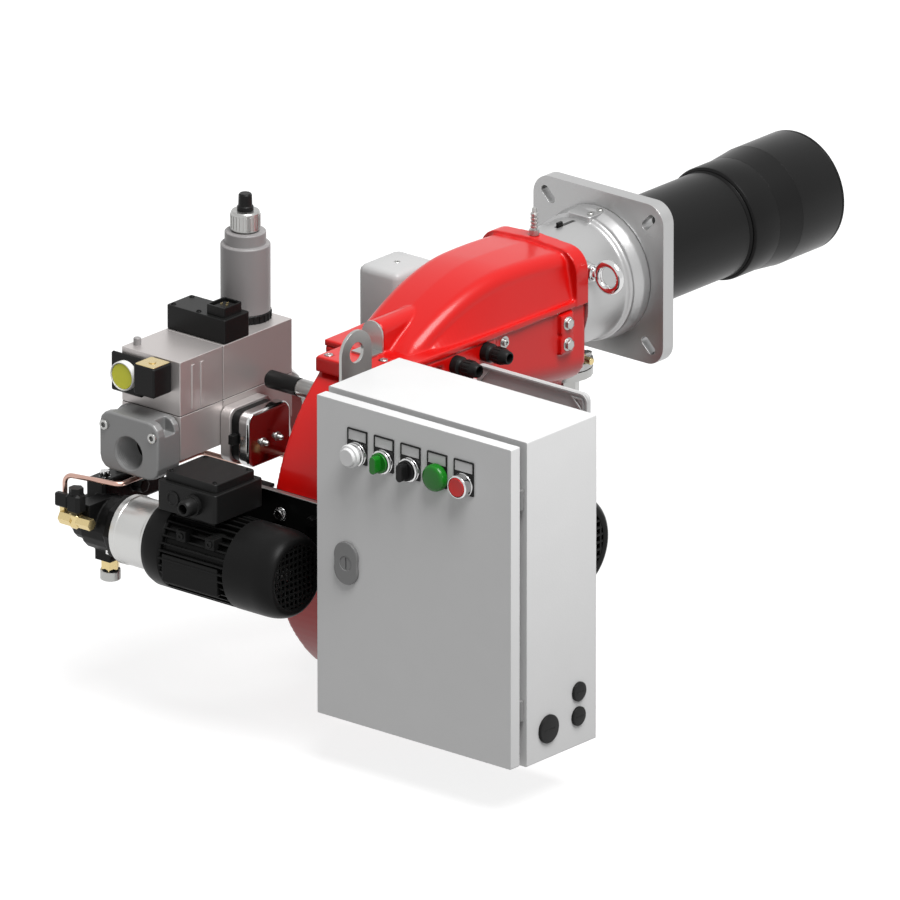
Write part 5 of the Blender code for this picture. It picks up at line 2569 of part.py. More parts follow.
def build_operators(face):
    """Bezels with their barrels, the green lamp, and the four operators that move."""
    carried = []
    depth = -BEZEL_DEPTH
    for i, name in ((0, "reset_bezel"), (1, "green_bezel"), (2, "black_bezel"), (4, "stop_bezel")):
        bezel = turned(
            (operator_x(i), face, OPERATOR_Z),
            "Y",
            [
                (BARREL_DEPTH, 0.0),
                (BARREL_DEPTH, OPERATOR_HOLE - BARREL_STEP),
                (OVERLAP / 2.0, OPERATOR_HOLE - BARREL_STEP),
                (OVERLAP / 2.0, BEZEL_RADIUS),
                (depth + BEZEL_EDGE, BEZEL_RADIUS),
                (depth, BEZEL_RADIUS - BEZEL_EDGE),
                (depth, 0.0),
            ],
            12,
        )
        fuse(bezel, legend(i, face))
        cut(
            bezel,
            cylinder(
                (operator_x(i), face + depth - PASS, OPERATOR_Z), "Y", PASS - depth + STEM_WAY_DEPTH,
                STEM_WAY, 10,
            ),
        )
        carried.append(finish(name, bezel, "chrome"))

    lamp = turned(
        (operator_x(3), face, OPERATOR_Z),
        "Y",
        [
            (BARREL_DEPTH, 0.0),
            (BARREL_DEPTH, OPERATOR_HOLE - BARREL_STEP),
            (OVERLAP / 2.0, OPERATOR_HOLE - BARREL_STEP),
            (OVERLAP / 2.0, LAMP_RADIUS),
            (-LAMP_SIDE, LAMP_SIDE_RADIUS),
            (-LAMP_DEPTH, LAMP_FACE_RADIUS),
            (-LAMP_DEPTH, 0.0),
        ],
        16,
    )
    fuse(lamp, legend(3, face))
    carried.append(finish("green_lamp", lamp, "green_plastic"))

    stem = STEM_WAY - RUN_GAP
    front = face - BEZEL_DEPTH
    lens_front = front - LENS_DEPTH
    reset = turned(
        (operator_x(0), 0.0, OPERATOR_Z), "Y",
        [(face + STEM_DEPTH, 0.0), (face + STEM_DEPTH, stem), (front - BUTTON_TRAVEL - RUN_GAP, stem),
         (front - BUTTON_TRAVEL - RUN_GAP, LENS_RADIUS),
         (lens_front - LENS_STEP, LENS_EDGE_RADIUS), (lens_front - LENS_STEP, LENS_INNER_RADIUS),
          (lens_front - LENS_FACE, LENS_FACE_RADIUS), (lens_front - LENS_FACE, 0.0)],
        16,
    )
    reset_button = finish("reset_button", reset, "white_plastic")
    pivot("pivot_reset_button", (operator_x(0), face, OPERATOR_Z), [reset_button])

    stop = turned(
        (operator_x(4), 0.0, OPERATOR_Z), "Y",
        [(face + STEM_DEPTH, 0.0), (face + STEM_DEPTH, stem), (front - BUTTON_TRAVEL - RUN_GAP, stem),
         (front - BUTTON_TRAVEL - RUN_GAP, STOP_RADIUS),
         (front - BUTTON_TRAVEL - STOP_SIDE, STOP_RADIUS), (front - BUTTON_TRAVEL - STOP_DEPTH,
          STOP_FACE_RADIUS), (front - BUTTON_TRAVEL - STOP_DEPTH, 0.0)],
        16,
    )
    stop_button = finish("stop_button", stop, "red_plastic")
    pivot("pivot_stop_button", (operator_x(4), face, OPERATOR_Z), [stop_button])
    for index, name, colour in (
        (1, "green_selector", "green_plastic"), (2, "black_selector", "black_plastic")
    ):
        base = turned(
            (operator_x(index), 0.0, OPERATOR_Z), "Y",
            [(face + STEM_DEPTH, 0.0), (face + STEM_DEPTH, stem), (front - RUN_GAP, stem),
             (front - RUN_GAP, SELECTOR_RADIUS),
             (front - SELECTOR_BASE, SELECTOR_RADIUS), (front - SELECTOR_BASE, 0.0)],
            16,
        )
        grip = block(
            (
                operator_x(index) - GRIP_HALF_WIDTH, operator_x(index) + GRIP_HALF_WIDTH
            ), (front - GRIP_FRONT, front - GRIP_SINK),
            (OPERATOR_Z - GRIP_HALF_LENGTH, OPERATOR_Z + GRIP_HALF_LENGTH), GRIP_EDGE, 1,
        )
        fuse(base, grip)
        knob = finish(name, base, colour)
        pivot("pivot_" + name, (operator_x(index), face, OPERATOR_Z), [knob])
    return carried


def lock_cover(front):
    """Two-lobed lock escutcheon, joined to the door."""
    lobe = LOCK_LENGTH / 2.0 - LOCK_RADIUS
    waist = LOCK_RADIUS * LOCK_WAIST_SHARE
    upper = arc(LOCK_X, LOCK_Z + lobe, LOCK_RADIUS, -20.0, 200.0, 12)
    lower = arc(LOCK_X, LOCK_Z - lobe, LOCK_RADIUS, 160.0, 380.0, 12)
    outline = upper + [(LOCK_X - waist, LOCK_Z)] + lower + [(LOCK_X + waist, LOCK_Z)]
    return plate("Y", front - LOCK_COVER_PROUD, front + DOOR_SKIN / 2.0, [outline])


def build_lock(front):
    """Quarter-turn lock insert with its cam behind the door."""
    face = front - SEAT_GAP
    stem_end = front + DOOR_THICK - LOCK_STEM_SHORT
    insert = turned(
        (LOCK_X, 0.0, LOCK_Z), "Y",
        [
            (stem_end, 0.0), (stem_end, LOCK_STEM_HOLE - RUN_GAP),
            (face - LOCK_STEM_PROUD, LOCK_STEM_HOLE - RUN_GAP), (face - LOCK_STEM_PROUD, 0.0),
        ],
        16,
    )
    cam_swing = LOCK_X - CABINET_LEFT - NECK_INSET - CABINET_WALL - 2.0 * RUN_GAP
    cam_reach = math.sqrt(cam_swing**2 - CAM_HALF_WIDTH**2)
    cam = block(
        (LOCK_X - cam_reach, LOCK_X + CAM_TAIL), (stem_end - CAM_BACK, stem_end - CAM_FRONT),
        (LOCK_Z - CAM_HALF_WIDTH, LOCK_Z + CAM_HALF_WIDTH),
    )
    fuse(insert, cam)
    cut(
        insert,
        block(
            (LOCK_X - KEY_SLOT_HALF, LOCK_X + KEY_SLOT_HALF), (face - KEY_SLOT_FRONT, face - KEY_SLOT_BACK),
            (LOCK_Z - CAM_HALF_WIDTH, LOCK_Z + CAM_HALF_WIDTH),
        ),
    )
    turn = finish("lock_insert", insert, "plated_steel")
    pivot("pivot_lock_insert", (LOCK_X, face, LOCK_Z), [turn])


def main():
    build_flange()
    build_collar()
    build_eyebolt()
    build_blast_tube()
    build_head()
    build_housing()
    build_top_cover()
    build_cover_trim()
    build_intake()
    build_servo()
    build_fan_drive()
    build_oil_side()
    build_gas_train()
    build_sensor()
    build_junction()
    build_cabinet()
    build_door()
    for leftover in list(CUTTERS.objects):
        bpy.data.objects.remove(leftover, do_unlink=True)


main()
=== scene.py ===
"""Forced-draught gas burner with its gas train, oil pump and control cabinet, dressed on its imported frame."""

import logging
import math
from dataclasses import dataclass, field
from enum import Enum

import bmesh
import bpy
from mathutils import Matrix, Vector


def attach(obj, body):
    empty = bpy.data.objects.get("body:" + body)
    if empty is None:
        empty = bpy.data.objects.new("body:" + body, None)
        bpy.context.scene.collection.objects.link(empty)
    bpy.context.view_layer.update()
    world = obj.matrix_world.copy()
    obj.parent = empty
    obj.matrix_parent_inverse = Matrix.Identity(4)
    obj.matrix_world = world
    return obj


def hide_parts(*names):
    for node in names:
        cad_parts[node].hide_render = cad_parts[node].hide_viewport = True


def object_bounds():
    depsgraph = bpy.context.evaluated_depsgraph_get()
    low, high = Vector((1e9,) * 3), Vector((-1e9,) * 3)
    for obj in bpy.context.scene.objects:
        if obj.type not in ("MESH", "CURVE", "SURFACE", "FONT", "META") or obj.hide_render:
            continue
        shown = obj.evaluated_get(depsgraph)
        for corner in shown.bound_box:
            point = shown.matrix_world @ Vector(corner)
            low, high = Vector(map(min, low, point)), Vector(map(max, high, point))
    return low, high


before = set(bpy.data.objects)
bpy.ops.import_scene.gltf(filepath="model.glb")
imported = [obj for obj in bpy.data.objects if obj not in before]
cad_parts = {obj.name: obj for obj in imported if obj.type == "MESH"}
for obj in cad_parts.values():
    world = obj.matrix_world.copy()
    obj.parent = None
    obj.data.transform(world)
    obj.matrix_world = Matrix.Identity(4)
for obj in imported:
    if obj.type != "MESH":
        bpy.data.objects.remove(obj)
CAD_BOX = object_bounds()
LOG = logging.getLogger("burner")

# Shared sizes, metres
TINY = 1e-7
SMOOTH_ANGLE = math.radians(32.0)
SMOOTH_SIDES = 72
SMALL_SIDES = 32
PROUD = 0.0003

Point = tuple[float, float, float]
Flat = tuple[float, float]


class Axis(Enum):
    """Direction that a turned or extruded shape runs along."""

    X = "X"
    Y = "Y"
    Z = "Z"

    def turn(self) -> Matrix:
        """Rotation that takes +Z to this axis."""
        if self is Axis.X:
            return Matrix.Rotation(math.pi / 2.0, 4, "Y")
        if self is Axis.Y:
            return Matrix.Rotation(-math.pi / 2.0, 4, "X")
        return Matrix.Identity(4)

    def vector(self) -> Vector:
        """Unit vector of the axis."""
        return Vector([float(self.value == letter) for letter in "XYZ"])

    def point(self, along: float, flat: Flat) -> Vector:
        """Point at a distance along the axis and at flat coordinates across it, in X, Y, Z order."""
        if self is Axis.X:
            return Vector((along, flat[0], flat[1]))
        if self is Axis.Y:
            return Vector((flat[0], along, flat[1]))
        return Vector((flat[0], flat[1], along))


class Grain(Enum):
    """Kind of surface relief."""

    SMOOTH = "smooth"
    POWDER = "powder"
    CAST = "cast"
    BRUSHED = "brushed"


# Outlines
def arc(cx: float, cy: float, radius: float, start: float, end: float, steps: int = 12) -> list[Flat]:
    """Points of an arc.

    Args:
        cx, cy: centre.
        radius: radius of the arc.
        start, end: angles in degrees.
        steps: number of segments.

    Returns:
        The points in order.
    """
    angles = [math.radians(start + (end - start) * i / steps) for i in range(steps + 1)]
    return [(cx + radius * math.cos(a), cy + radius * math.sin(a)) for a in angles]


def circle(cx: float, cy: float, radius: float, sides: int = SMOOTH_SIDES) -> list[Flat]:
    """Closed circle outline."""
    return arc(cx, cy, radius, 0.0, 360.0 * (sides - 1) / sides, sides - 1)


def rounded_rectangle(x: Flat, y: Flat, radius: float, steps: int = 8) -> list[Flat]:
    """Rectangle outline between limits with round corners."""
    if radius <= 0.0:
        return [(x[0], y[0]), (x[1], y[0]), (x[1], y[1]), (x[0], y[1])]
    centres = [
        (x[1] - radius, y[0] + radius, -90.0), (x[1] - radius, y[1] - radius, 0.0),
        (x[0] + radius, y[1] - radius, 90.0), (x[0] + radius, y[0] + radius, 180.0),
    ]
    return [point for cx, cy, start in centres for point in arc(cx, cy, radius, start, start + 90.0, steps)]


def slot(cx: float, cy: float, length: float, width: float, angle: float) -> list[Flat]:
    """Slot outline with round ends, turned by an angle in degrees."""
    half = (length - width) / 2.0
    points = arc(half, 0.0, width / 2.0, -90.0, 90.0) + arc(-half, 0.0, width / 2.0, 90.0, 270.0)
    c, s = math.cos(math.radians(angle)), math.sin(math.radians(angle))
    return [(cx + x * c - y * s, cy + x * s + y * c) for x, y in points]


def along(y: float, front: float, rear: float, power: float = 1.0) -> float:
    """Share of the way from a front station to a rear one, from 0 to 1."""
    return max(0.0, min(1.0, (front - y) / (front - rear))) ** power


class Draft:
    """A mesh being drawn, which becomes one finished piece."""

    def __init__(self) -> None:
        """Starts with an empty mesh."""
        self.mesh = bmesh.new()

    def lathe(
        self, axis: Axis, centre: Point, profile: list[Flat], sides: int = SMOOTH_SIDES, closed: bool = False
    ) -> "Draft":
        """Adds a turned shape.

        Args:
            axis: axis of the turning.
            centre: point on the axis that distances along it are counted from.
            profile: points of distance along the axis and radius.
            sides: number of facets round the axis.
            closed: joins the last point to the first, for a shell.

        Returns:
            The draft itself.
        """
        place = Matrix.Translation(centre) @ axis.turn()
        rings = []
        for distance, radius in profile:
            if radius < TINY:
                rings.append([self.mesh.verts.new(place @ Vector((0.0, 0.0, distance)))])
                continue
            turns = [2.0 * math.pi * i / sides for i in range(sides)]
            ring = [Vector((radius * math.cos(t), radius * math.sin(t), distance)) for t in turns]
            rings.append([self.mesh.verts.new(place @ point) for point in ring])
        pairs = list(zip(rings, rings[1:])) + ([(rings[-1], rings[0])] if closed else [])
        for one, two in pairs:
            for i in range(sides):
                j = (i + 1) % sides
                quad = [one[i % len(one)], one[j % len(one)], two[j % len(two)], two[i % len(two)]]
                corners = list(dict.fromkeys(quad))
                if len(corners) > 2:
                    self.mesh.faces.new(corners)
        return self

    def prism(self, axis: Axis, start: float, end: float, loops: list[list[Flat]]) -> "Draft":
        """Adds a plate between two stations along an axis; every loop after the first is a hole."""
        edges = []
        for loop in loops:
            ring = [self.mesh.verts.new(axis.point(start, point)) for point in loop]
            edges += [self.mesh.edges.new((ring[i - 1], ring[i])) for i in range(len(ring))]
        filled = bmesh.ops.triangle_fill(self.mesh, edges=edges, use_beauty=True)
        faces = [item for item in filled["geom"] if isinstance(item, bmesh.types.BMFace)]
        grown = bmesh.ops.extrude_face_region(self.mesh, geom=faces, use_keep_orig=True)
        moved = [item for item in grown["geom"] if isinstance(item, bmesh.types.BMVert)]
        bmesh.ops.translate(self.mesh, verts=moved, vec=axis.vector() * (end - start))
        return self

    def block(self, x: Flat, y: Flat, z: Flat, radius: float = 0.0, axis: Axis = Axis.Z) -> "Draft":
        """Adds a block between limits, with corners rounded across one axis."""
        spans = {Axis.X: (x, y, z), Axis.Y: (y, x, z), Axis.Z: (z, x, y)}[axis]
        return self.prism(axis, spans[0][0], spans[0][1], [rounded_rectangle(spans[1], spans[2], radius)])

    def loft(self, sections: list[list[Point]]) -> "Draft":
        """Adds a closed solid through matching closed sections in order."""
        rings = [[self.mesh.verts.new(point) for point in section] for section in sections]
        count = len(rings[0])
        for one, two in zip(rings, rings[1:]):
            for i in range(count):
                j = (i + 1) % count
                self.mesh.faces.new((one[i], one[j], two[j], two[i]))
        self.mesh.faces.new(rings[0][::-1])
        self.mesh.faces.new(rings[-1])
        return self

    def tube(self, route: list[Vector], radius: float, sides: int = 20) -> "Draft":
        """Adds a round tube along a route of points, without twist."""
        normal = Vector((0.31, 0.87, 0.38))
        rings = []
        for i, point in enumerate(route):
            ahead = (route[min(i + 1, len(route) - 1)] - route[max(i - 1, 0)]).normalized()
            normal = (normal - ahead * normal.dot(ahead)).normalized()
            side = ahead.cross(normal)
            turns = [2.0 * math.pi * j / sides for j in range(sides)]
            rings.append([self.mesh.verts.new(point + (normal * math.cos(t) + side * math.sin(t)) * radius) for t in turns])
        for one, two in zip(rings, rings[1:]):
            for i in range(sides):
                j = (i + 1) % sides
                self.mesh.faces.new((one[i], one[j], two[j], two[i]))
        self.mesh.faces.new(rings[0][::-1])
        self.mesh.faces.new(rings[-1])
        return self

    def torus(self, centre: Point, ring: float, wire: float, sides: int = 64) -> "Draft":
        """Adds a ring that stands in the XZ plane."""
        rings = []
        for i in range(sides):
            turn = 2.0 * math.pi * i / sides
            out = Vector((math.cos(turn), 0.0, math.sin(turn)))
            rolls = [2.0 * math.pi * j / 24 for j in range(24)]
            rings.append([
                self.mesh.verts.new(Vector(centre) + out * (ring + wire * math.cos(r)) + Vector((0.0, wire * math.sin(r), 0.0)))
                for r in rolls
            ])
        for i in range(sides):
            for j in range(24):
                k, m = (i + 1) % sides, (j + 1) % 24
                self.mesh.faces.new((rings[i][j], rings[k][j], rings[k][m], rings[i][m]))
        return self

    def copy_of(self, node: str) -> "Draft":
        """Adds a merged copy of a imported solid."""
        self.mesh.from_mesh(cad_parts[node].data)
        bmesh.ops.remove_doubles(self.mesh, verts=self.mesh.verts, dist=0.00001)
        return self

    def raw(self, name: str) -> bpy.types.Object:
        """Object with the drawn mesh, normals outwards, linked to the scene."""
        bmesh.ops.recalc_face_normals(self.mesh, faces=self.mesh.faces)
        data = bpy.data.meshes.new(name)
        self.mesh.to_mesh(data)
        self.mesh.free()
        piece = bpy.data.objects.new(name, data)
        bpy.context.scene.collection.objects.link(piece)
        return piece

    def finish(self, name: str, material: bpy.types.Material, edge: float = 0.0, segments: int = 2) -> bpy.types.Object:
        """Finished piece with rounded edges.

        Args:
            name: name of the piece.
            material: its finish.
            edge: width of the rounding on edges sharper than the smooth angle.
            segments: facets across each rounded edge.

        Returns:
            The piece, with its modifiers applied.
        """
        if edge > 0.0:
            bmesh.ops.dissolve_limit(self.mesh, angle_limit=0.002, verts=self.mesh.verts, edges=self.mesh.edges)
        piece = self.raw(name)
        if edge > 0.0:
            bevel = piece.modifiers.new("rounding", "BEVEL")
            bevel.width, bevel.segments = edge, segments
            bevel.limit_method, bevel.angle_limit = "ANGLE", SMOOTH_ANGLE
            bevel.use_clamp_overlap = True
            bevel.harden_normals = True
            piece.data.shade_smooth()
            return settle(piece, material, keep_shading=True)
        return settle(piece, material)

    def casting(
        self, name: str, material: bpy.types.Material, voxel: float, passes: int, cutters: tuple["Draft", ...] = ()
    ) -> bpy.types.Object:
        """Finished piece whose solids are run together with fillets, as a casting is.

        Args:
            name: name of the piece.
            material: its finish.
            voxel: cell size of the skin.
            passes: smoothing passes, which set the fillets.
            cutters: drafts of the volumes to machine away afterwards.

        Returns:
            The piece, with its modifiers applied.
        """
        piece = self.raw(name)
        skin = piece.modifiers.new("skin", "REMESH")
        skin.mode, skin.voxel_size = "VOXEL", voxel
        fillet = piece.modifiers.new("fillets", "SMOOTH")
        fillet.factor, fillet.iterations = 0.5, passes
        tools = []
        for i, cutter in enumerate(cutters):
            tool = cutter.raw(f"{name}_cut_{i}")
            machined = piece.modifiers.new("machined", "BOOLEAN")
            machined.operation, machined.solver, machined.object = "DIFFERENCE", "MANIFOLD", tool
            tools.append(tool)
        settle(piece, material)
        for tool in tools:
            bpy.data.objects.remove(tool, do_unlink=True)
        return piece


def settle(piece: bpy.types.Object, material: bpy.types.Material, keep_shading: bool = False) -> bpy.types.Object:
    """Applies a piece's modifiers, gives it its finish and its smooth shading."""
    depsgraph = bpy.context.evaluated_depsgraph_get()
    data = bpy.data.meshes.new_from_object(piece.evaluated_get(depsgraph))
    piece.modifiers.clear()
    piece.data = data
    data.materials.clear()
    data.materials.append(material)
    if not keep_shading:
        data.shade_smooth()
        data.set_sharp_from_angle(angle=SMOOTH_ANGLE)
    return piece


def fillet_route(corners: list[Point], bend: float, steps: int = 10) -> list[Vector]:
    """Route through corners, with each inner corner replaced by an arc of a radius."""
    points = [Vector(corner) for corner in corners]
    route = [points[0]]
    for before, corner, after in zip(points, points[1:], points[2:]):
        back, ahead = (before - corner).normalized(), (after - corner).normalized()
        half = back.angle(ahead) / 2.0
        centre = corner + (back + ahead).normalized() * (bend / math.sin(half))
        reach = bend / math.tan(half)
        first, last = corner + back * reach - centre, corner + ahead * reach - centre
        normal = first.cross(last).normalized()
        sweep = first.angle(last)
        route += [centre + Matrix.Rotation(sweep * i / steps, 3, normal) @ first for i in range(steps + 1)]
    return route + [points[-1]]


# Geometry node trees for what repeats
class Tree:
    """A Geometry Nodes tree with named inputs."""

    def __init__(self, name: str, inputs: dict[str, str]) -> None:
        """Makes the tree, its inputs and its one geometry output.

        Args:
            name: name of the tree.
            inputs: socket type of each named input.
        """
        self.tree = bpy.data.node_groups.new(name, "GeometryNodeTree")
        for label, kind in inputs.items():
            self.tree.interface.new_socket(label, in_out="INPUT", socket_type=kind)
        self.tree.interface.new_socket("Geometry", in_out="OUTPUT", socket_type="NodeSocketGeometry")
        self.source = self.tree.nodes.new("NodeGroupInput")
        self.sink = self.tree.nodes.new("NodeGroupOutput")

    def node(self, kind: str, links: dict[object, object], **settings: object) -> bpy.types.Node:
        """Adds a node.

        Args:
            kind: type of the node.
            links: value, output socket or node for each named or numbered input.
            settings: properties of the node.

        Returns:
            The node.
        """
        made = self.tree.nodes.new(kind)
        for key, value in settings.items():
            setattr(made, key, value)
        for key, value in links.items():
            if isinstance(value, bpy.types.Node):
                value = value.outputs[0]
            if isinstance(value, bpy.types.NodeSocket):
                self.tree.links.new(value, made.inputs[key])
            else:
                made.inputs[key].default_value = value
        return made

    def given(self, label: str) -> bpy.types.NodeSocket:
        """Output socket of a named input of the tree."""
        return self.source.outputs[label]

    def end(self, geometry: bpy.types.Node) -> None:
        """Realizes the instances, sets the material and closes the tree."""
        real = self.node("GeometryNodeRealizeInstances", {"Geometry": geometry})
        dressed = self.node("GeometryNodeSetMaterial", {"Geometry": real, "Material": self.given("Finish")})
        self.tree.links.new(dressed.outputs[0], self.sink.inputs[0])

    def build(self, name: str, base: bpy.types.Mesh, values: dict[str, object], material: bpy.types.Material) -> bpy.types.Object:
        """Runs the tree on a mesh and returns the result as a plain piece.

        Args:
            name: name of the piece.
            base: mesh that the tree starts from.
            values: value of each named input.
            material: finish of the piece.

        Returns:
            The piece, without its modifier.
        """
        piece = bpy.data.objects.new(name, base)
        bpy.context.scene.collection.objects.link(piece)
        modifier = piece.modifiers.new(name, "NODES")
        modifier.node_group = self.tree
        sockets = {item.name: item.identifier for item in self.tree.interface.items_tree if item.in_out == "INPUT"}
        for label, value in {**values, "Finish": material}.items():
            modifier[sockets[label]] = value
        return settle(piece, material)


def row_tree() -> Tree:
    """Tree that sets a copy of an item on every point, standing along a direction."""
    tree = Tree("set_out", {
        "Geometry": "NodeSocketGeometry", "Item": "NodeSocketObject", "Direction": "NodeSocketVector",
        "Size": "NodeSocketFloat", "Finish": "NodeSocketMaterial",
    })
    item = tree.node("GeometryNodeObjectInfo", {"Object": tree.given("Item")})
    facing = tree.node("FunctionNodeAlignRotationToVector", {"Vector": tree.given("Direction")}, axis="Z")
    rows = tree.node("GeometryNodeInstanceOnPoints", {
        "Points": tree.given("Geometry"), "Instance": item.outputs["Geometry"],
        "Rotation": facing, "Scale": tree.given("Size"),
    })
    tree.end(rows)
    return tree


def ring_tree() -> Tree:
    """Tree that sets copies of an item round a circle about Z, each turned outwards, then places the ring."""
    tree = Tree("ring_out", {
        "Geometry": "NodeSocketGeometry", "Item": "NodeSocketObject", "Count": "NodeSocketInt",
        "Radius": "NodeSocketFloat", "Place": "NodeSocketVector", "Turn": "NodeSocketRotation",
        "Finish": "NodeSocketMaterial",
    })
    item = tree.node("GeometryNodeObjectInfo", {"Object": tree.given("Item")})
    ring = tree.node("GeometryNodeMeshCircle", {"Vertices": tree.given("Count"), "Radius": tree.given("Radius")})
    outward = tree.node("GeometryNodeInputPosition", {})
    facing = tree.node("FunctionNodeAlignRotationToVector", {"Vector": outward}, axis="X")
    copies = tree.node("GeometryNodeInstanceOnPoints", {"Points": ring, "Instance": item.outputs["Geometry"], "Rotation": facing})
    placed = tree.node("GeometryNodeTransform", {
        "Geometry": copies, "Translation": tree.given("Place"), "Rotation": tree.given("Turn"),
    })
    tree.end(placed)
    return tree


def grille_tree() -> Tree:
    """Tree of a round sheet with square holes, facing +Z, then placed."""
    tree = Tree("grille", {
        "Geometry": "NodeSocketGeometry", "Radius": "NodeSocketFloat", "Cells": "NodeSocketInt",
        "Open": "NodeSocketFloat", "Thickness": "NodeSocketFloat", "Place": "NodeSocketVector",
        "Turn": "NodeSocketRotation", "Finish": "NodeSocketMaterial",
    })
    width = tree.node("ShaderNodeMath", {0: tree.given("Radius"), 1: 2.0}, operation="MULTIPLY")
    lines = tree.node("ShaderNodeMath", {0: tree.given("Cells"), 1: 1.0}, operation="ADD")
    sheet = tree.node("GeometryNodeMeshGrid", {"Size X": width, "Size Y": width, "Vertices X": lines, "Vertices Y": lines})
    cells = tree.node("GeometryNodeExtrudeMesh", {"Mesh": sheet.outputs["Mesh"], "Offset Scale": 0.0, "Individual": True}, mode="FACES")
    holes = tree.node("GeometryNodeScaleElements", {
        "Geometry": cells.outputs["Mesh"], "Selection": cells.outputs["Top"], "Scale": tree.given("Open"),
    })
    frame_bars = tree.node("GeometryNodeDeleteGeometry", {"Geometry": holes, "Selection": cells.outputs["Top"]}, domain="FACE")
    place = tree.node("GeometryNodeInputPosition", {})
    reach = tree.node("ShaderNodeVectorMath", {0: place}, operation="LENGTH")
    beyond = tree.node("FunctionNodeCompare", {0: reach.outputs["Value"], 1: tree.given("Radius")}, operation="GREATER_THAN")
    disc = tree.node("GeometryNodeDeleteGeometry", {"Geometry": frame_bars, "Selection": beyond}, domain="FACE")
    joined = tree.node("GeometryNodeMergeByDistance", {"Geometry": disc, "Distance": 0.00001})
    thick = tree.node("GeometryNodeExtrudeMesh", {"Mesh": joined, "Offset Scale": tree.given("Thickness"), "Individual": False}, mode="FACES")
    back = tree.node("GeometryNodeFlipFaces", {"Mesh": joined})
    both = tree.node("GeometryNodeJoinGeometry", {"Geometry": thick.outputs["Mesh"]})
    tree.tree.links.new(back.outputs[0], both.inputs[0])
    whole = tree.node("GeometryNodeMergeByDistance", {"Geometry": both, "Distance": 0.00001})
    placed = tree.node("GeometryNodeTransform", {
        "Geometry": whole, "Translation": tree.given("Place"), "Rotation": tree.given("Turn"),
    })
    tree.end(placed)
    return tree


def shading_tree() -> bpy.types.NodeTree:
    """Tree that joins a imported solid's triangles and smooths its round surfaces."""
    tree = Tree("soft_shading", {"Geometry": "NodeSocketGeometry", "Angle": "NodeSocketFloat"})
    bare = tree.node("GeometryNodeRemoveAttribute", {"Geometry": tree.given("Geometry"), "Name": "custom_normal"})
    joined = tree.node("GeometryNodeMergeByDistance", {"Geometry": bare, "Distance": 0.00001})
    smooth = tree.node("GeometryNodeSetShadeSmooth", {"Geometry": joined}, domain="FACE")
    bend = tree.node("GeometryNodeInputMeshEdgeAngle", {})
    crisp = tree.node("FunctionNodeCompare", {0: bend.outputs[0], 1: tree.given("Angle")}, operation="GREATER_THAN")
    edges = tree.node("GeometryNodeSetShadeSmooth", {"Geometry": smooth, "Selection": crisp, "Shade Smooth": False}, domain="EDGE")
    tree.tree.links.new(edges.outputs[0], tree.sink.inputs[0])
    return tree


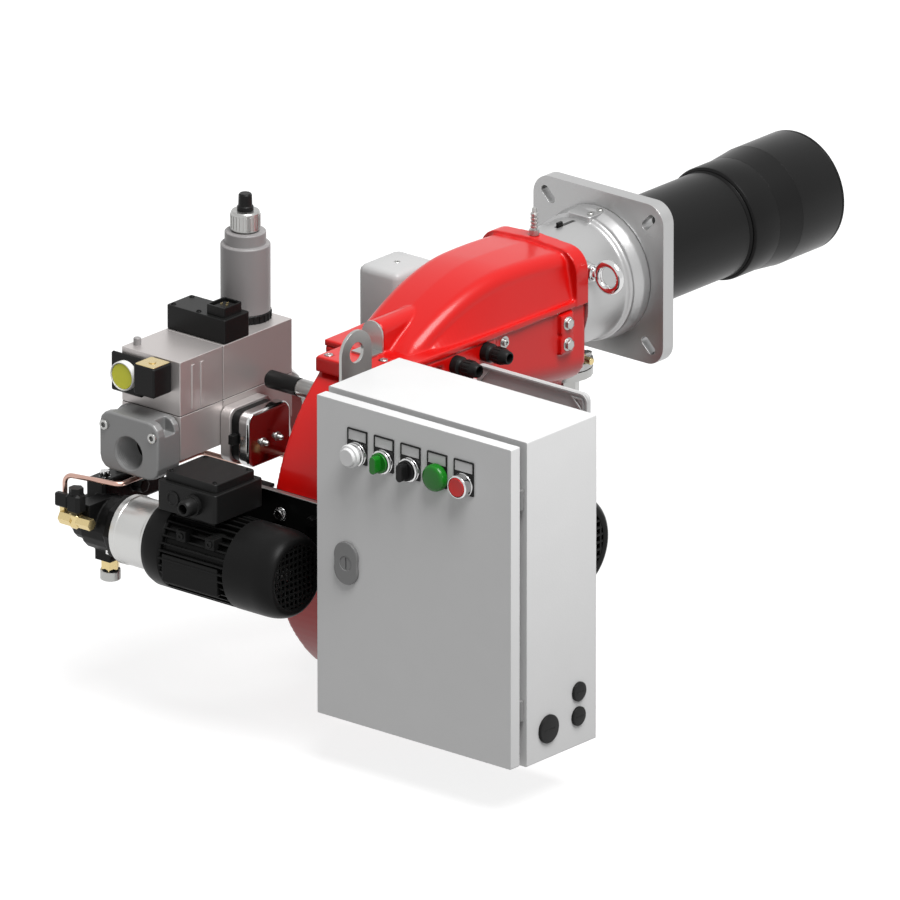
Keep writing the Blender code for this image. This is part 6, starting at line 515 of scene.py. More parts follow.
# Shader node groups shared by the finishes
class Shading:
    """Shader groups and packed-solid shading, made once."""

    def __init__(self) -> None:
        """Builds every shared group."""
        self.tone = self.tone_group()
        self.grain = self.grain_group()
        self.soft = shading_tree()

    def group(self, name: str, inputs: dict[str, str], outputs: dict[str, str]) -> tuple:
        """Empty shader group with named inputs and outputs, and its two end nodes."""
        tree = bpy.data.node_groups.new(name, "ShaderNodeTree")
        for label, kind in inputs.items():
            tree.interface.new_socket(label, in_out="INPUT", socket_type=kind)
        for label, kind in outputs.items():
            tree.interface.new_socket(label, in_out="OUTPUT", socket_type=kind)
        return tree, tree.nodes.new("NodeGroupInput"), tree.nodes.new("NodeGroupOutput")

    def tone_group(self) -> bpy.types.NodeTree:
        """Group that varies a tint and a roughness over the surface."""
        tree, source, sink = self.group(
            "surface_tone",
            {"Vector": "NodeSocketVector", "Tint": "NodeSocketColor", "Spread": "NodeSocketFloat",
             "Roughness": "NodeSocketFloat", "Roughness Spread": "NodeSocketFloat", "Scale": "NodeSocketFloat"},
            {"Color": "NodeSocketColor", "Roughness": "NodeSocketFloat"},
        )
        clouds = tree.nodes.new("ShaderNodeTexNoise")
        clouds.inputs["Detail"].default_value = 5.0
        centred = tree.nodes.new("ShaderNodeMath")
        centred.operation = "SUBTRACT"
        centred.inputs[1].default_value = 0.5
        for_value = tree.nodes.new("ShaderNodeMath")
        for_value.operation = "MULTIPLY_ADD"
        for_value.inputs[2].default_value = 1.0
        tint = tree.nodes.new("ShaderNodeHueSaturation")
        for_rough = tree.nodes.new("ShaderNodeMath")
        for_rough.operation = "MULTIPLY_ADD"
        tree.links.new(source.outputs["Vector"], clouds.inputs["Vector"])
        tree.links.new(source.outputs["Scale"], clouds.inputs["Scale"])
        tree.links.new(clouds.outputs["Fac"], centred.inputs[0])
        tree.links.new(centred.outputs[0], for_value.inputs[0])
        tree.links.new(source.outputs["Spread"], for_value.inputs[1])
        tree.links.new(for_value.outputs[0], tint.inputs["Value"])
        tree.links.new(source.outputs["Tint"], tint.inputs["Color"])
        tree.links.new(centred.outputs[0], for_rough.inputs[0])
        tree.links.new(source.outputs["Roughness Spread"], for_rough.inputs[1])
        tree.links.new(source.outputs["Roughness"], for_rough.inputs[2])
        tree.links.new(tint.outputs["Color"], sink.inputs["Color"])
        tree.links.new(for_rough.outputs[0], sink.inputs["Roughness"])
        return tree

    def grain_group(self) -> bpy.types.NodeTree:
        """Group that gives a height of fine relief, stretched along one direction where the metal is brushed."""
        tree, source, sink = self.group(
            "surface_grain",
            {"Vector": "NodeSocketVector", "Stretch": "NodeSocketVector", "Scale": "NodeSocketFloat",
             "Detail": "NodeSocketFloat"},
            {"Height": "NodeSocketFloat"},
        )
        stretched = tree.nodes.new("ShaderNodeVectorMath")
        stretched.operation = "MULTIPLY"
        relief = tree.nodes.new("ShaderNodeTexNoise")
        tree.links.new(source.outputs["Vector"], stretched.inputs[0])
        tree.links.new(source.outputs["Stretch"], stretched.inputs[1])
        tree.links.new(stretched.outputs[0], relief.inputs["Vector"])
        tree.links.new(source.outputs["Scale"], relief.inputs["Scale"])
        tree.links.new(source.outputs["Detail"], relief.inputs["Detail"])
        tree.links.new(relief.outputs["Fac"], sink.inputs["Height"])
        return tree


SHADING = Shading()
ROWS = row_tree()
RINGS = ring_tree()
GRILLES = grille_tree()


@dataclass(frozen=True)
class Finish:
    """One surface finish, built as a procedural material."""

    name: str
    tint: tuple[float, float, float]
    rough: float
    metal: float = 0.0
    coat: float = 0.0
    grain: Grain = Grain.SMOOTH
    spread: float = 0.05
    rough_spread: float = 0.06
    depth: float = 0.15
    edge: float = 0.0006
    clear: float = 0.0
    shine: float = 0.3

    def relief(self) -> tuple[float, tuple[float, float, float], float]:
        """Scale, stretch and detail of the grain."""
        if self.grain is Grain.POWDER:
            return 420.0, (1.0, 1.0, 1.0), 2.0
        if self.grain is Grain.CAST:
            return 260.0, (1.0, 1.0, 1.0), 6.0
        if self.grain is Grain.BRUSHED:
            return 60.0, (14.0, 1.0, 14.0), 4.0
        return 90.0, (1.0, 1.0, 1.0), 2.0

    def build(self) -> bpy.types.Material:
        """Material with varied tone, fine relief and softened edges."""
        material = bpy.data.materials.new(self.name)
        material.use_nodes = True
        tree = material.node_tree
        shader = tree.nodes["Principled BSDF"]
        place = tree.nodes.new("ShaderNodeTexCoord")
        tone = tree.nodes.new("ShaderNodeGroup")
        tone.node_tree = SHADING.tone
        tone.inputs["Tint"].default_value = (*self.tint, 1.0)
        tone.inputs["Spread"].default_value = self.spread
        tone.inputs["Roughness"].default_value = self.rough
        tone.inputs["Roughness Spread"].default_value = self.rough_spread
        tone.inputs["Scale"].default_value = 22.0
        grain = tree.nodes.new("ShaderNodeGroup")
        grain.node_tree = SHADING.grain
        scale, stretch, detail = self.relief()
        grain.inputs["Scale"].default_value = scale
        grain.inputs["Stretch"].default_value = stretch
        grain.inputs["Detail"].default_value = detail
        bump = tree.nodes.new("ShaderNodeBump")
        bump.inputs["Strength"].default_value = self.depth
        bump.inputs["Distance"].default_value = 0.0004
        for group in (tone, grain):
            tree.links.new(place.outputs["Object"], group.inputs["Vector"])
        tree.links.new(grain.outputs["Height"], bump.inputs["Height"])
        if self.edge > 0.0:
            soft = tree.nodes.new("ShaderNodeBevel")
            soft.samples = 4
            soft.inputs["Radius"].default_value = self.edge
            tree.links.new(soft.outputs["Normal"], bump.inputs["Normal"])
        tree.links.new(tone.outputs["Color"], shader.inputs["Base Color"])
        tree.links.new(tone.outputs["Roughness"], shader.inputs["Roughness"])
        tree.links.new(bump.outputs["Normal"], shader.inputs["Normal"])
        shader.inputs["Metallic"].default_value = self.metal
        shader.inputs["Specular IOR Level"].default_value = self.shine
        shader.inputs["Coat Weight"].default_value = self.coat
        shader.inputs["Coat Roughness"].default_value = 0.05
        shader.inputs["Transmission Weight"].default_value = self.clear
        return material


@dataclass(frozen=True)
class Palette:
    """Every finish on the burner."""

    red: Finish = Finish("red_gloss_paint", (0.54, 0.003, 0.002), 0.30, coat=0.12, depth=0.08, edge=0.0012)
    powder: Finish = Finish("grey_powder_coat", (0.66, 0.66, 0.66), 0.42, grain=Grain.POWDER, depth=0.20, edge=0.0008)
    cast: Finish = Finish("cast_aluminium", (0.44, 0.44, 0.44), 0.34, metal=0.75, grain=Grain.CAST, depth=0.30)
    grey_cast: Finish = Finish("grey_casting", (0.23, 0.23, 0.23), 0.45, metal=0.35, grain=Grain.CAST, depth=0.30)
    valve: Finish = Finish("brushed_valve_aluminium", (0.50, 0.47, 0.46), 0.40, metal=0.65, grain=Grain.BRUSHED, depth=0.12)
    machined: Finish = Finish("machined_aluminium", (0.56, 0.56, 0.55), 0.30, metal=0.9, grain=Grain.BRUSHED, depth=0.12)
    steel: Finish = Finish("zinc_plated_steel", (0.41, 0.41, 0.40), 0.30, metal=0.9, grain=Grain.CAST, depth=0.10)
    chrome: Finish = Finish("bright_chrome", (0.62, 0.62, 0.62), 0.12, metal=1.0, spread=0.02, depth=0.04)
    brass: Finish = Finish("machined_brass", (0.66, 0.53, 0.27), 0.26, metal=0.95, depth=0.08)
    copper: Finish = Finish("copper_pipe", (0.56, 0.36, 0.30), 0.28, metal=0.95, depth=0.08)
    black_paint: Finish = Finish("black_satin_paint", (0.007, 0.007, 0.007), 0.36, depth=0.12, shine=0.09)
    tube_black: Finish = Finish("black_heat_proof_paint", (0.006, 0.006, 0.006), 0.32, depth=0.08, shine=0.13)
    black_cast: Finish = Finish("black_painted_casting", (0.006, 0.006, 0.006), 0.40, grain=Grain.CAST, depth=0.5, shine=0.12)
    black_plastic: Finish = Finish("black_plastic", (0.008, 0.008, 0.008), 0.38, grain=Grain.POWDER, shine=0.14)
    grey_plastic: Finish = Finish("grey_plastic", (0.45, 0.45, 0.45), 0.40, grain=Grain.POWDER, depth=0.12)
    coil_grey: Finish = Finish("dark_grey_plastic", (0.25, 0.24, 0.24), 0.40, grain=Grain.POWDER, depth=0.12)
    box_grey: Finish = Finish("mid_grey_plastic", (0.50, 0.50, 0.50), 0.36, depth=0.08)
    lock_grey: Finish = Finish("lock_grey_plastic", (0.20, 0.20, 0.20), 0.36, depth=0.10)
    label: Finish = Finish("blank_label_card", (0.52, 0.52, 0.52), 0.30, depth=0.05)
    white_lens: Finish = Finish("white_lens", (0.80, 0.80, 0.80), 0.18, depth=0.04, clear=0.15)
    green: Finish = Finish("green_plastic", (0.006, 0.16, 0.008), 0.24, depth=0.05)
    red_plastic: Finish = Finish("red_plastic", (0.60, 0.016, 0.014), 0.24, depth=0.05)
    dial: Finish = Finish("yellow_dial", (0.72, 0.72, 0.05), 0.34, depth=0.04)
    white_plastic: Finish = Finish("white_plastic", (0.75, 0.75, 0.73), 0.34, depth=0.05)
    ceramic: Finish = Finish("white_ceramic", (0.78, 0.76, 0.72), 0.22, depth=0.05)
    heated: Finish = Finish("heat_tinted_steel", (0.42, 0.38, 0.34), 0.36, metal=0.9, spread=0.25, depth=0.12)


class Workshop:
    """Builds finishes once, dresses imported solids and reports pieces."""

    def __init__(self) -> None:
        """Starts with no finish built."""
        self.built: dict[str, bpy.types.Material] = {}

    def of(self, finish: Finish) -> bpy.types.Material:
        """Material of a finish, built on first use."""
        if finish.name not in self.built:
            self.built[finish.name] = finish.build()
        return self.built[finish.name]

    def dress(self, finish: Finish, *nodes: str) -> None:
        """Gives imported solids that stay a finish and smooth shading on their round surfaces."""
        material = self.of(finish)
        for node in nodes:
            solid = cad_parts[node]
            solid.data.materials.clear()
            solid.data.materials.append(material)
            modifier = solid.modifiers.new("soft_shading", "NODES")
            modifier.node_group = SHADING.soft.tree
            sockets = {item.name: item.identifier for item in SHADING.soft.tree.interface.items_tree if item.in_out == "INPUT"}
            modifier[sockets["Angle"]] = SMOOTH_ANGLE
            LOG.info("solid %s dressed in %s", node, finish.name)

    def mount(self, piece: bpy.types.Object, body: str, *nodes: str) -> bpy.types.Object:
        """Rides a piece on a body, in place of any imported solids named."""
        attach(piece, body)
        if nodes:
            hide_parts(*nodes)
        LOG.info("piece %s on %s, %d faces", piece.name, body, len(piece.data.polygons))
        return piece

    def item(self, draft: Draft, edge: float = 0.0) -> bpy.types.Object:
        """Small object to be repeated by a tree, removed afterwards."""
        return draft.finish("item", self.of(Palette.steel), edge)

    def rows(
        self, name: str, draft: Draft, points: list[Point], direction: Vector, finish: Finish, edge: float = 0.0
    ) -> bpy.types.Object:
        """Copies of a small item on points, standing along a direction, as one piece."""
        item = self.item(draft, edge)
        base = bpy.data.meshes.new(name)
        base.from_pydata(points, [], [])
        piece = ROWS.build(name, base, {"Item": item, "Direction": direction, "Size": 1.0}, self.of(finish))
        bpy.data.objects.remove(item, do_unlink=True)
        return piece

    def ring(
        self, name: str, draft: Draft, count: int, radius: float, place: Point, axis: Axis, finish: Finish, edge: float = 0.0
    ) -> bpy.types.Object:
        """Copies of a small item round a ring about an axis, as one piece."""
        item = self.item(draft, edge)
        piece = RINGS.build(name, bpy.data.meshes.new(name), {
            "Item": item, "Count": count, "Radius": radius, "Place": place, "Turn": axis.turn().to_euler(),
        }, self.of(finish))
        bpy.data.objects.remove(item, do_unlink=True)
        return piece


def hex_head(radius: float, height: float, washer: float = 0.0) -> Draft:
    """Hexagon head with a domed top and an optional washer, standing on Z."""
    draft = Draft().lathe(Axis.Z, (0.0, 0.0, 0.0), [(0.0, 0.0), (0.0, radius), (height, radius), (height, 0.0)], 6)
    draft.lathe(Axis.Z, (0.0, 0.0, 0.0), [(0.0, 0.0), (height - 0.0001, radius * 0.80), (height + 0.0004, radius * 0.66), (height + 0.0004, 0.0)], SMALL_SIDES)
    if washer > 0.0:
        draft.lathe(Axis.Z, (0.0, 0.0, 0.0), [(0.0, 0.0), (0.0, washer), (0.0008, washer), (0.0008, 0.0)], SMALL_SIDES)
    return draft


def socket_head(radius: float, height: float, washer: float = 0.0) -> Draft:
    """Round head with a hexagon socket and an optional washer, standing on Z."""
    hole = radius * 0.52
    draft = Draft().lathe(Axis.Z, (0.0, 0.0, 0.0), [(0.0, 0.0), (0.0, radius), (height - 0.0005, radius), (height, radius - 0.0005), (height, hole), (height * 0.4, hole), (height * 0.4, 0.0)], 24)
    if washer > 0.0:
        draft.lathe(Axis.Z, (0.0, 0.0, 0.0), [(0.0, 0.0), (0.0, washer), (0.0008, washer), (0.0008, 0.0)], SMALL_SIDES)
    return draft


def slotted_head(radius: float, height: float) -> Draft:
    """Round head with a raised rim and a cross bar, standing on Z."""
    rim = [(0.0, 0.0), (0.0, radius), (height - 0.0006, radius), (height, radius - 0.0006), (height, radius * 0.78), (height - 0.0012, radius * 0.74), (height - 0.0012, 0.0)]
    draft = Draft().lathe(Axis.Z, (0.0, 0.0, 0.0), rim, SMALL_SIDES)
    bar = radius * 0.10
    return draft.block((-radius * 0.60, radius * 0.60), (-bar, bar), (0.0, height - 0.0002))


@dataclass
class CombustionHead:
    """Boiler flange, cast collar, eyebolt, blast tube and what slides inside it."""

    shop: Workshop
    side: float = 0.200
    thick: float = 0.019
    corner: float = 0.025
    slot_place: float = 0.077
    tube_bore: float = 0.0653
    collar_rear: float = -0.125
    collar_front: float = -0.0193
    collar_bore: float = 0.067
    foot_radius: float = 0.081
    barrel_radius: float = 0.074
    neck_y: float = -0.085
    pad_top: float = 0.0795
    eye: Point = (0.096, -0.114, 0.039)

    def flange(self) -> None:
        """Square plate with four slots along its diagonals."""
        half = self.side / 2.0
        loops = [rounded_rectangle((-half, half), (-half, half), self.corner, 12), circle(0.0, 0.0, self.tube_bore, 96)]
        for sx in (-1.0, 1.0):
            for sz in (-1.0, 1.0):
                loops.append(slot(sx * self.slot_place, sz * self.slot_place, 0.024, 0.011, 45.0 * sx * sz))
        piece = Draft().prism(Axis.Y, -self.thick, 0.0, loops).finish("flange_plate", self.shop.of(Palette.cast), 0.0024, 4)
        self.shop.mount(piece, "burner", "boiler_flange")

    def collar(self) -> None:
        """Cast collar with its pad, gas neck, rim and eyebolt boss."""
        front, rear = self.collar_front, self.collar_rear
        draft = Draft().lathe(Axis.Y, (0.0, 0.0, 0.0), [
            (front, 0.0), (front, self.foot_radius), (front - 0.012, self.foot_radius),
            (front - 0.0265, 0.0772), (front - 0.0285, 0.0784), (front - 0.0315, 0.0784), (front - 0.0335, 0.0766),
            (front - 0.0350, self.barrel_radius), (rear, self.barrel_radius), (rear, 0.0),
        ], 96)
        draft.lathe(Axis.Z, (0.0, self.neck_y, 0.0), [(-0.098, 0.0), (-0.098, 0.024), (-0.060, 0.024), (-0.060, 0.0)])
        draft.lathe(Axis.Z, (0.0, self.neck_y, 0.0), [(-0.100, 0.0), (-0.100, 0.037), (-0.090, 0.037), (-0.090, 0.0)])
        draft.lathe(Axis.X, (0.0, self.eye[1], self.eye[2]), [(0.050, 0.0), (0.050, 0.0106), (0.0697, 0.0106), (0.0697, 0.0)])
        bore = Draft().lathe(Axis.Y, (0.0, 0.0, 0.0), [
            (front + 0.010, 0.0), (front + 0.010, self.tube_bore), (front - 0.0306, self.tube_bore),
            (front - 0.0326, self.collar_bore), (rear - 0.010, self.collar_bore), (rear - 0.010, 0.0),
        ], 96)
        gas_way = Draft().lathe(Axis.Z, (0.0, self.neck_y, 0.0), [(-0.110, 0.0), (-0.110, 0.018), (0.0, 0.018), (0.0, 0.0)])
        pointer = Draft().block((-0.003, 0.003), (-0.097, -0.063), (0.055, 0.090))
        pad = Draft().block((-0.018, 0.018), (front - 0.0375, front - 0.0005), (0.058, self.pad_top), 0.005)
        self.shop.mount(pad.finish("collar_pad", self.shop.of(Palette.cast), 0.0012, 3), "burner")
        shank = Draft().lathe(Axis.X, (0.0, self.eye[1], self.eye[2]), [(0.040, 0.0), (0.040, 0.0063), (0.080, 0.0063), (0.080, 0.0)])
        piece = draft.casting("collar_casting", self.shop.of(Palette.cast), 0.0013, 6, (bore, gas_way, pointer, shank))
        self.shop.mount(piece, "burner", "head_collar")
        hub = Draft().lathe(Axis.Y, (0.0, 0.0, 0.0), [(-0.111, 0.0246), (-0.111, 0.030), (-0.059, 0.030), (-0.059, 0.0246)], 48, True)
        for sx in (-1.0, 1.0):
            hub.block(tuple(sorted((sx * 0.029, sx * 0.0668))), (-0.111, -0.103), (-0.004, 0.004))
        self.shop.mount(hub.finish("collar_hub", self.shop.of(Palette.cast), 0.0006), "burner")

    def fasteners(self) -> None:
        """Pad screws, neck bolts and the gas test nipple."""
        front = self.collar_front
        pad = [(0.011, front - 0.036 * share, self.pad_top - 0.0004) for share in (0.28, 0.75)]
        self.shop.mount(self.shop.rows("pad_screws", socket_head(0.0042, 0.0026), pad, Axis.Z.vector(), Palette.steel), "burner")
        ring = [math.radians(angle) for angle in (45.0, 135.0, 225.0, 315.0)]
        bolts = [(0.029 * math.cos(a), self.neck_y + 0.029 * math.sin(a), -0.0902) for a in ring]
        self.shop.mount(self.shop.rows("neck_bolts", hex_head(0.0068, 0.0052), bolts, Axis.Z.vector(), Palette.steel, 0.0003), "burner")
        nipple = Draft().lathe(Axis.X, (0.0, self.neck_y, -0.086), [(0.022, 0.0), (0.022, 0.0062), (0.032, 0.0062), (0.032, 0.0044), (0.0455, 0.0044), (0.0462, 0.0034), (0.0462, 0.0)], 24)
        self.shop.mount(nipple.finish("gas_test_nipple", self.shop.of(Palette.brass), 0.0003), "burner")

    def eyebolt(self) -> None:
        """Chromed lifting eye with its shoulder and shank."""
        x, y, z = self.eye
        draft = Draft().torus(self.eye, 0.0165, 0.0048)
        profile = [(0.053, 0.0), (0.053, 0.006), (0.070, 0.006), (0.070, 0.0098), (0.0745, 0.0098), (0.0752, 0.0066), (0.0790, 0.0058), (0.0820, 0.0)]
        draft.lathe(Axis.X, (0.0, y, z), profile, 40)
        self.shop.mount(draft.finish("lifting_eye", self.shop.of(Palette.chrome), 0.0003), "burner", "eyebolt")

    def tube(self) -> None:
        """Stepped blast tube with its groove, shoulder and rolled mouth."""
        barrel = [
            (-0.0493, 0.0650), (0.1835, 0.0650), (0.1850, 0.0628), (0.1880, 0.0628), (0.1890, 0.0660), (0.1915, 0.0692),
            (0.1940, 0.0698), (0.2350, 0.0698), (0.2350, 0.0668), (0.1900, 0.0668), (0.1850, 0.0620), (-0.0493, 0.0620),
        ]
        cone = [(0.2350, 0.0699), (0.2730, 0.0737), (0.2730, 0.0707), (0.2350, 0.0669)]
        mouth = [
            (0.2730, 0.0738), (0.3440, 0.0738), (0.3456, 0.0736), (0.3462, 0.0730), (0.3468, 0.0736), (0.3494, 0.0738),
            (0.3500, 0.0732), (0.3500, 0.0716), (0.3440, 0.0708), (0.2730, 0.0708),
        ]
        draft = Draft()
        for section in (barrel, cone, mouth):
            draft.lathe(Axis.Y, (0.0, 0.0, 0.0), section, 144, True)
        piece = draft.finish("tube_shell", self.shop.of(Palette.tube_black))
        self.shop.mount(piece, "burner", "blast_tube")

    def build(self) -> None:
        """Makes the head's pieces in order."""
        self.flange()
        self.collar()
        self.fasteners()
        self.eyebolt()
        self.tube()
        self.shop.dress(Palette.heated, "gas_distributor", "diffuser_disc")
        self.shop.dress(Palette.brass, "oil_lance")
        self.shop.dress(Palette.ceramic, "ignition_electrodes")
        self.shop.dress(Palette.black_plastic, "head_pointer")


@dataclass
class FanHousing:
    """Cast volute and duct, top cover, lifting lug, intake, damper drive and fan wheel."""

    shop: Workshop
    front: float = -0.1253
    duct_rear: float = -0.412
    parting: float = 0.005
    half_width: float = 0.042
    fan_y: float = -0.329
    fan_z: float = -0.206
    cover_rear: float = -0.417
    crest_y: float = -0.245
    bore: float = 0.063
    intake_rear: float = -0.431
    intake_x: Flat = (-0.1123, -0.0423)

    def volute(self, inset: float, steps: int = 96) -> list[Flat]:
        """Spiral outline from the tongue at the front, under the fan and up at the rear."""
        points = []
        for i in range(steps + 1):
            turn = 2.0 * math.pi * 0.80 * i / steps
            radius = 0.194 + 0.020 * turn / (math.pi / 2.0) - inset
            points.append((self.fan_y + radius * math.cos(turn), self.fan_z - radius * math.sin(turn)))
        top = self.parting + 0.030
        return points + [(points[-1][0] + 0.02, top), (self.fan_y + 0.194 - inset, top)]

    def duct(self, y: float, inset: float, top: float) -> list[Point]:
        """Upright U section of the duct at one station."""
        half = 0.070 - 0.008 * along(y, self.front, self.duct_rear) - inset
        bottom = -0.097 + 0.045 * along(y, self.front, self.duct_rear, 1.5) + inset
        corner = 0.036 - inset
        points = [(half, top), (-half, top)]
        points += arc(-half + corner, bottom + corner, corner, 180.0, 270.0)
        points += arc(half - corner, bottom + corner, corner, 270.0, 360.0)
        return [(x, y, z) for x, z in points]

    def hood(self, y: float, half: float, base: float, top: float, corner: float, shoulder: float) -> list[Point]:
        """Hood section of the cover at one station, with sides that lean in to the shoulders."""
        crown = min(0.04 * shoulder, 0.2 * (top - base))
        corner = min(corner, shoulder - 0.001, top - base - crown - 0.001)
        points = [(-half, base), (half, base)]
        points += arc(shoulder - corner, top - crown - corner, corner, 0.0, 90.0)
        points += [(0.0, top)]
        points += arc(-shoulder + corner, top - crown - corner, corner, 90.0, 180.0)
        return [(x, y, z) for x, z in points]

    def cover_height(self, y: float) -> float:
        """Height of the cover's crown."""
        rise = math.sin(math.pi / 2.0 * along(y, self.front, self.crest_y))
        return 0.070 + 0.007 * rise - 0.061 * along(y, self.crest_y, self.cover_rear, 1.9)

    def hood_at(self, y: float, inset: float, base: float) -> list[Point]:
        """Hood section of the cover's outer or inner line at one station."""
        share = along(y, self.front, self.cover_rear)
        half = 0.071 - 0.008 * share - inset
        shoulder = 0.062 - 0.014 * share - inset
        return self.hood(y, half, base, self.cover_height(y) - inset, 0.018 - inset, shoulder)

    def stations(self, front: float, rear: float, count: int = 44) -> list[float]:
        """Stations along the cover."""
        return [front + (rear - front) * i / count for i in range(count + 1)]

    def mouth(self) -> Draft:
        """Round way through the front wall into the collar."""
        return Draft().lathe(Axis.Y, (0.0, 0.0, 0.0), [(-0.1553, 0.0), (-0.1553, self.bore), (-0.0953, self.bore), (-0.0953, 0.0)])

    def lower_casting(self) -> None:
        """Volute and duct with its bosses, pads and rims."""
        half = self.half_width
        draft = Draft().prism(Axis.X, -half, half, [self.volute(0.0)])
        draft.loft([self.duct(y, 0.0, 0.015) for y in self.stations(self.front, self.duct_rear, 12)])
        draft.block((0.040, 0.068), (-0.382, -0.287), (-0.024, 0.0055))
        draft.block((0.040, 0.068), (-0.382, -0.287), (-0.058, -0.034))
        draft.block((0.040, 0.062), (-0.376, -0.370), (-0.040, -0.020))
        for side in (-1.0, 1.0):
            for z in (-0.009, -0.035):
                draft.block(tuple(sorted((side * 0.064, side * 0.076))), (-0.1765, -0.1535), (z - 0.0115, z + 0.0115))
            y = -0.2605 + side * 0.022
            draft.block((-0.0747, -0.052), (y - 0.007, y + 0.007), (-0.032, -0.008))
        draft.block((-0.030, 0.030), (-0.5636, -0.5436), (-0.218, -0.136))
        draft.block((-0.0676, 0.0676), (-0.4380, -0.3800), (-0.0045, 0.0060), 0.004)
        wall = 0.005
        inner = Draft().prism(Axis.X, -half + wall, half - wall, [self.volute(wall)])
        inner_duct = Draft().loft([self.duct(y, wall, 0.030) for y in self.stations(self.front - wall - 0.003, self.duct_rear + wall, 12)])
        top = Draft().block((-0.2, 0.2), (-0.70, 0.10), (self.parting, 0.30))
        fan_eye = Draft().lathe(Axis.X, (0.0, self.fan_y, self.fan_z), [(-0.060, 0.0), (-0.060, 0.124), (0.0, 0.124), (0.0, 0.0)], 96)
        motor_eye = Draft().lathe(Axis.X, (0.0, self.fan_y, self.fan_z), [(0.0, 0.0), (0.0, 0.013), (0.060, 0.013), (0.060, 0.0)], 32)
        piece = draft.casting(
            "volute_casting", self.shop.of(Palette.red), 0.0022, 5, (inner, inner_duct, self.mouth(), top, fan_eye, motor_eye)
        )
        self.shop.mount(piece, "burner", "fan_housing")

    def upper_casting(self) -> None:
        """Top cover with its arched frame, skirt rim, sight tunnel and rear plate."""
        base = self.parting + 0.0003
        draft = Draft().loft([self.hood_at(y, 0.0, base) for y in self.stations(-0.1363, self.cover_rear)])
        frame_y = (self.front - 0.022, self.front)
        draft.loft([self.hood(y, 0.0745, base, 0.076, 0.028, 0.0745) for y in frame_y])
        rim = [
            [(-w, y, base), (w, y, base), (w, y, base + 0.008), (-w, y, base + 0.008)]
            for y, w in ((-0.1363, 0.0740), (-0.4380, 0.0676))
        ]
        draft.loft(rim)
        tunnel = ((-0.325, 0.0155), (-0.428, 0.0175))
        draft.loft([self.hood(y, half, base, 0.0495, 0.0155, 0.0155) for y, half in tunnel])
        draft.block((-0.041, 0.041), (-0.485, -0.405), (base, 0.012), 0.006)
        draft.block((-0.041, 0.041), (-0.485, -0.4650), (-0.007, 0.010))
        inner = Draft().loft([self.hood_at(y, 0.004, base - 0.010) for y in self.stations(self.front - 0.008, self.cover_rear + 0.030, 30)])
        sight = Draft().lathe(Axis.Y, (0.0, 0.0, 0.034), [(-0.438, 0.0), (-0.438, 0.009), (-0.325, 0.009), (-0.325, 0.0)], 32)
        floor = Draft().block((-0.2, 0.2), (-0.4640, 0.10), (-0.30, base))
        piece = draft.casting("cover_casting", self.shop.of(Palette.red), 0.0014, 6, (inner, self.mouth(), sight, floor))
        self.shop.mount(piece, "burner", "top_cover")

    def fasteners(self) -> None:
        """Hexagon bolts on the side pads, cover screws and lug bolts."""
        bolts = {side: [(side * 0.0758, -0.165, z) for z in (-0.009, -0.035)] for side in (-1.0, 1.0)}
        for side, label in ((-1.0, "left"), (1.0, "right")):
            piece = self.shop.rows(f"duct_bolts_{label}", hex_head(0.0066, 0.0050, 0.0082), bolts[side], Axis.X.vector() * side, Palette.steel, 0.0003)
            self.shop.mount(piece, "burner")
        screws = [(-0.030, -0.473, 0.0112), (0.030, -0.445, 0.0112)]
        self.shop.mount(self.shop.rows("cover_screws", socket_head(0.0048, 0.0020, 0.0066), screws, Axis.Z.vector(), Palette.steel), "burner")
        lug = [(0.0511, -0.505, z) for z in (-0.035, -0.095)]
        self.shop.mount(self.shop.rows("lug_bolts", hex_head(0.0078, 0.0052), lug, Axis.X.vector(), Palette.steel, 0.0003), "burner")
        shell = [(0.0657, -0.2692, -0.0063)]
        self.shop.mount(self.shop.rows("duct_screw", socket_head(0.0046, 0.0040, 0.0076), shell, Axis.X.vector(), Palette.steel), "burner")

    def tap(self) -> None:
        """Ribbed pressure nipple on the front frame."""
        profile = [(0.0763, 0.0), (0.0763, 0.0060), (0.0830, 0.0060), (0.0832, 0.0034)]
        for z in (0.0875, 0.0925, 0.0975, 0.1025):
            profile += [(z - 0.0028, 0.0030), (z - 0.0020, 0.0046), (z + 0.0006, 0.0046), (z + 0.0016, 0.0030)]
        profile += [(0.1085, 0.0028), (0.1100, 0.0020), (0.1100, 0.0)]
        piece = Draft().lathe(Axis.Z, (0.0, -0.1363, 0.0), profile, 32).finish("pressure_nipple", self.shop.of(Palette.steel))
        self.shop.mount(piece, "burner", "pressure_tap")

    def intake(self) -> None:
        """Air intake box with its rear wall at the volute's round, so that it stays inside the spiral's outline."""
        draft = Draft().copy_of("air_intake")
        everything = list(draft.mesh.verts) + list(draft.mesh.edges) + list(draft.mesh.faces)
        rear = self.intake_rear
        bmesh.ops.bisect_plane(draft.mesh, geom=everything, plane_co=(0.0, rear, 0.0), plane_no=(0.0, -1.0, 0.0), clear_outer=True)
        draft.block(self.intake_x, (rear - 0.0015, rear + 0.0015), (-0.355, -0.140))
        self.shop.mount(draft.finish("intake_box", self.shop.of(Palette.red)), "burner", "air_intake")

    def build(self) -> None:
        """Makes the housing's pieces in order."""
        self.lower_casting()
        self.upper_casting()
        self.fasteners()
        self.tap()
        self.intake()
        self.shop.dress(Palette.steel, "lifting_lug", "sight_port_plate", "air_damper", "servo_crank", "damper_link_rod", "fan_impeller")
        self.shop.dress(Palette.grey_plastic, "damper_servo")
        screw = self.shop.rows("servo_screw", socket_head(0.0036, 0.0020), [(-0.106, -0.2605, 0.0502)], Axis.Z.vector(), Palette.steel)
        self.shop.mount(screw, "burner")


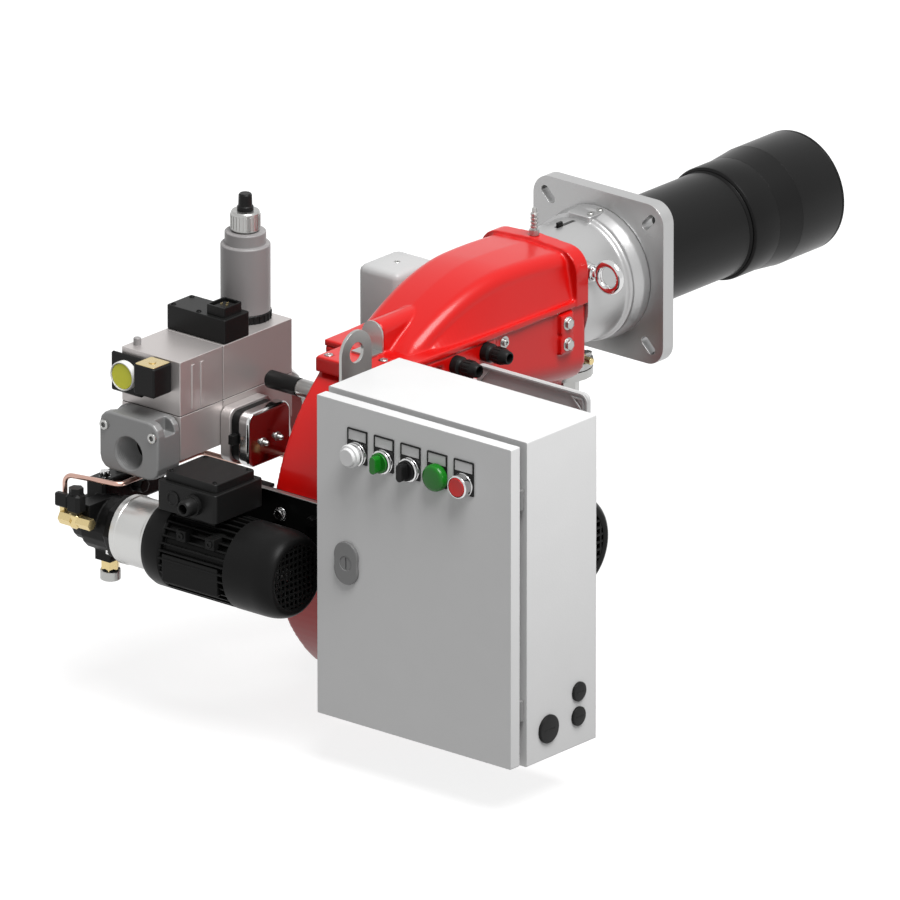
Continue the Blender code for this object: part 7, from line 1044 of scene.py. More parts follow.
@dataclass
class Motor:
    """Totally enclosed fan-cooled motor along X."""

    shop: Workshop
    prefix: str
    left: float
    right: float
    y: float
    z: float
    radius: float
    fins: int = 36
    shield: float = 0.034
    cowl: float = 0.069

    def centre(self) -> Point:
        """Point of the motor's axis at x 0."""
        return (0.0, self.y, self.z)

    def body(self, extras: Draft) -> None:
        """Barrel and end shield with the feet and seats drawn in extras."""
        barrel_end = self.right - self.cowl - 0.0003
        core = self.radius - 0.0075
        extras.lathe(Axis.X, self.centre(), [
            (self.left, 0.010), (self.left, self.radius - 0.0075), (self.left + 0.003, self.radius - 0.0030),
            (self.left + 0.011, self.radius - 0.0003), (self.left + self.shield - 0.004, self.radius - 0.0003),
            (self.left + self.shield - 0.001, self.radius - 0.003), (self.left + self.shield, core), (barrel_end, core),
            (barrel_end, 0.031), (self.left + self.shield, 0.031), (self.left + self.shield, 0.010),
        ], 96, True)
        piece = extras.finish(f"{self.prefix}_motor_barrel", self.shop.of(Palette.black_paint), 0.0010)
        self.shop.mount(piece, "burner", f"{self.prefix}_motor_frame")
        run = (self.left + self.shield - 0.002, barrel_end)
        reach = (self.radius - 0.0008 - core) / 2.0 + 0.0006
        fin = Draft().block((-reach, reach), (-0.0011, 0.0011), run)
        ring = self.shop.ring(f"{self.prefix}_motor_fins", fin, self.fins, core + reach - 0.0006, self.centre(), Axis.X, Palette.black_paint, 0.0005)
        self.shop.mount(ring, "burner")

    def cover(self) -> None:
        """Fan cowl with a rounded shoulder, and its grille of square holes."""
        r, edge, wall = self.radius, self.right, 0.002
        shoulder = [math.radians(9.0 * i) for i in range(11)]
        outer = [(edge - 0.028 * (1.0 - math.cos(t)), r * 0.80 + r * 0.20 * math.sin(t)) for t in shoulder]
        inner = [(p - wall, q - wall) for p, q in outer]
        profile = [(edge - 0.0012, r * 0.72)] + outer + [(edge - self.cowl, r), (edge - self.cowl, r - wall)] + inner[::-1] + [(edge - wall - 0.0012, r * 0.72)]
        piece = Draft().lathe(Axis.X, self.centre(), profile, 96, True).finish(f"{self.prefix}_fan_cowl", self.shop.of(Palette.black_paint))
        self.shop.mount(piece, "burner", f"{self.prefix}_motor_cover")
        grille = GRILLES.build(f"{self.prefix}_fan_grille", bpy.data.meshes.new("sheet"), {
            "Radius": r * 0.79, "Cells": 11, "Open": 0.70, "Thickness": 0.0020, "Place": (edge - 0.0036, self.y, self.z),
            "Turn": Axis.X.turn().to_euler(),
        }, self.shop.of(Palette.black_paint))
        self.shop.mount(grille, "burner")


@dataclass
class Drives:
    """Fan motor, pump motor with its terminal box, coupling bell and cross plate."""

    shop: Workshop
    pump_y: float = -0.631
    pump_z: float = -0.200

    def build(self) -> None:
        """Makes both motors and what the pump motor carries."""
        fan = Motor(self.shop, "fan", 0.0423, 0.231, -0.329, -0.206, 0.0625)
        fan.body(Draft())
        fan.cover()
        pump = Motor(self.shop, "pump", -0.145, 0.055, self.pump_y, self.pump_z, 0.0535)
        y, z = self.pump_y, self.pump_z
        extras = Draft().block((-0.095, -0.030), (y + 0.0415, -0.5672), (z - 0.028, z + 0.028))
        extras.block((-0.108, -0.048), (y - 0.026, y + 0.026), (z + 0.0395, z + 0.0555))
        extras.block((-0.108, -0.0225), (y - 0.0525, y - 0.036), (z - 0.028, z + 0.006), 0.002, Axis.Y)
        for x in (-0.081, -0.037):
            extras.block((x - 0.007, x + 0.007), (y - 0.0495, y - 0.024), (z + 0.026, z + 0.040), 0.001, Axis.Y)
        pump.body(extras)
        pump.cover()
        seats = [(x, y - 0.0494, z + 0.033) for x in (-0.081, -0.037)]
        screws = self.shop.rows("pump_motor_seat_screws", socket_head(0.0042, 0.0016), seats, -Axis.Y.vector(), Palette.black_cast)
        self.shop.mount(screws, "burner")
        self.shop.dress(Palette.steel, "fan_motor_shaft", "pump_motor_shaft")
        self.terminal_box()
        self.bell()
        self.shop.dress(Palette.black_paint, "cross_plate")
        # Steel strip along the cross plate's top edge: painted highlight of the edge.
        edge_highlight = Draft().block((-0.149, 0.0890), (-0.5735, -0.5665), (-0.1300, -0.1284))
        self.shop.mount(edge_highlight.finish("cross_plate_lip", self.shop.of(Palette.steel), 0.0005), "burner")
        bolts = [(-0.0195, -0.5726, -0.155)]
        self.shop.mount(self.shop.rows("cross_plate_bolts", hex_head(0.0070, 0.0050, 0.0084), bolts, -Axis.Y.vector(), Palette.chrome, 0.0003), "burner")

    def terminal_box(self) -> None:
        """Connection box on the pump motor with its lid, gland and knock-out."""
        y, low = self.pump_y, self.pump_z + 0.0558
        draft = Draft().block((-0.123, -0.033), (y - 0.043, y + 0.043), (low, -0.1085), 0.005)
        lid = Draft().block((-0.1175, -0.0385), (y - 0.0365, y + 0.0365), (-0.1125, -0.098), 0.006)
        box = draft.finish("connection_box", self.shop.of(Palette.black_plastic), 0.0016, 3)
        self.shop.mount(box, "burner", "pump_terminal_box")
        self.shop.mount(lid.finish("connection_box_lid", self.shop.of(Palette.black_plastic), 0.0018, 3), "burner")
        screws = [(x, y + s * 0.030, -0.0985) for x in (-0.111, -0.045) for s in (-1.0, 1.0)]
        self.shop.mount(self.shop.rows("connection_box_screws", slotted_head(0.0030, 0.0016), screws, Axis.Z.vector(), Palette.black_cast), "burner")
        front, z = y - 0.043, (low - 0.1085) / 2.0
        gland = Draft().lathe(Axis.Y, (-0.066, 0.0, z), [
            (front + 0.002, 0.0), (front + 0.002, 0.0128), (front - 0.006, 0.0128), (front - 0.006, 0.0112),
            (front - 0.014, 0.0108), (front - 0.0185, 0.0092), (front - 0.020, 0.0082), (front - 0.020, 0.0060),
            (front - 0.008, 0.0060), (front - 0.008, 0.0),
        ], 12)
        self.shop.mount(gland.finish("connection_box_gland", self.shop.of(Palette.black_plastic), 0.0005), "burner")
        blank = Draft().lathe(Axis.Y, (-0.098, 0.0, z), [
            (front + 0.002, 0.0), (front + 0.002, 0.0092), (front - 0.0016, 0.0092), (front - 0.0016, 0.0070),
            (front - 0.0006, 0.0068), (front - 0.0006, 0.0),
        ], 40)
        self.shop.mount(blank.finish("connection_box_knock_out", self.shop.of(Palette.black_plastic), 0.0003), "burner")

    def bell(self) -> None:
        """Aluminium coupling bell between the pump motor and the pump."""
        profile = [
            (-0.200, 0.012), (-0.200, 0.0405), (-0.1985, 0.0420), (-0.1915, 0.0420), (-0.1905, 0.0412), (-0.1525, 0.0412),
            (-0.1515, 0.0420), (-0.1468, 0.0420), (-0.1453, 0.0408), (-0.1453, 0.038), (-0.196, 0.038), (-0.196, 0.012),
        ]
        piece = Draft().lathe(Axis.X, (0.0, self.pump_y, self.pump_z), profile, 96, True)
        self.shop.mount(piece.finish("bell_casting", self.shop.of(Palette.machined), 0.0003), "burner", "pump_coupling_bell")


@dataclass
class OilSide:
    """Gear pump, its solenoid valve, fittings and the copper pipe."""

    shop: Workshop
    face: float = -0.2003
    y: float = -0.631
    z: float = -0.200

    def build(self) -> None:
        """Makes the pump's pieces in order."""
        body = Draft().copy_of("oil_pump").casting("pump_casting", self.shop.of(Palette.black_cast), 0.0010, 3)
        self.shop.mount(body, "burner", "oil_pump")
        middle = self.face - 0.052
        top = [(middle, self.y + at, -0.1505) for at in (0.014, 0.042, 0.094)]
        self.shop.mount(self.shop.rows("manifold_bolts", hex_head(0.0058, 0.0068, 0.0074), top, Axis.Z.vector(), Palette.chrome, 0.0003), "burner")
        ring = [math.radians(angle) for angle in (225.0, 315.0)]
        side = [(self.face - 0.0145, self.y + 0.0345 * math.cos(a), self.z + 0.0345 * math.sin(a)) for a in ring]
        self.shop.mount(self.shop.rows("pump_flange_bolts", hex_head(0.0048, 0.0052), side, Axis.X.vector(), Palette.chrome, 0.0003), "burner")
        drain = Draft().lathe(Axis.Z, (self.face - 0.032, self.y, 0.0), [(-0.2602, 0.0), (-0.2602, 0.0114), (-0.2425, 0.0114), (-0.2425, 0.0)], 6)
        self.shop.mount(drain.finish("drain_hexagon", self.shop.of(Palette.brass), 0.0005), "burner")
        nut = Draft().lathe(Axis.Z, (self.face - 0.032, self.y, 0.0), [(-0.2702, 0.0), (-0.2702, 0.0108), (-0.2690, 0.0123), (-0.2590, 0.0123), (-0.2578, 0.0110), (-0.2578, 0.0)], 40)
        self.shop.mount(nut.finish("drain_ring", self.shop.of(Palette.steel), 0.0004), "burner")
        self.shop.dress(Palette.black_plastic, "oil_solenoid")
        self.shop.dress(Palette.brass, "oil_valve_body")
        nuts = Draft().lathe(Axis.Z, (-0.263, -0.676, 0.0), [(-0.1800, 0.0), (-0.1800, 0.0069), (-0.1690, 0.0069), (-0.1690, 0.0)], 6)
        nuts.lathe(Axis.X, (0.0, -0.462, -0.1345), [(-0.0540, 0.0), (-0.0540, 0.0072), (-0.0425, 0.0072), (-0.0425, 0.0)], 6)
        self.shop.mount(nuts.finish("copper_line_nuts", self.shop.of(Palette.brass), 0.0006), "burner")
        route = fillet_route([
            (-0.263, -0.676, -0.1747), (-0.263, -0.676, -0.1345), (-0.1905, -0.661, -0.1345), (-0.1905, -0.514, -0.1345),
            (-0.131, -0.514, -0.1345), (-0.131, -0.462, -0.1345), (-0.0423, -0.462, -0.1345),
        ], 0.010)
        self.shop.mount(Draft().tube(route, 0.003).finish("copper_line", self.shop.of(Palette.copper)), "burner", "oil_pipe")


@dataclass
class GasTrain:
    """Inlet flange, double valve block, terminal box, solenoid column, switches and gas pipe."""

    shop: Workshop
    left: float = -0.235
    right: float = -0.145
    front: float = -0.606
    rear: float = -0.405
    seam: float = -0.055
    top: float = 0.012
    joint: float = -0.529
    port: Flat = (-0.190, -0.100)

    def block(self) -> None:
        """Upper and lower valve bodies with their seam and grooves."""
        spans = ((self.front, self.joint - 0.0004), (self.joint + 0.0004, self.rear))
        upper, lower = Draft(), Draft()
        for span in spans:
            upper.block((self.left, self.right), span, (self.seam, self.top), 0.001)
            lower.block((self.left, self.right), span, (-0.110, self.seam - 0.0007), 0.001)
        core = Draft().block((self.left + 0.001, self.right - 0.001), (self.front + 0.001, self.rear - 0.001), (-0.109, self.top - 0.001))
        piece = upper.finish("valve_body_upper", self.shop.of(Palette.valve), 0.0008, 2)
        self.shop.mount(piece, "burner", "gas_valve_block")
        self.shop.mount(lower.finish("valve_body_lower", self.shop.of(Palette.valve), 0.0008, 2), "burner")
        self.shop.mount(core.finish("valve_body_joints", self.shop.of(Palette.black_cast)), "burner")
        x = self.right + 0.0002
        ribs = Draft()
        for at in (0.0225, 0.0385):
            ribs.block((x - 0.001, x + 0.0012), (self.front + at - 0.0025, self.front + at + 0.0025), (self.seam + 0.004, self.top - 0.008), 0.001)
        self.shop.mount(ribs.finish("valve_body_ribs", self.shop.of(Palette.valve), 0.0005), "burner")

    def inlet(self) -> None:
        """Cast inlet flange with its port and two socket screws, and a black disc of painted shade deep in the port."""
        bore = Draft().lathe(Axis.Y, (self.port[0], 0.0, self.port[1]), [
            (self.front - 0.0500, 0.0), (self.front - 0.0500, 0.0218), (self.front + 0.0100, 0.0218), (self.front + 0.0100, 0.0),
        ], 64)
        body = Draft().copy_of("gas_inlet_flange").casting("inlet_casting", self.shop.of(Palette.grey_cast), 0.0009, 4, (bore,))
        self.shop.mount(body, "burner", "gas_inlet_flange")
        screws = [(-0.190 + s * 0.037, -0.636, -0.0720) for s in (-1.0, 1.0)]
        piece = self.shop.rows("inlet_screws", socket_head(0.0062, 0.0130), screws, -Axis.Y.vector(), Palette.steel)
        self.shop.mount(piece, "burner")
        thread = [(self.front - 0.0400 + 0.0015 * i, 0.0214 - 0.0018 * (i % 2)) for i in range(26)]
        sleeve = [(self.front - 0.0020, 0.0222), (self.front - 0.0400, 0.0222)]
        ring = Draft().lathe(Axis.Y, (self.port[0], 0.0, self.port[1]), thread + sleeve, 64, True)
        self.shop.mount(ring.finish("inlet_thread", self.shop.of(Palette.grey_cast)), "burner")
        # Black disc at the inner end of the port's bore: painted shade of the bore's depth.
        port_shade_disc = Draft().lathe(Axis.Y, (self.port[0], 0.0, self.port[1]), [
            (self.front - 0.0028, 0.0), (self.front - 0.0028, 0.0215), (self.front - 0.0008, 0.0215), (self.front - 0.0008, 0.0),
        ], 48)
        post = Draft().lathe(Axis.Z, (-0.2247, -0.590, 0.0), [(0.0110, 0.0), (0.0110, 0.0046), (0.0200, 0.0046), (0.0208, 0.0038), (0.0208, 0.0)], 32)
        self.shop.mount(post.finish("valve_body_post", self.shop.of(Palette.coil_grey)), "burner")
        self.shop.mount(port_shade_disc.finish("inlet_throat", self.shop.of(Palette.black_cast)), "burner")

    def coil(self) -> None:
        """Solenoid column with its toothed base ring, neck, knurled cap and stem."""
        place = (-0.190, -0.436, 0.0)
        column = Draft().lathe(Axis.Z, place, [
            (0.0123, 0.0), (0.0123, 0.0280), (0.0225, 0.0280), (0.0225, 0.0295), (0.1035, 0.0295), (0.1050, 0.0280),
            (0.1050, 0.0245), (0.1190, 0.0245), (0.1200, 0.0235), (0.1200, 0.0063), (0.1080, 0.0063), (0.1080, 0.0),
        ], 96)
        self.shop.mount(column.finish("coil_column", self.shop.of(Palette.coil_grey), 0.0005), "burner", "valve_solenoid")
        base = Draft().lathe(Axis.Z, place, [(0.0123, 0.0), (0.0123, 0.0300), (0.0215, 0.0300), (0.0225, 0.0290), (0.0225, 0.0)], 72)
        self.shop.mount(base.finish("coil_base_ring", self.shop.of(Palette.black_plastic)), "burner")
        tooth = Draft().block((-0.0010, 0.0008), (-0.0016, 0.0016), (0.0128, 0.0212))
        teeth = self.shop.ring("coil_base_teeth", tooth, 26, 0.0302, place, Axis.Z, Palette.black_plastic, 0.0003)
        self.shop.mount(teeth, "burner")
        cap = Draft().lathe(Axis.Z, place, [
            (0.1206, 0.0), (0.1206, 0.0160), (0.1220, 0.0172), (0.1430, 0.0172), (0.1450, 0.0158), (0.1450, 0.0),
        ], 72)
        self.shop.mount(cap.finish("flow_cap_body", self.shop.of(Palette.steel), 0.0003), "flow_cap", "flow_cap")
        rib = Draft().block((-0.0009, 0.0006), (-0.0009, 0.0009), (0.1245, 0.1405))
        self.shop.mount(self.shop.ring("flow_cap_knurl", rib, 24, 0.0174, place, Axis.Z, Palette.steel, 0.0002), "flow_cap")
        stem = Draft().lathe(Axis.Z, place, [
            (0.1100, 0.0), (0.1100, 0.0058), (0.1205, 0.0058), (0.1205, 0.0040), (0.1449, 0.0040), (0.1449, 0.0098),
            (0.1500, 0.0098), (0.1512, 0.0084), (0.1640, 0.0080), (0.1660, 0.0066), (0.1660, 0.0),
        ], 40)
        self.shop.mount(stem.finish("flow_stem", self.shop.of(Palette.black_plastic), 0.0003), "flow_cap")

    def terminal_box(self) -> None:
        """Black terminal box with its raised socket and screws."""
        box = Draft().block((self.left, self.right), (-0.526, -0.481), (0.0123, 0.042), 0.003)
        self.shop.mount(box.finish("valve_box", self.shop.of(Palette.black_plastic), 0.0014, 3), "burner", "valve_terminal_box")
        socket = Draft().prism(Axis.Z, 0.041, 0.054, [
            rounded_rectangle((-0.179, -0.151), (-0.520, -0.487), 0.003), rounded_rectangle((-0.1765, -0.1535), (-0.5175, -0.4895), 0.002),
        ])
        self.shop.mount(socket.finish("valve_box_socket", self.shop.of(Palette.black_plastic), 0.0006), "burner")
        core = Draft().block((-0.1735, -0.1565), (-0.5145, -0.4925), (0.041, 0.0515), 0.002)
        self.shop.mount(core.finish("valve_box_socket_core", self.shop.of(Palette.black_plastic), 0.0006), "burner")
        pin = Draft().block((-0.0004, 0.0004), (-0.0020, 0.0020), (0.0, 0.0015))
        pins = [(-0.169 + 0.004 * i, -0.5035 + 0.006 * (i % 2), 0.0513) for i in range(3)]
        self.shop.mount(self.shop.rows("valve_box_contacts", pin, pins, Axis.Z.vector(), Palette.brass), "burner")
        screws = [(-0.229, -0.520, 0.0415), (-0.229, -0.487, 0.0415), (-0.190, -0.520, 0.0415), (-0.190, -0.487, 0.0415)]
        self.shop.mount(self.shop.rows("valve_box_screws", slotted_head(0.0032, 0.0016), screws, Axis.Z.vector(), Palette.black_cast), "burner")

    def switches(self) -> None:
        """Pressure switch with its dial rim and plug contacts, and the valve proving unit."""
        self.shop.dress(Palette.black_plastic, "gas_pressure_switch")
        self.shop.dress(Palette.dial, "pressure_dial")
        rim = Draft().lathe(Axis.Y, (-0.223, 0.0, -0.019), [
            (-0.6123, 0.0160), (-0.6123, 0.0178), (-0.6200, 0.0178), (-0.6208, 0.0170), (-0.6208, 0.0162), (-0.6195, 0.0158),
        ], 64, True)
        self.shop.mount(rim.finish("dial_rim", self.shop.of(Palette.white_plastic)), "burner")
        plate = Draft().block((-0.1875, -0.1585), (-0.6375, -0.6080), (0.0098, 0.0108), 0.002)
        self.shop.mount(plate.finish("plug_plate", self.shop.of(Palette.brass), 0.0003), "burner")
        post = Draft().lathe(Axis.Z, (-0.173, -0.6230, 0.0), [(0.0106, 0.0), (0.0106, 0.0044), (0.0118, 0.0044), (0.0118, 0.0), ], 24)
        self.shop.mount(post.finish("plug_contact", self.shop.of(Palette.brass), 0.0003), "burner")
        y, z = (-0.535, -0.459), (-0.131, -0.063)
        base = Draft().prism(Axis.X, -0.1447, -0.1300, [rounded_rectangle(y, z, 0.012)])
        self.shop.mount(base.finish("prover_base", self.shop.of(Palette.valve), 0.0012, 3), "burner", "valve_prover")
        ring = Draft().prism(Axis.X, -0.1302, -0.1180, [rounded_rectangle((y[0] + 0.003, y[1] - 0.003), (z[0] + 0.003, z[1] - 0.003), 0.012)])
        ring.block((-0.1267, -0.1187), (-0.542, -0.527), (-0.103, -0.091))
        self.shop.mount(ring.finish("prover_ring", self.shop.of(Palette.black_plastic), 0.0008), "burner")
        cover = Draft().prism(Axis.X, -0.1185, -0.1007, [rounded_rectangle(y, z, 0.013)])
        self.shop.mount(cover.finish("prover_cover", self.shop.of(Palette.chrome), 0.0045, 6), "burner")
        nipple = Draft().lathe(Axis.Z, (0.0, 0.0, 0.0), [
            (-0.002, 0.0), (-0.002, 0.0055), (0.0012, 0.0055), (0.0012, 0.0030), (0.0040, 0.0026), (0.0048, 0.0036), (0.0066, 0.0028), (0.0078, 0.0020), (0.0078, 0.0),
        ], 24)
        points = [(-0.1007, -0.497 + dy, -0.103) for dy in (-0.012, 0.014)]
        self.shop.mount(self.shop.rows("prover_nipples", nipple, points, Axis.X.vector(), Palette.steel), "burner")

    def build(self) -> None:
        """Makes the gas train's pieces in order."""
        self.block()
        self.inlet()
        self.coil()
        self.terminal_box()
        self.switches()
        self.shop.dress(Palette.steel, "gas_pipe", "sensor_holder")
        self.shop.dress(Palette.black_plastic, "flame_sensor")


@dataclass
class Junction:
    """Grey junction box behind the cabinet and the glands of the housing."""

    shop: Workshop

    def build(self) -> None:
        """Dresses the box and makes the glands."""
        self.shop.dress(Palette.box_grey, "junction_box")
        x, z, face = (0.0690, 0.2545), (-0.1365, -0.0075), -0.343
        rims = [rounded_rectangle((x[0] + r, x[1] - r), (z[0] + r, z[1] - r), 0.010 - r) for r in (0.0, 0.0028)]
        lid = Draft().prism(Axis.Y, face - 0.0016, face + 0.001, rims)
        for side, at in ((-1.0, x[1] - 0.006), (1.0, x[0] + 0.006)):
            corners = [[(at + side * r, z[1] - 0.006 - r), (at + side * (0.019 - 2.0 * r), z[1] - 0.006 - r),
                        (at + side * r, z[1] - 0.025 + 2.0 * r)][::int(side)] for r in (0.0, 0.0022)]
            lid.prism(Axis.Y, face - 0.0012, face + 0.001, corners)
        self.shop.mount(lid.finish("junction_lid_rim", self.shop.of(Palette.grey_plastic), 0.0004), "burner")
        for label, y, z in (("front", -0.306, -0.007), ("rear", -0.361, -0.008)):
            profile = [
                (0.0683, 0.0), (0.0683, 0.0115), (0.0775, 0.0115), (0.0785, 0.0100), (0.0800, 0.0088), (0.0830, 0.0088),
                (0.0840, 0.0098), (0.0960, 0.0098), (0.1000, 0.0086), (0.1040, 0.0078), (0.1050, 0.0070), (0.1050, 0.0055),
                (0.0930, 0.0055), (0.0930, 0.0),
            ]
            body = Draft().lathe(Axis.X, (0.0, y, z), profile, 48)
            self.shop.mount(body.finish(f"gland_{label}", self.shop.of(Palette.black_plastic), 0.0003), "burner", f"cable_gland_{label}")
            rib = Draft().block((-0.0008, 0.0006), (-0.0011, 0.0011), (0.0848, 0.0952))
            ribs = self.shop.ring(f"gland_{label}_ribs", rib, 14, 0.0099, (0.0, y, z), Axis.X, Palette.black_plastic, 0.0002)
            self.shop.mount(ribs, "burner")


@dataclass
class Cabinet:
    """Control cabinet with its door, lock, plugs, legend plates and operators."""

    shop: Workshop
    door_front: float = -0.6396
    lock: Flat = (0.1395, -0.1584)
    first: float = 0.1555
    pitch: float = 0.0403
    height: float = -0.0195
    right: float = 0.390
    operators: tuple[str, ...] = field(default=("reset", "green", "black", "lamp", "stop"))

    def x(self, index: int) -> float:
        """Place of an operator across the door."""
        return self.first + index * self.pitch

    def enclosure(self) -> None:
        """Folded steel body, open at the front, with the neck that the door closes over and a dark band of painted
        shade round the neck in the door gap.
        """
        x, z = (0.090, self.right), (-0.3584, 0.0416)
        front, back, wall, inset = -0.6146, -0.4896, 0.002, 0.011
        shell = Draft()
        outline = rounded_rectangle(x, z, 0.0015, 3)
        for y, reach in (((front + wall, back - wall), wall), ((front, front + wall), inset + wall)):
            hole = rounded_rectangle((x[0] + reach, x[1] - reach), (z[0] + reach, z[1] - reach), 0.0)
            shell.prism(Axis.Y, y[0], y[1], [outline, hole])
        shell.prism(Axis.Y, back - wall, back, [outline])
        bmesh.ops.remove_doubles(shell.mesh, verts=shell.mesh.verts, dist=0.00001)
        rim = [rounded_rectangle((x[0] + r, x[1] - r), (z[0] + r, z[1] - r), 0.0) for r in (inset, inset + wall)]
        neck = Draft().prism(Axis.Y, front - 0.0174, front + 0.001, rim)
        self.shop.mount(shell.finish("cabinet_shell", self.shop.of(Palette.powder)), "burner", "cabinet_body")
        self.shop.mount(neck.finish("cabinet_neck", self.shop.of(Palette.powder)), "burner")
        # A thin dark grey skin round the outside of the neck, inside the door gap: painted shade of the gap.
        strip = [rounded_rectangle((x[0] + r, x[1] - r), (z[0] + r, z[1] - r), 0.0) for r in (inset - 0.0008, inset)]
        band = Draft().prism(Axis.Y, front - 0.0165, front - 0.0002, strip)
        self.shop.mount(band.finish("cabinet_neck_band", self.shop.of(Palette.lock_grey)), "burner")

    def door(self) -> None:
        """Door pan with its seal, on two dark hinge barrels in the gap."""
        x, z = (0.093, self.right - 0.003), (-0.3554, 0.0386)
        front, back, skin = self.door_front, self.door_front + 0.016, 0.002
        outline = rounded_rectangle(x, z, 0.0015, 3)
        hole = rounded_rectangle((x[0] + skin, x[1] - skin), (z[0] + skin, z[1] - skin), 0.0)
        pan = Draft().prism(Axis.Y, front, front + skin, [outline]).prism(Axis.Y, front + skin, back, [outline, hole])
        bmesh.ops.remove_doubles(pan.mesh, verts=pan.mesh.verts, dist=0.00001)
        self.shop.mount(pan.finish("door_pan", self.shop.of(Palette.powder), 0.0012, 3), "cabinet_door", "cabinet_door")
        rims = [rounded_rectangle((x[0] + r, x[1] - r), (z[0] + r, z[1] - r), 0.0) for r in (0.0035, 0.0125)]
        seal = Draft().prism(Axis.Y, front + skin, front + 0.0070, rims)
        self.shop.mount(seal.finish("door_seal", self.shop.of(Palette.black_plastic)), "cabinet_door")
        # The hinge barrels are real parts, but their dark grey is the gap's shade colour, so it is partly painted
        # shade.
        hinge = Draft().lathe(Axis.Z, (0.0, 0.0, 0.0), [(-0.012, 0.0), (-0.012, 0.0035), (0.012, 0.0035), (0.012, 0.0)], SMALL_SIDES)
        places = [(0.3845, -0.6193, height) for height in (-0.2884, -0.0284)]
        barrels = self.shop.rows("hinge_barrels", hinge, places, Axis.Z.vector(), Palette.lock_grey)
        self.shop.mount(barrels, "cabinet_door")

    def legends(self) -> None:
        """Black legend plates with a light blank card in the top window."""
        back = self.door_front - PROUD
        face = back - 0.0015
        frames, cards = Draft(), Draft()
        for i in range(len(self.operators)):
            x = self.x(i)
            outline = rounded_rectangle((x - 0.015, x + 0.015), (-0.0315, 0.010), 0.0012, 3)
            window = rounded_rectangle((x - 0.0133, x + 0.0133), (-0.0042, 0.0083), 0.0006, 2)
            frames.prism(Axis.Y, face, back, [outline, window, circle(x, self.height, 0.0105, 32)])
            cards.block((x - 0.0132, x + 0.0132), (face + 0.0005, back), (-0.0041, 0.0082))
        piece = frames.finish("legend_frames", self.shop.of(Palette.black_plastic), 0.0003)
        self.shop.mount(piece, "cabinet_door", "reset_bezel", "green_bezel", "black_bezel", "stop_bezel")
        self.shop.mount(cards.finish("legend_cards", self.shop.of(Palette.label)), "cabinet_door")

    def bezels(self) -> None:
        """Chromed bezel rings and the green lamp."""
        face = self.door_front - PROUD - 0.0015
        ring = Draft().lathe(Axis.Z, (0.0, 0.0, 0.0), [
            (-0.0002, 0.0085), (-0.0002, 0.0146), (0.0018, 0.0146), (0.0026, 0.0140), (0.0034, 0.0143), (0.0058, 0.0143),
            (0.0070, 0.0132), (0.0070, 0.0123), (0.0056, 0.0118), (0.0056, 0.0085),
        ], 64, True)
        points = [(self.x(i), face, self.height) for i in (0, 1, 2)]
        self.shop.mount(self.shop.rows("operator_bezels", ring, points, -Axis.Y.vector(), Palette.chrome), "cabinet_door")
        guard = Draft().lathe(Axis.Y, (self.x(4), 0.0, self.height), [
            (face + 0.0002, 0.0100), (face + 0.0002, 0.0146), (face - 0.0018, 0.0146), (face - 0.0026, 0.0140),
            (face - 0.0118, 0.0140), (face - 0.0130, 0.0130), (face - 0.0130, 0.0122), (face - 0.0020, 0.0120),
            (face - 0.0020, 0.0100),
        ], 64, True)
        self.shop.mount(guard.finish("red_button_guard", self.shop.of(Palette.chrome)), "cabinet_door")
        barrel = Draft()
        for i in (0, 1, 2, 4):
            barrel.lathe(Axis.Y, (self.x(i), 0.0, self.height), [(face + 0.030, 0.0086), (face + 0.030, 0.0100), (face + 0.0001, 0.0100), (face + 0.0001, 0.0086)], 32, True)
        self.shop.mount(barrel.finish("operator_barrels", self.shop.of(Palette.black_plastic)), "cabinet_door")
        lamp = Draft().lathe(Axis.Y, (self.x(3), 0.0, self.height), [
            (face + 0.030, 0.0), (face + 0.030, 0.0100), (face, 0.0100), (face, 0.0165), (face - 0.0055, 0.0162),
            (face - 0.0082, 0.0152), (face - 0.0094, 0.0138), (face - 0.0100, 0.0110), (face - 0.0100, 0.0),
        ], 72)
        self.shop.mount(lamp.finish("green_lens", self.shop.of(Palette.green)), "cabinet_door", "green_lamp")

    def buttons(self) -> None:
        """White lens, selectors and red push button on their own bodies."""
        face = self.door_front - PROUD - 0.0015
        front = face - 0.007
        z = self.height
        lens = Draft().lathe(Axis.Y, (self.x(0), 0.0, z), [
            (face + 0.014, 0.0), (face + 0.014, 0.0078), (front - 0.0046, 0.0078), (front - 0.0046, 0.0145), (front - 0.0075, 0.0143),
            (front - 0.0088, 0.0135), (front - 0.0092, 0.0112), (front - 0.0124, 0.0106), (front - 0.0130, 0.0098), (front - 0.0130, 0.0),
        ], 64)
        self.shop.mount(lens.finish("white_push_lens", self.shop.of(Palette.white_lens)), "reset_button", "reset_button")
        stop = Draft().lathe(Axis.Y, (self.x(4), 0.0, z), [
            (face + 0.014, 0.0), (face + 0.014, 0.0078), (front - 0.0006, 0.0078), (front - 0.0006, 0.0115),
            (front - 0.0056, 0.0115), (front - 0.0066, 0.0108), (front - 0.0062, 0.0070), (front - 0.0060, 0.0),
        ], 64)
        self.shop.mount(stop.finish("red_push_button", self.shop.of(Palette.red_plastic)), "stop_button", "stop_button")
        for index, finish, label in ((1, Palette.green, "green"), (2, Palette.black_plastic, "black")):
            x = self.x(index)
            knob = Draft().lathe(Axis.Y, (x, 0.0, z), [
                (face + 0.014, 0.0), (face + 0.014, 0.0078), (front - 0.0006, 0.0078), (front - 0.0006, 0.0123), (front - 0.0030, 0.0123), (front - 0.0034, 0.0),
            ], 64)
            grip = rounded_rectangle((x - 0.0045, x + 0.0045), (z - 0.0105, z + 0.0105), 0.0042, 6)
            knob.prism(Axis.Y, front - 0.0138, front - 0.0028, [grip])
            self.shop.mount(knob.finish(f"{label}_selector_knob", self.shop.of(finish), 0.0008, 3), f"{label}_selector", f"{label}_selector")

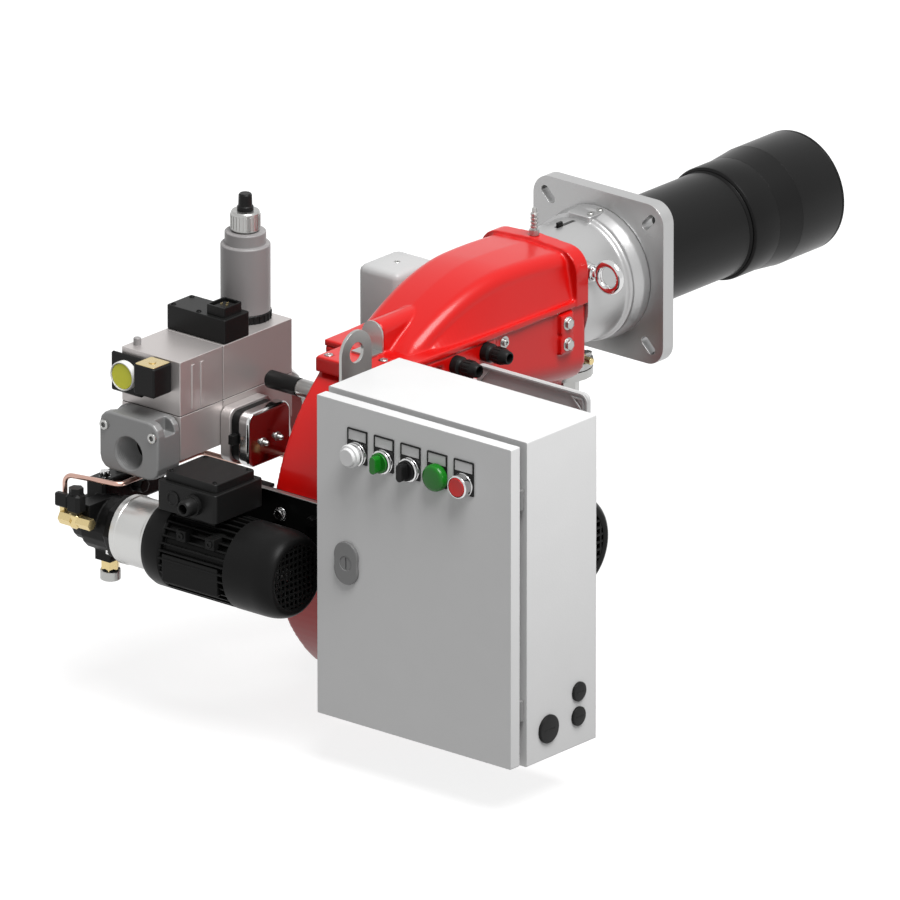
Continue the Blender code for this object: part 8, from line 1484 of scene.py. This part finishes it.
    def lock_and_plugs(self) -> None:
        """Two-lobed lock cover, and the blanking plugs on the right wall."""
        x, z = self.lock
        lobe, radius = 0.0085, 0.0177
        upper = arc(x, z + lobe, radius, -14.0, 194.0, 32)
        lower = arc(x, z - lobe, radius, 166.0, 374.0, 32)
        cover = Draft().prism(Axis.Y, self.door_front - 0.0043, self.door_front + 0.0002, [upper + lower, circle(x, z, 0.0084, 40)])
        self.shop.mount(cover.finish("lock_cover", self.shop.of(Palette.lock_grey), 0.0012, 4), "cabinet_door")
        self.shop.dress(Palette.lock_grey, "lock_insert")
        for label, radius, places in (("large", 0.0173, [(0.0383, 0.0369)]), ("small", 0.0118, [(0.0932, 0.0674), (0.0923, 0.0371)])):
            points = [(self.right - 0.0002, -0.6146 + dy, -0.3584 + dz) for dy, dz in places]
            plug = Draft().lathe(Axis.Z, (0.0, 0.0, 0.0), [
                (0.0, 0.0), (0.0, radius), (0.0026, radius), (0.0036, radius - 0.0012), (0.0041, radius * 0.5), (0.0041, 0.0),
            ], 48)
            piece = self.shop.rows(f"blanking_plugs_{label}", plug, points, Axis.X.vector(), Palette.black_plastic)
            self.shop.mount(piece, "burner")
            bar = Draft().block((-0.0012, 0.0012), (-radius * 0.55, radius * 0.55), (0.0036, 0.00418))
            slots = self.shop.rows(f"plug_slots_{label}", bar, points, Axis.X.vector(), Palette.black_cast)
            self.shop.mount(slots, "burner")

    def build(self) -> None:
        """Makes the cabinet's pieces in order."""
        self.enclosure()
        self.door()
        self.shop.dress(Palette.steel, "mounting_plate")
        self.legends()
        self.bezels()
        self.buttons()
        self.lock_and_plugs()


@dataclass
class Studio:
    """Camera at the photograph's viewpoint, pale floor and plain soft light."""

    place: Point = (17.757286, -21.344746, 9.960304)
    right: Point = (0.76443, 0.64471, 0.0)
    up: Point = (-0.22217, 0.26342, 0.93875)
    back: Point = (0.6052, -0.7176, 0.3446)
    lens: float = 1000.0
    floor_size: float = 60.0
    sun: Point = (0.42, -0.10, 0.90)
    sun_strength: float = 4.35
    fill: float = 0.28

    def camera(self) -> None:
        """Makes the camera and sets it as the scene's own."""
        data = bpy.data.cameras.new("camera")
        data.lens, data.sensor_width, data.clip_end = self.lens, 36.0, 200.0
        camera = bpy.data.objects.new("camera", data)
        turn = Matrix((self.right, self.up, self.back)).transposed().to_4x4()
        camera.matrix_world = Matrix.Translation(self.place) @ turn
        bpy.context.scene.collection.objects.link(camera)
        bpy.context.scene.camera = camera

    def seen_white(self, tree: bpy.types.NodeTree) -> bpy.types.NodeSocket:
        """One where a ray comes from the camera, or off or through a clear or glossy surface, else zero."""
        path = tree.nodes.new("ShaderNodeLightPath")
        total = path.outputs["Is Camera Ray"]
        for label in ("Is Glossy Ray", "Is Transmission Ray"):
            most = tree.nodes.new("ShaderNodeMath")
            most.operation = "MAXIMUM"
            tree.links.new(total, most.inputs[0])
            tree.links.new(path.outputs[label], most.inputs[1])
            total = most.outputs[0]
        return total

    def floor(self) -> None:
        """Pale floor under the object that keeps its shadow."""
        half, z = self.floor_size / 2.0, CAD_BOX[0][2] - 0.0005
        data = bpy.data.meshes.new("floor")
        data.from_pydata([(-half, -half, z), (half, -half, z), (half, half, z), (-half, half, z)], [], [(0, 1, 2, 3)])
        floor = bpy.data.objects.new("floor", data)
        bpy.context.scene.collection.objects.link(floor)
        material = bpy.data.materials.new("pale_floor")
        material.use_nodes = True
        tree = material.node_tree
        shader = tree.nodes["Principled BSDF"]
        shader.inputs["Base Color"].default_value = (0.25, 0.25, 0.25, 1.0)
        shader.inputs["Roughness"].default_value = 1.0
        shader.inputs["Specular IOR Level"].default_value = 0.0
        glow = tree.nodes.new("ShaderNodeMath")
        glow.operation = "MULTIPLY"
        glow.inputs[1].default_value = 0.84
        tree.links.new(self.seen_white(tree), glow.inputs[0])
        shader.inputs["Emission Color"].default_value = (1.0, 1.0, 1.0, 1.0)
        tree.links.new(glow.outputs[0], shader.inputs["Emission Strength"])
        data.materials.append(material)

    def world(self) -> None:
        """White surroundings that light the object softly."""
        world = bpy.data.worlds.new("studio")
        world.use_nodes = True
        tree = world.node_tree
        shader = tree.nodes["Background"]
        span = tree.nodes.new("ShaderNodeMapRange")
        span.inputs["To Min"].default_value = self.fill
        span.inputs["To Max"].default_value = 1.0
        tree.links.new(self.seen_white(tree), span.inputs["Value"])
        tree.links.new(span.outputs["Result"], shader.inputs["Strength"])
        shader.inputs["Color"].default_value = (1.0, 1.0, 1.0, 1.0)
        bpy.context.scene.world = world

    def lamp(self) -> None:
        """One broad lamp above, to the right and a little in front."""
        data = bpy.data.lights.new("key", "SUN")
        data.energy, data.angle = self.sun_strength, math.radians(38.0)
        lamp = bpy.data.objects.new("key", data)
        lamp.matrix_world = Vector(self.sun).to_track_quat("Z", "Y").to_matrix().to_4x4()
        bpy.context.scene.collection.objects.link(lamp)

    def build(self) -> None:
        """Makes the camera, floor, world and lamp, with the plain view transform."""
        self.camera()
        self.floor()
        self.world()
        self.lamp()
        bpy.context.scene.view_settings.view_transform = "Standard"


def main() -> None:
    """Builds the studio and every sub-assembly in order."""
    logging.basicConfig(level=logging.INFO, format="%(message)s")
    shop = Workshop()
    Studio().build()
    for assembly in (
        CombustionHead(shop), FanHousing(shop), Drives(shop), OilSide(shop), GasTrain(shop), Junction(shop), Cabinet(shop)
    ):
        assembly.build()
        LOG.info("built %s", type(assembly).__name__)


if __name__ == "__main__":
    main()
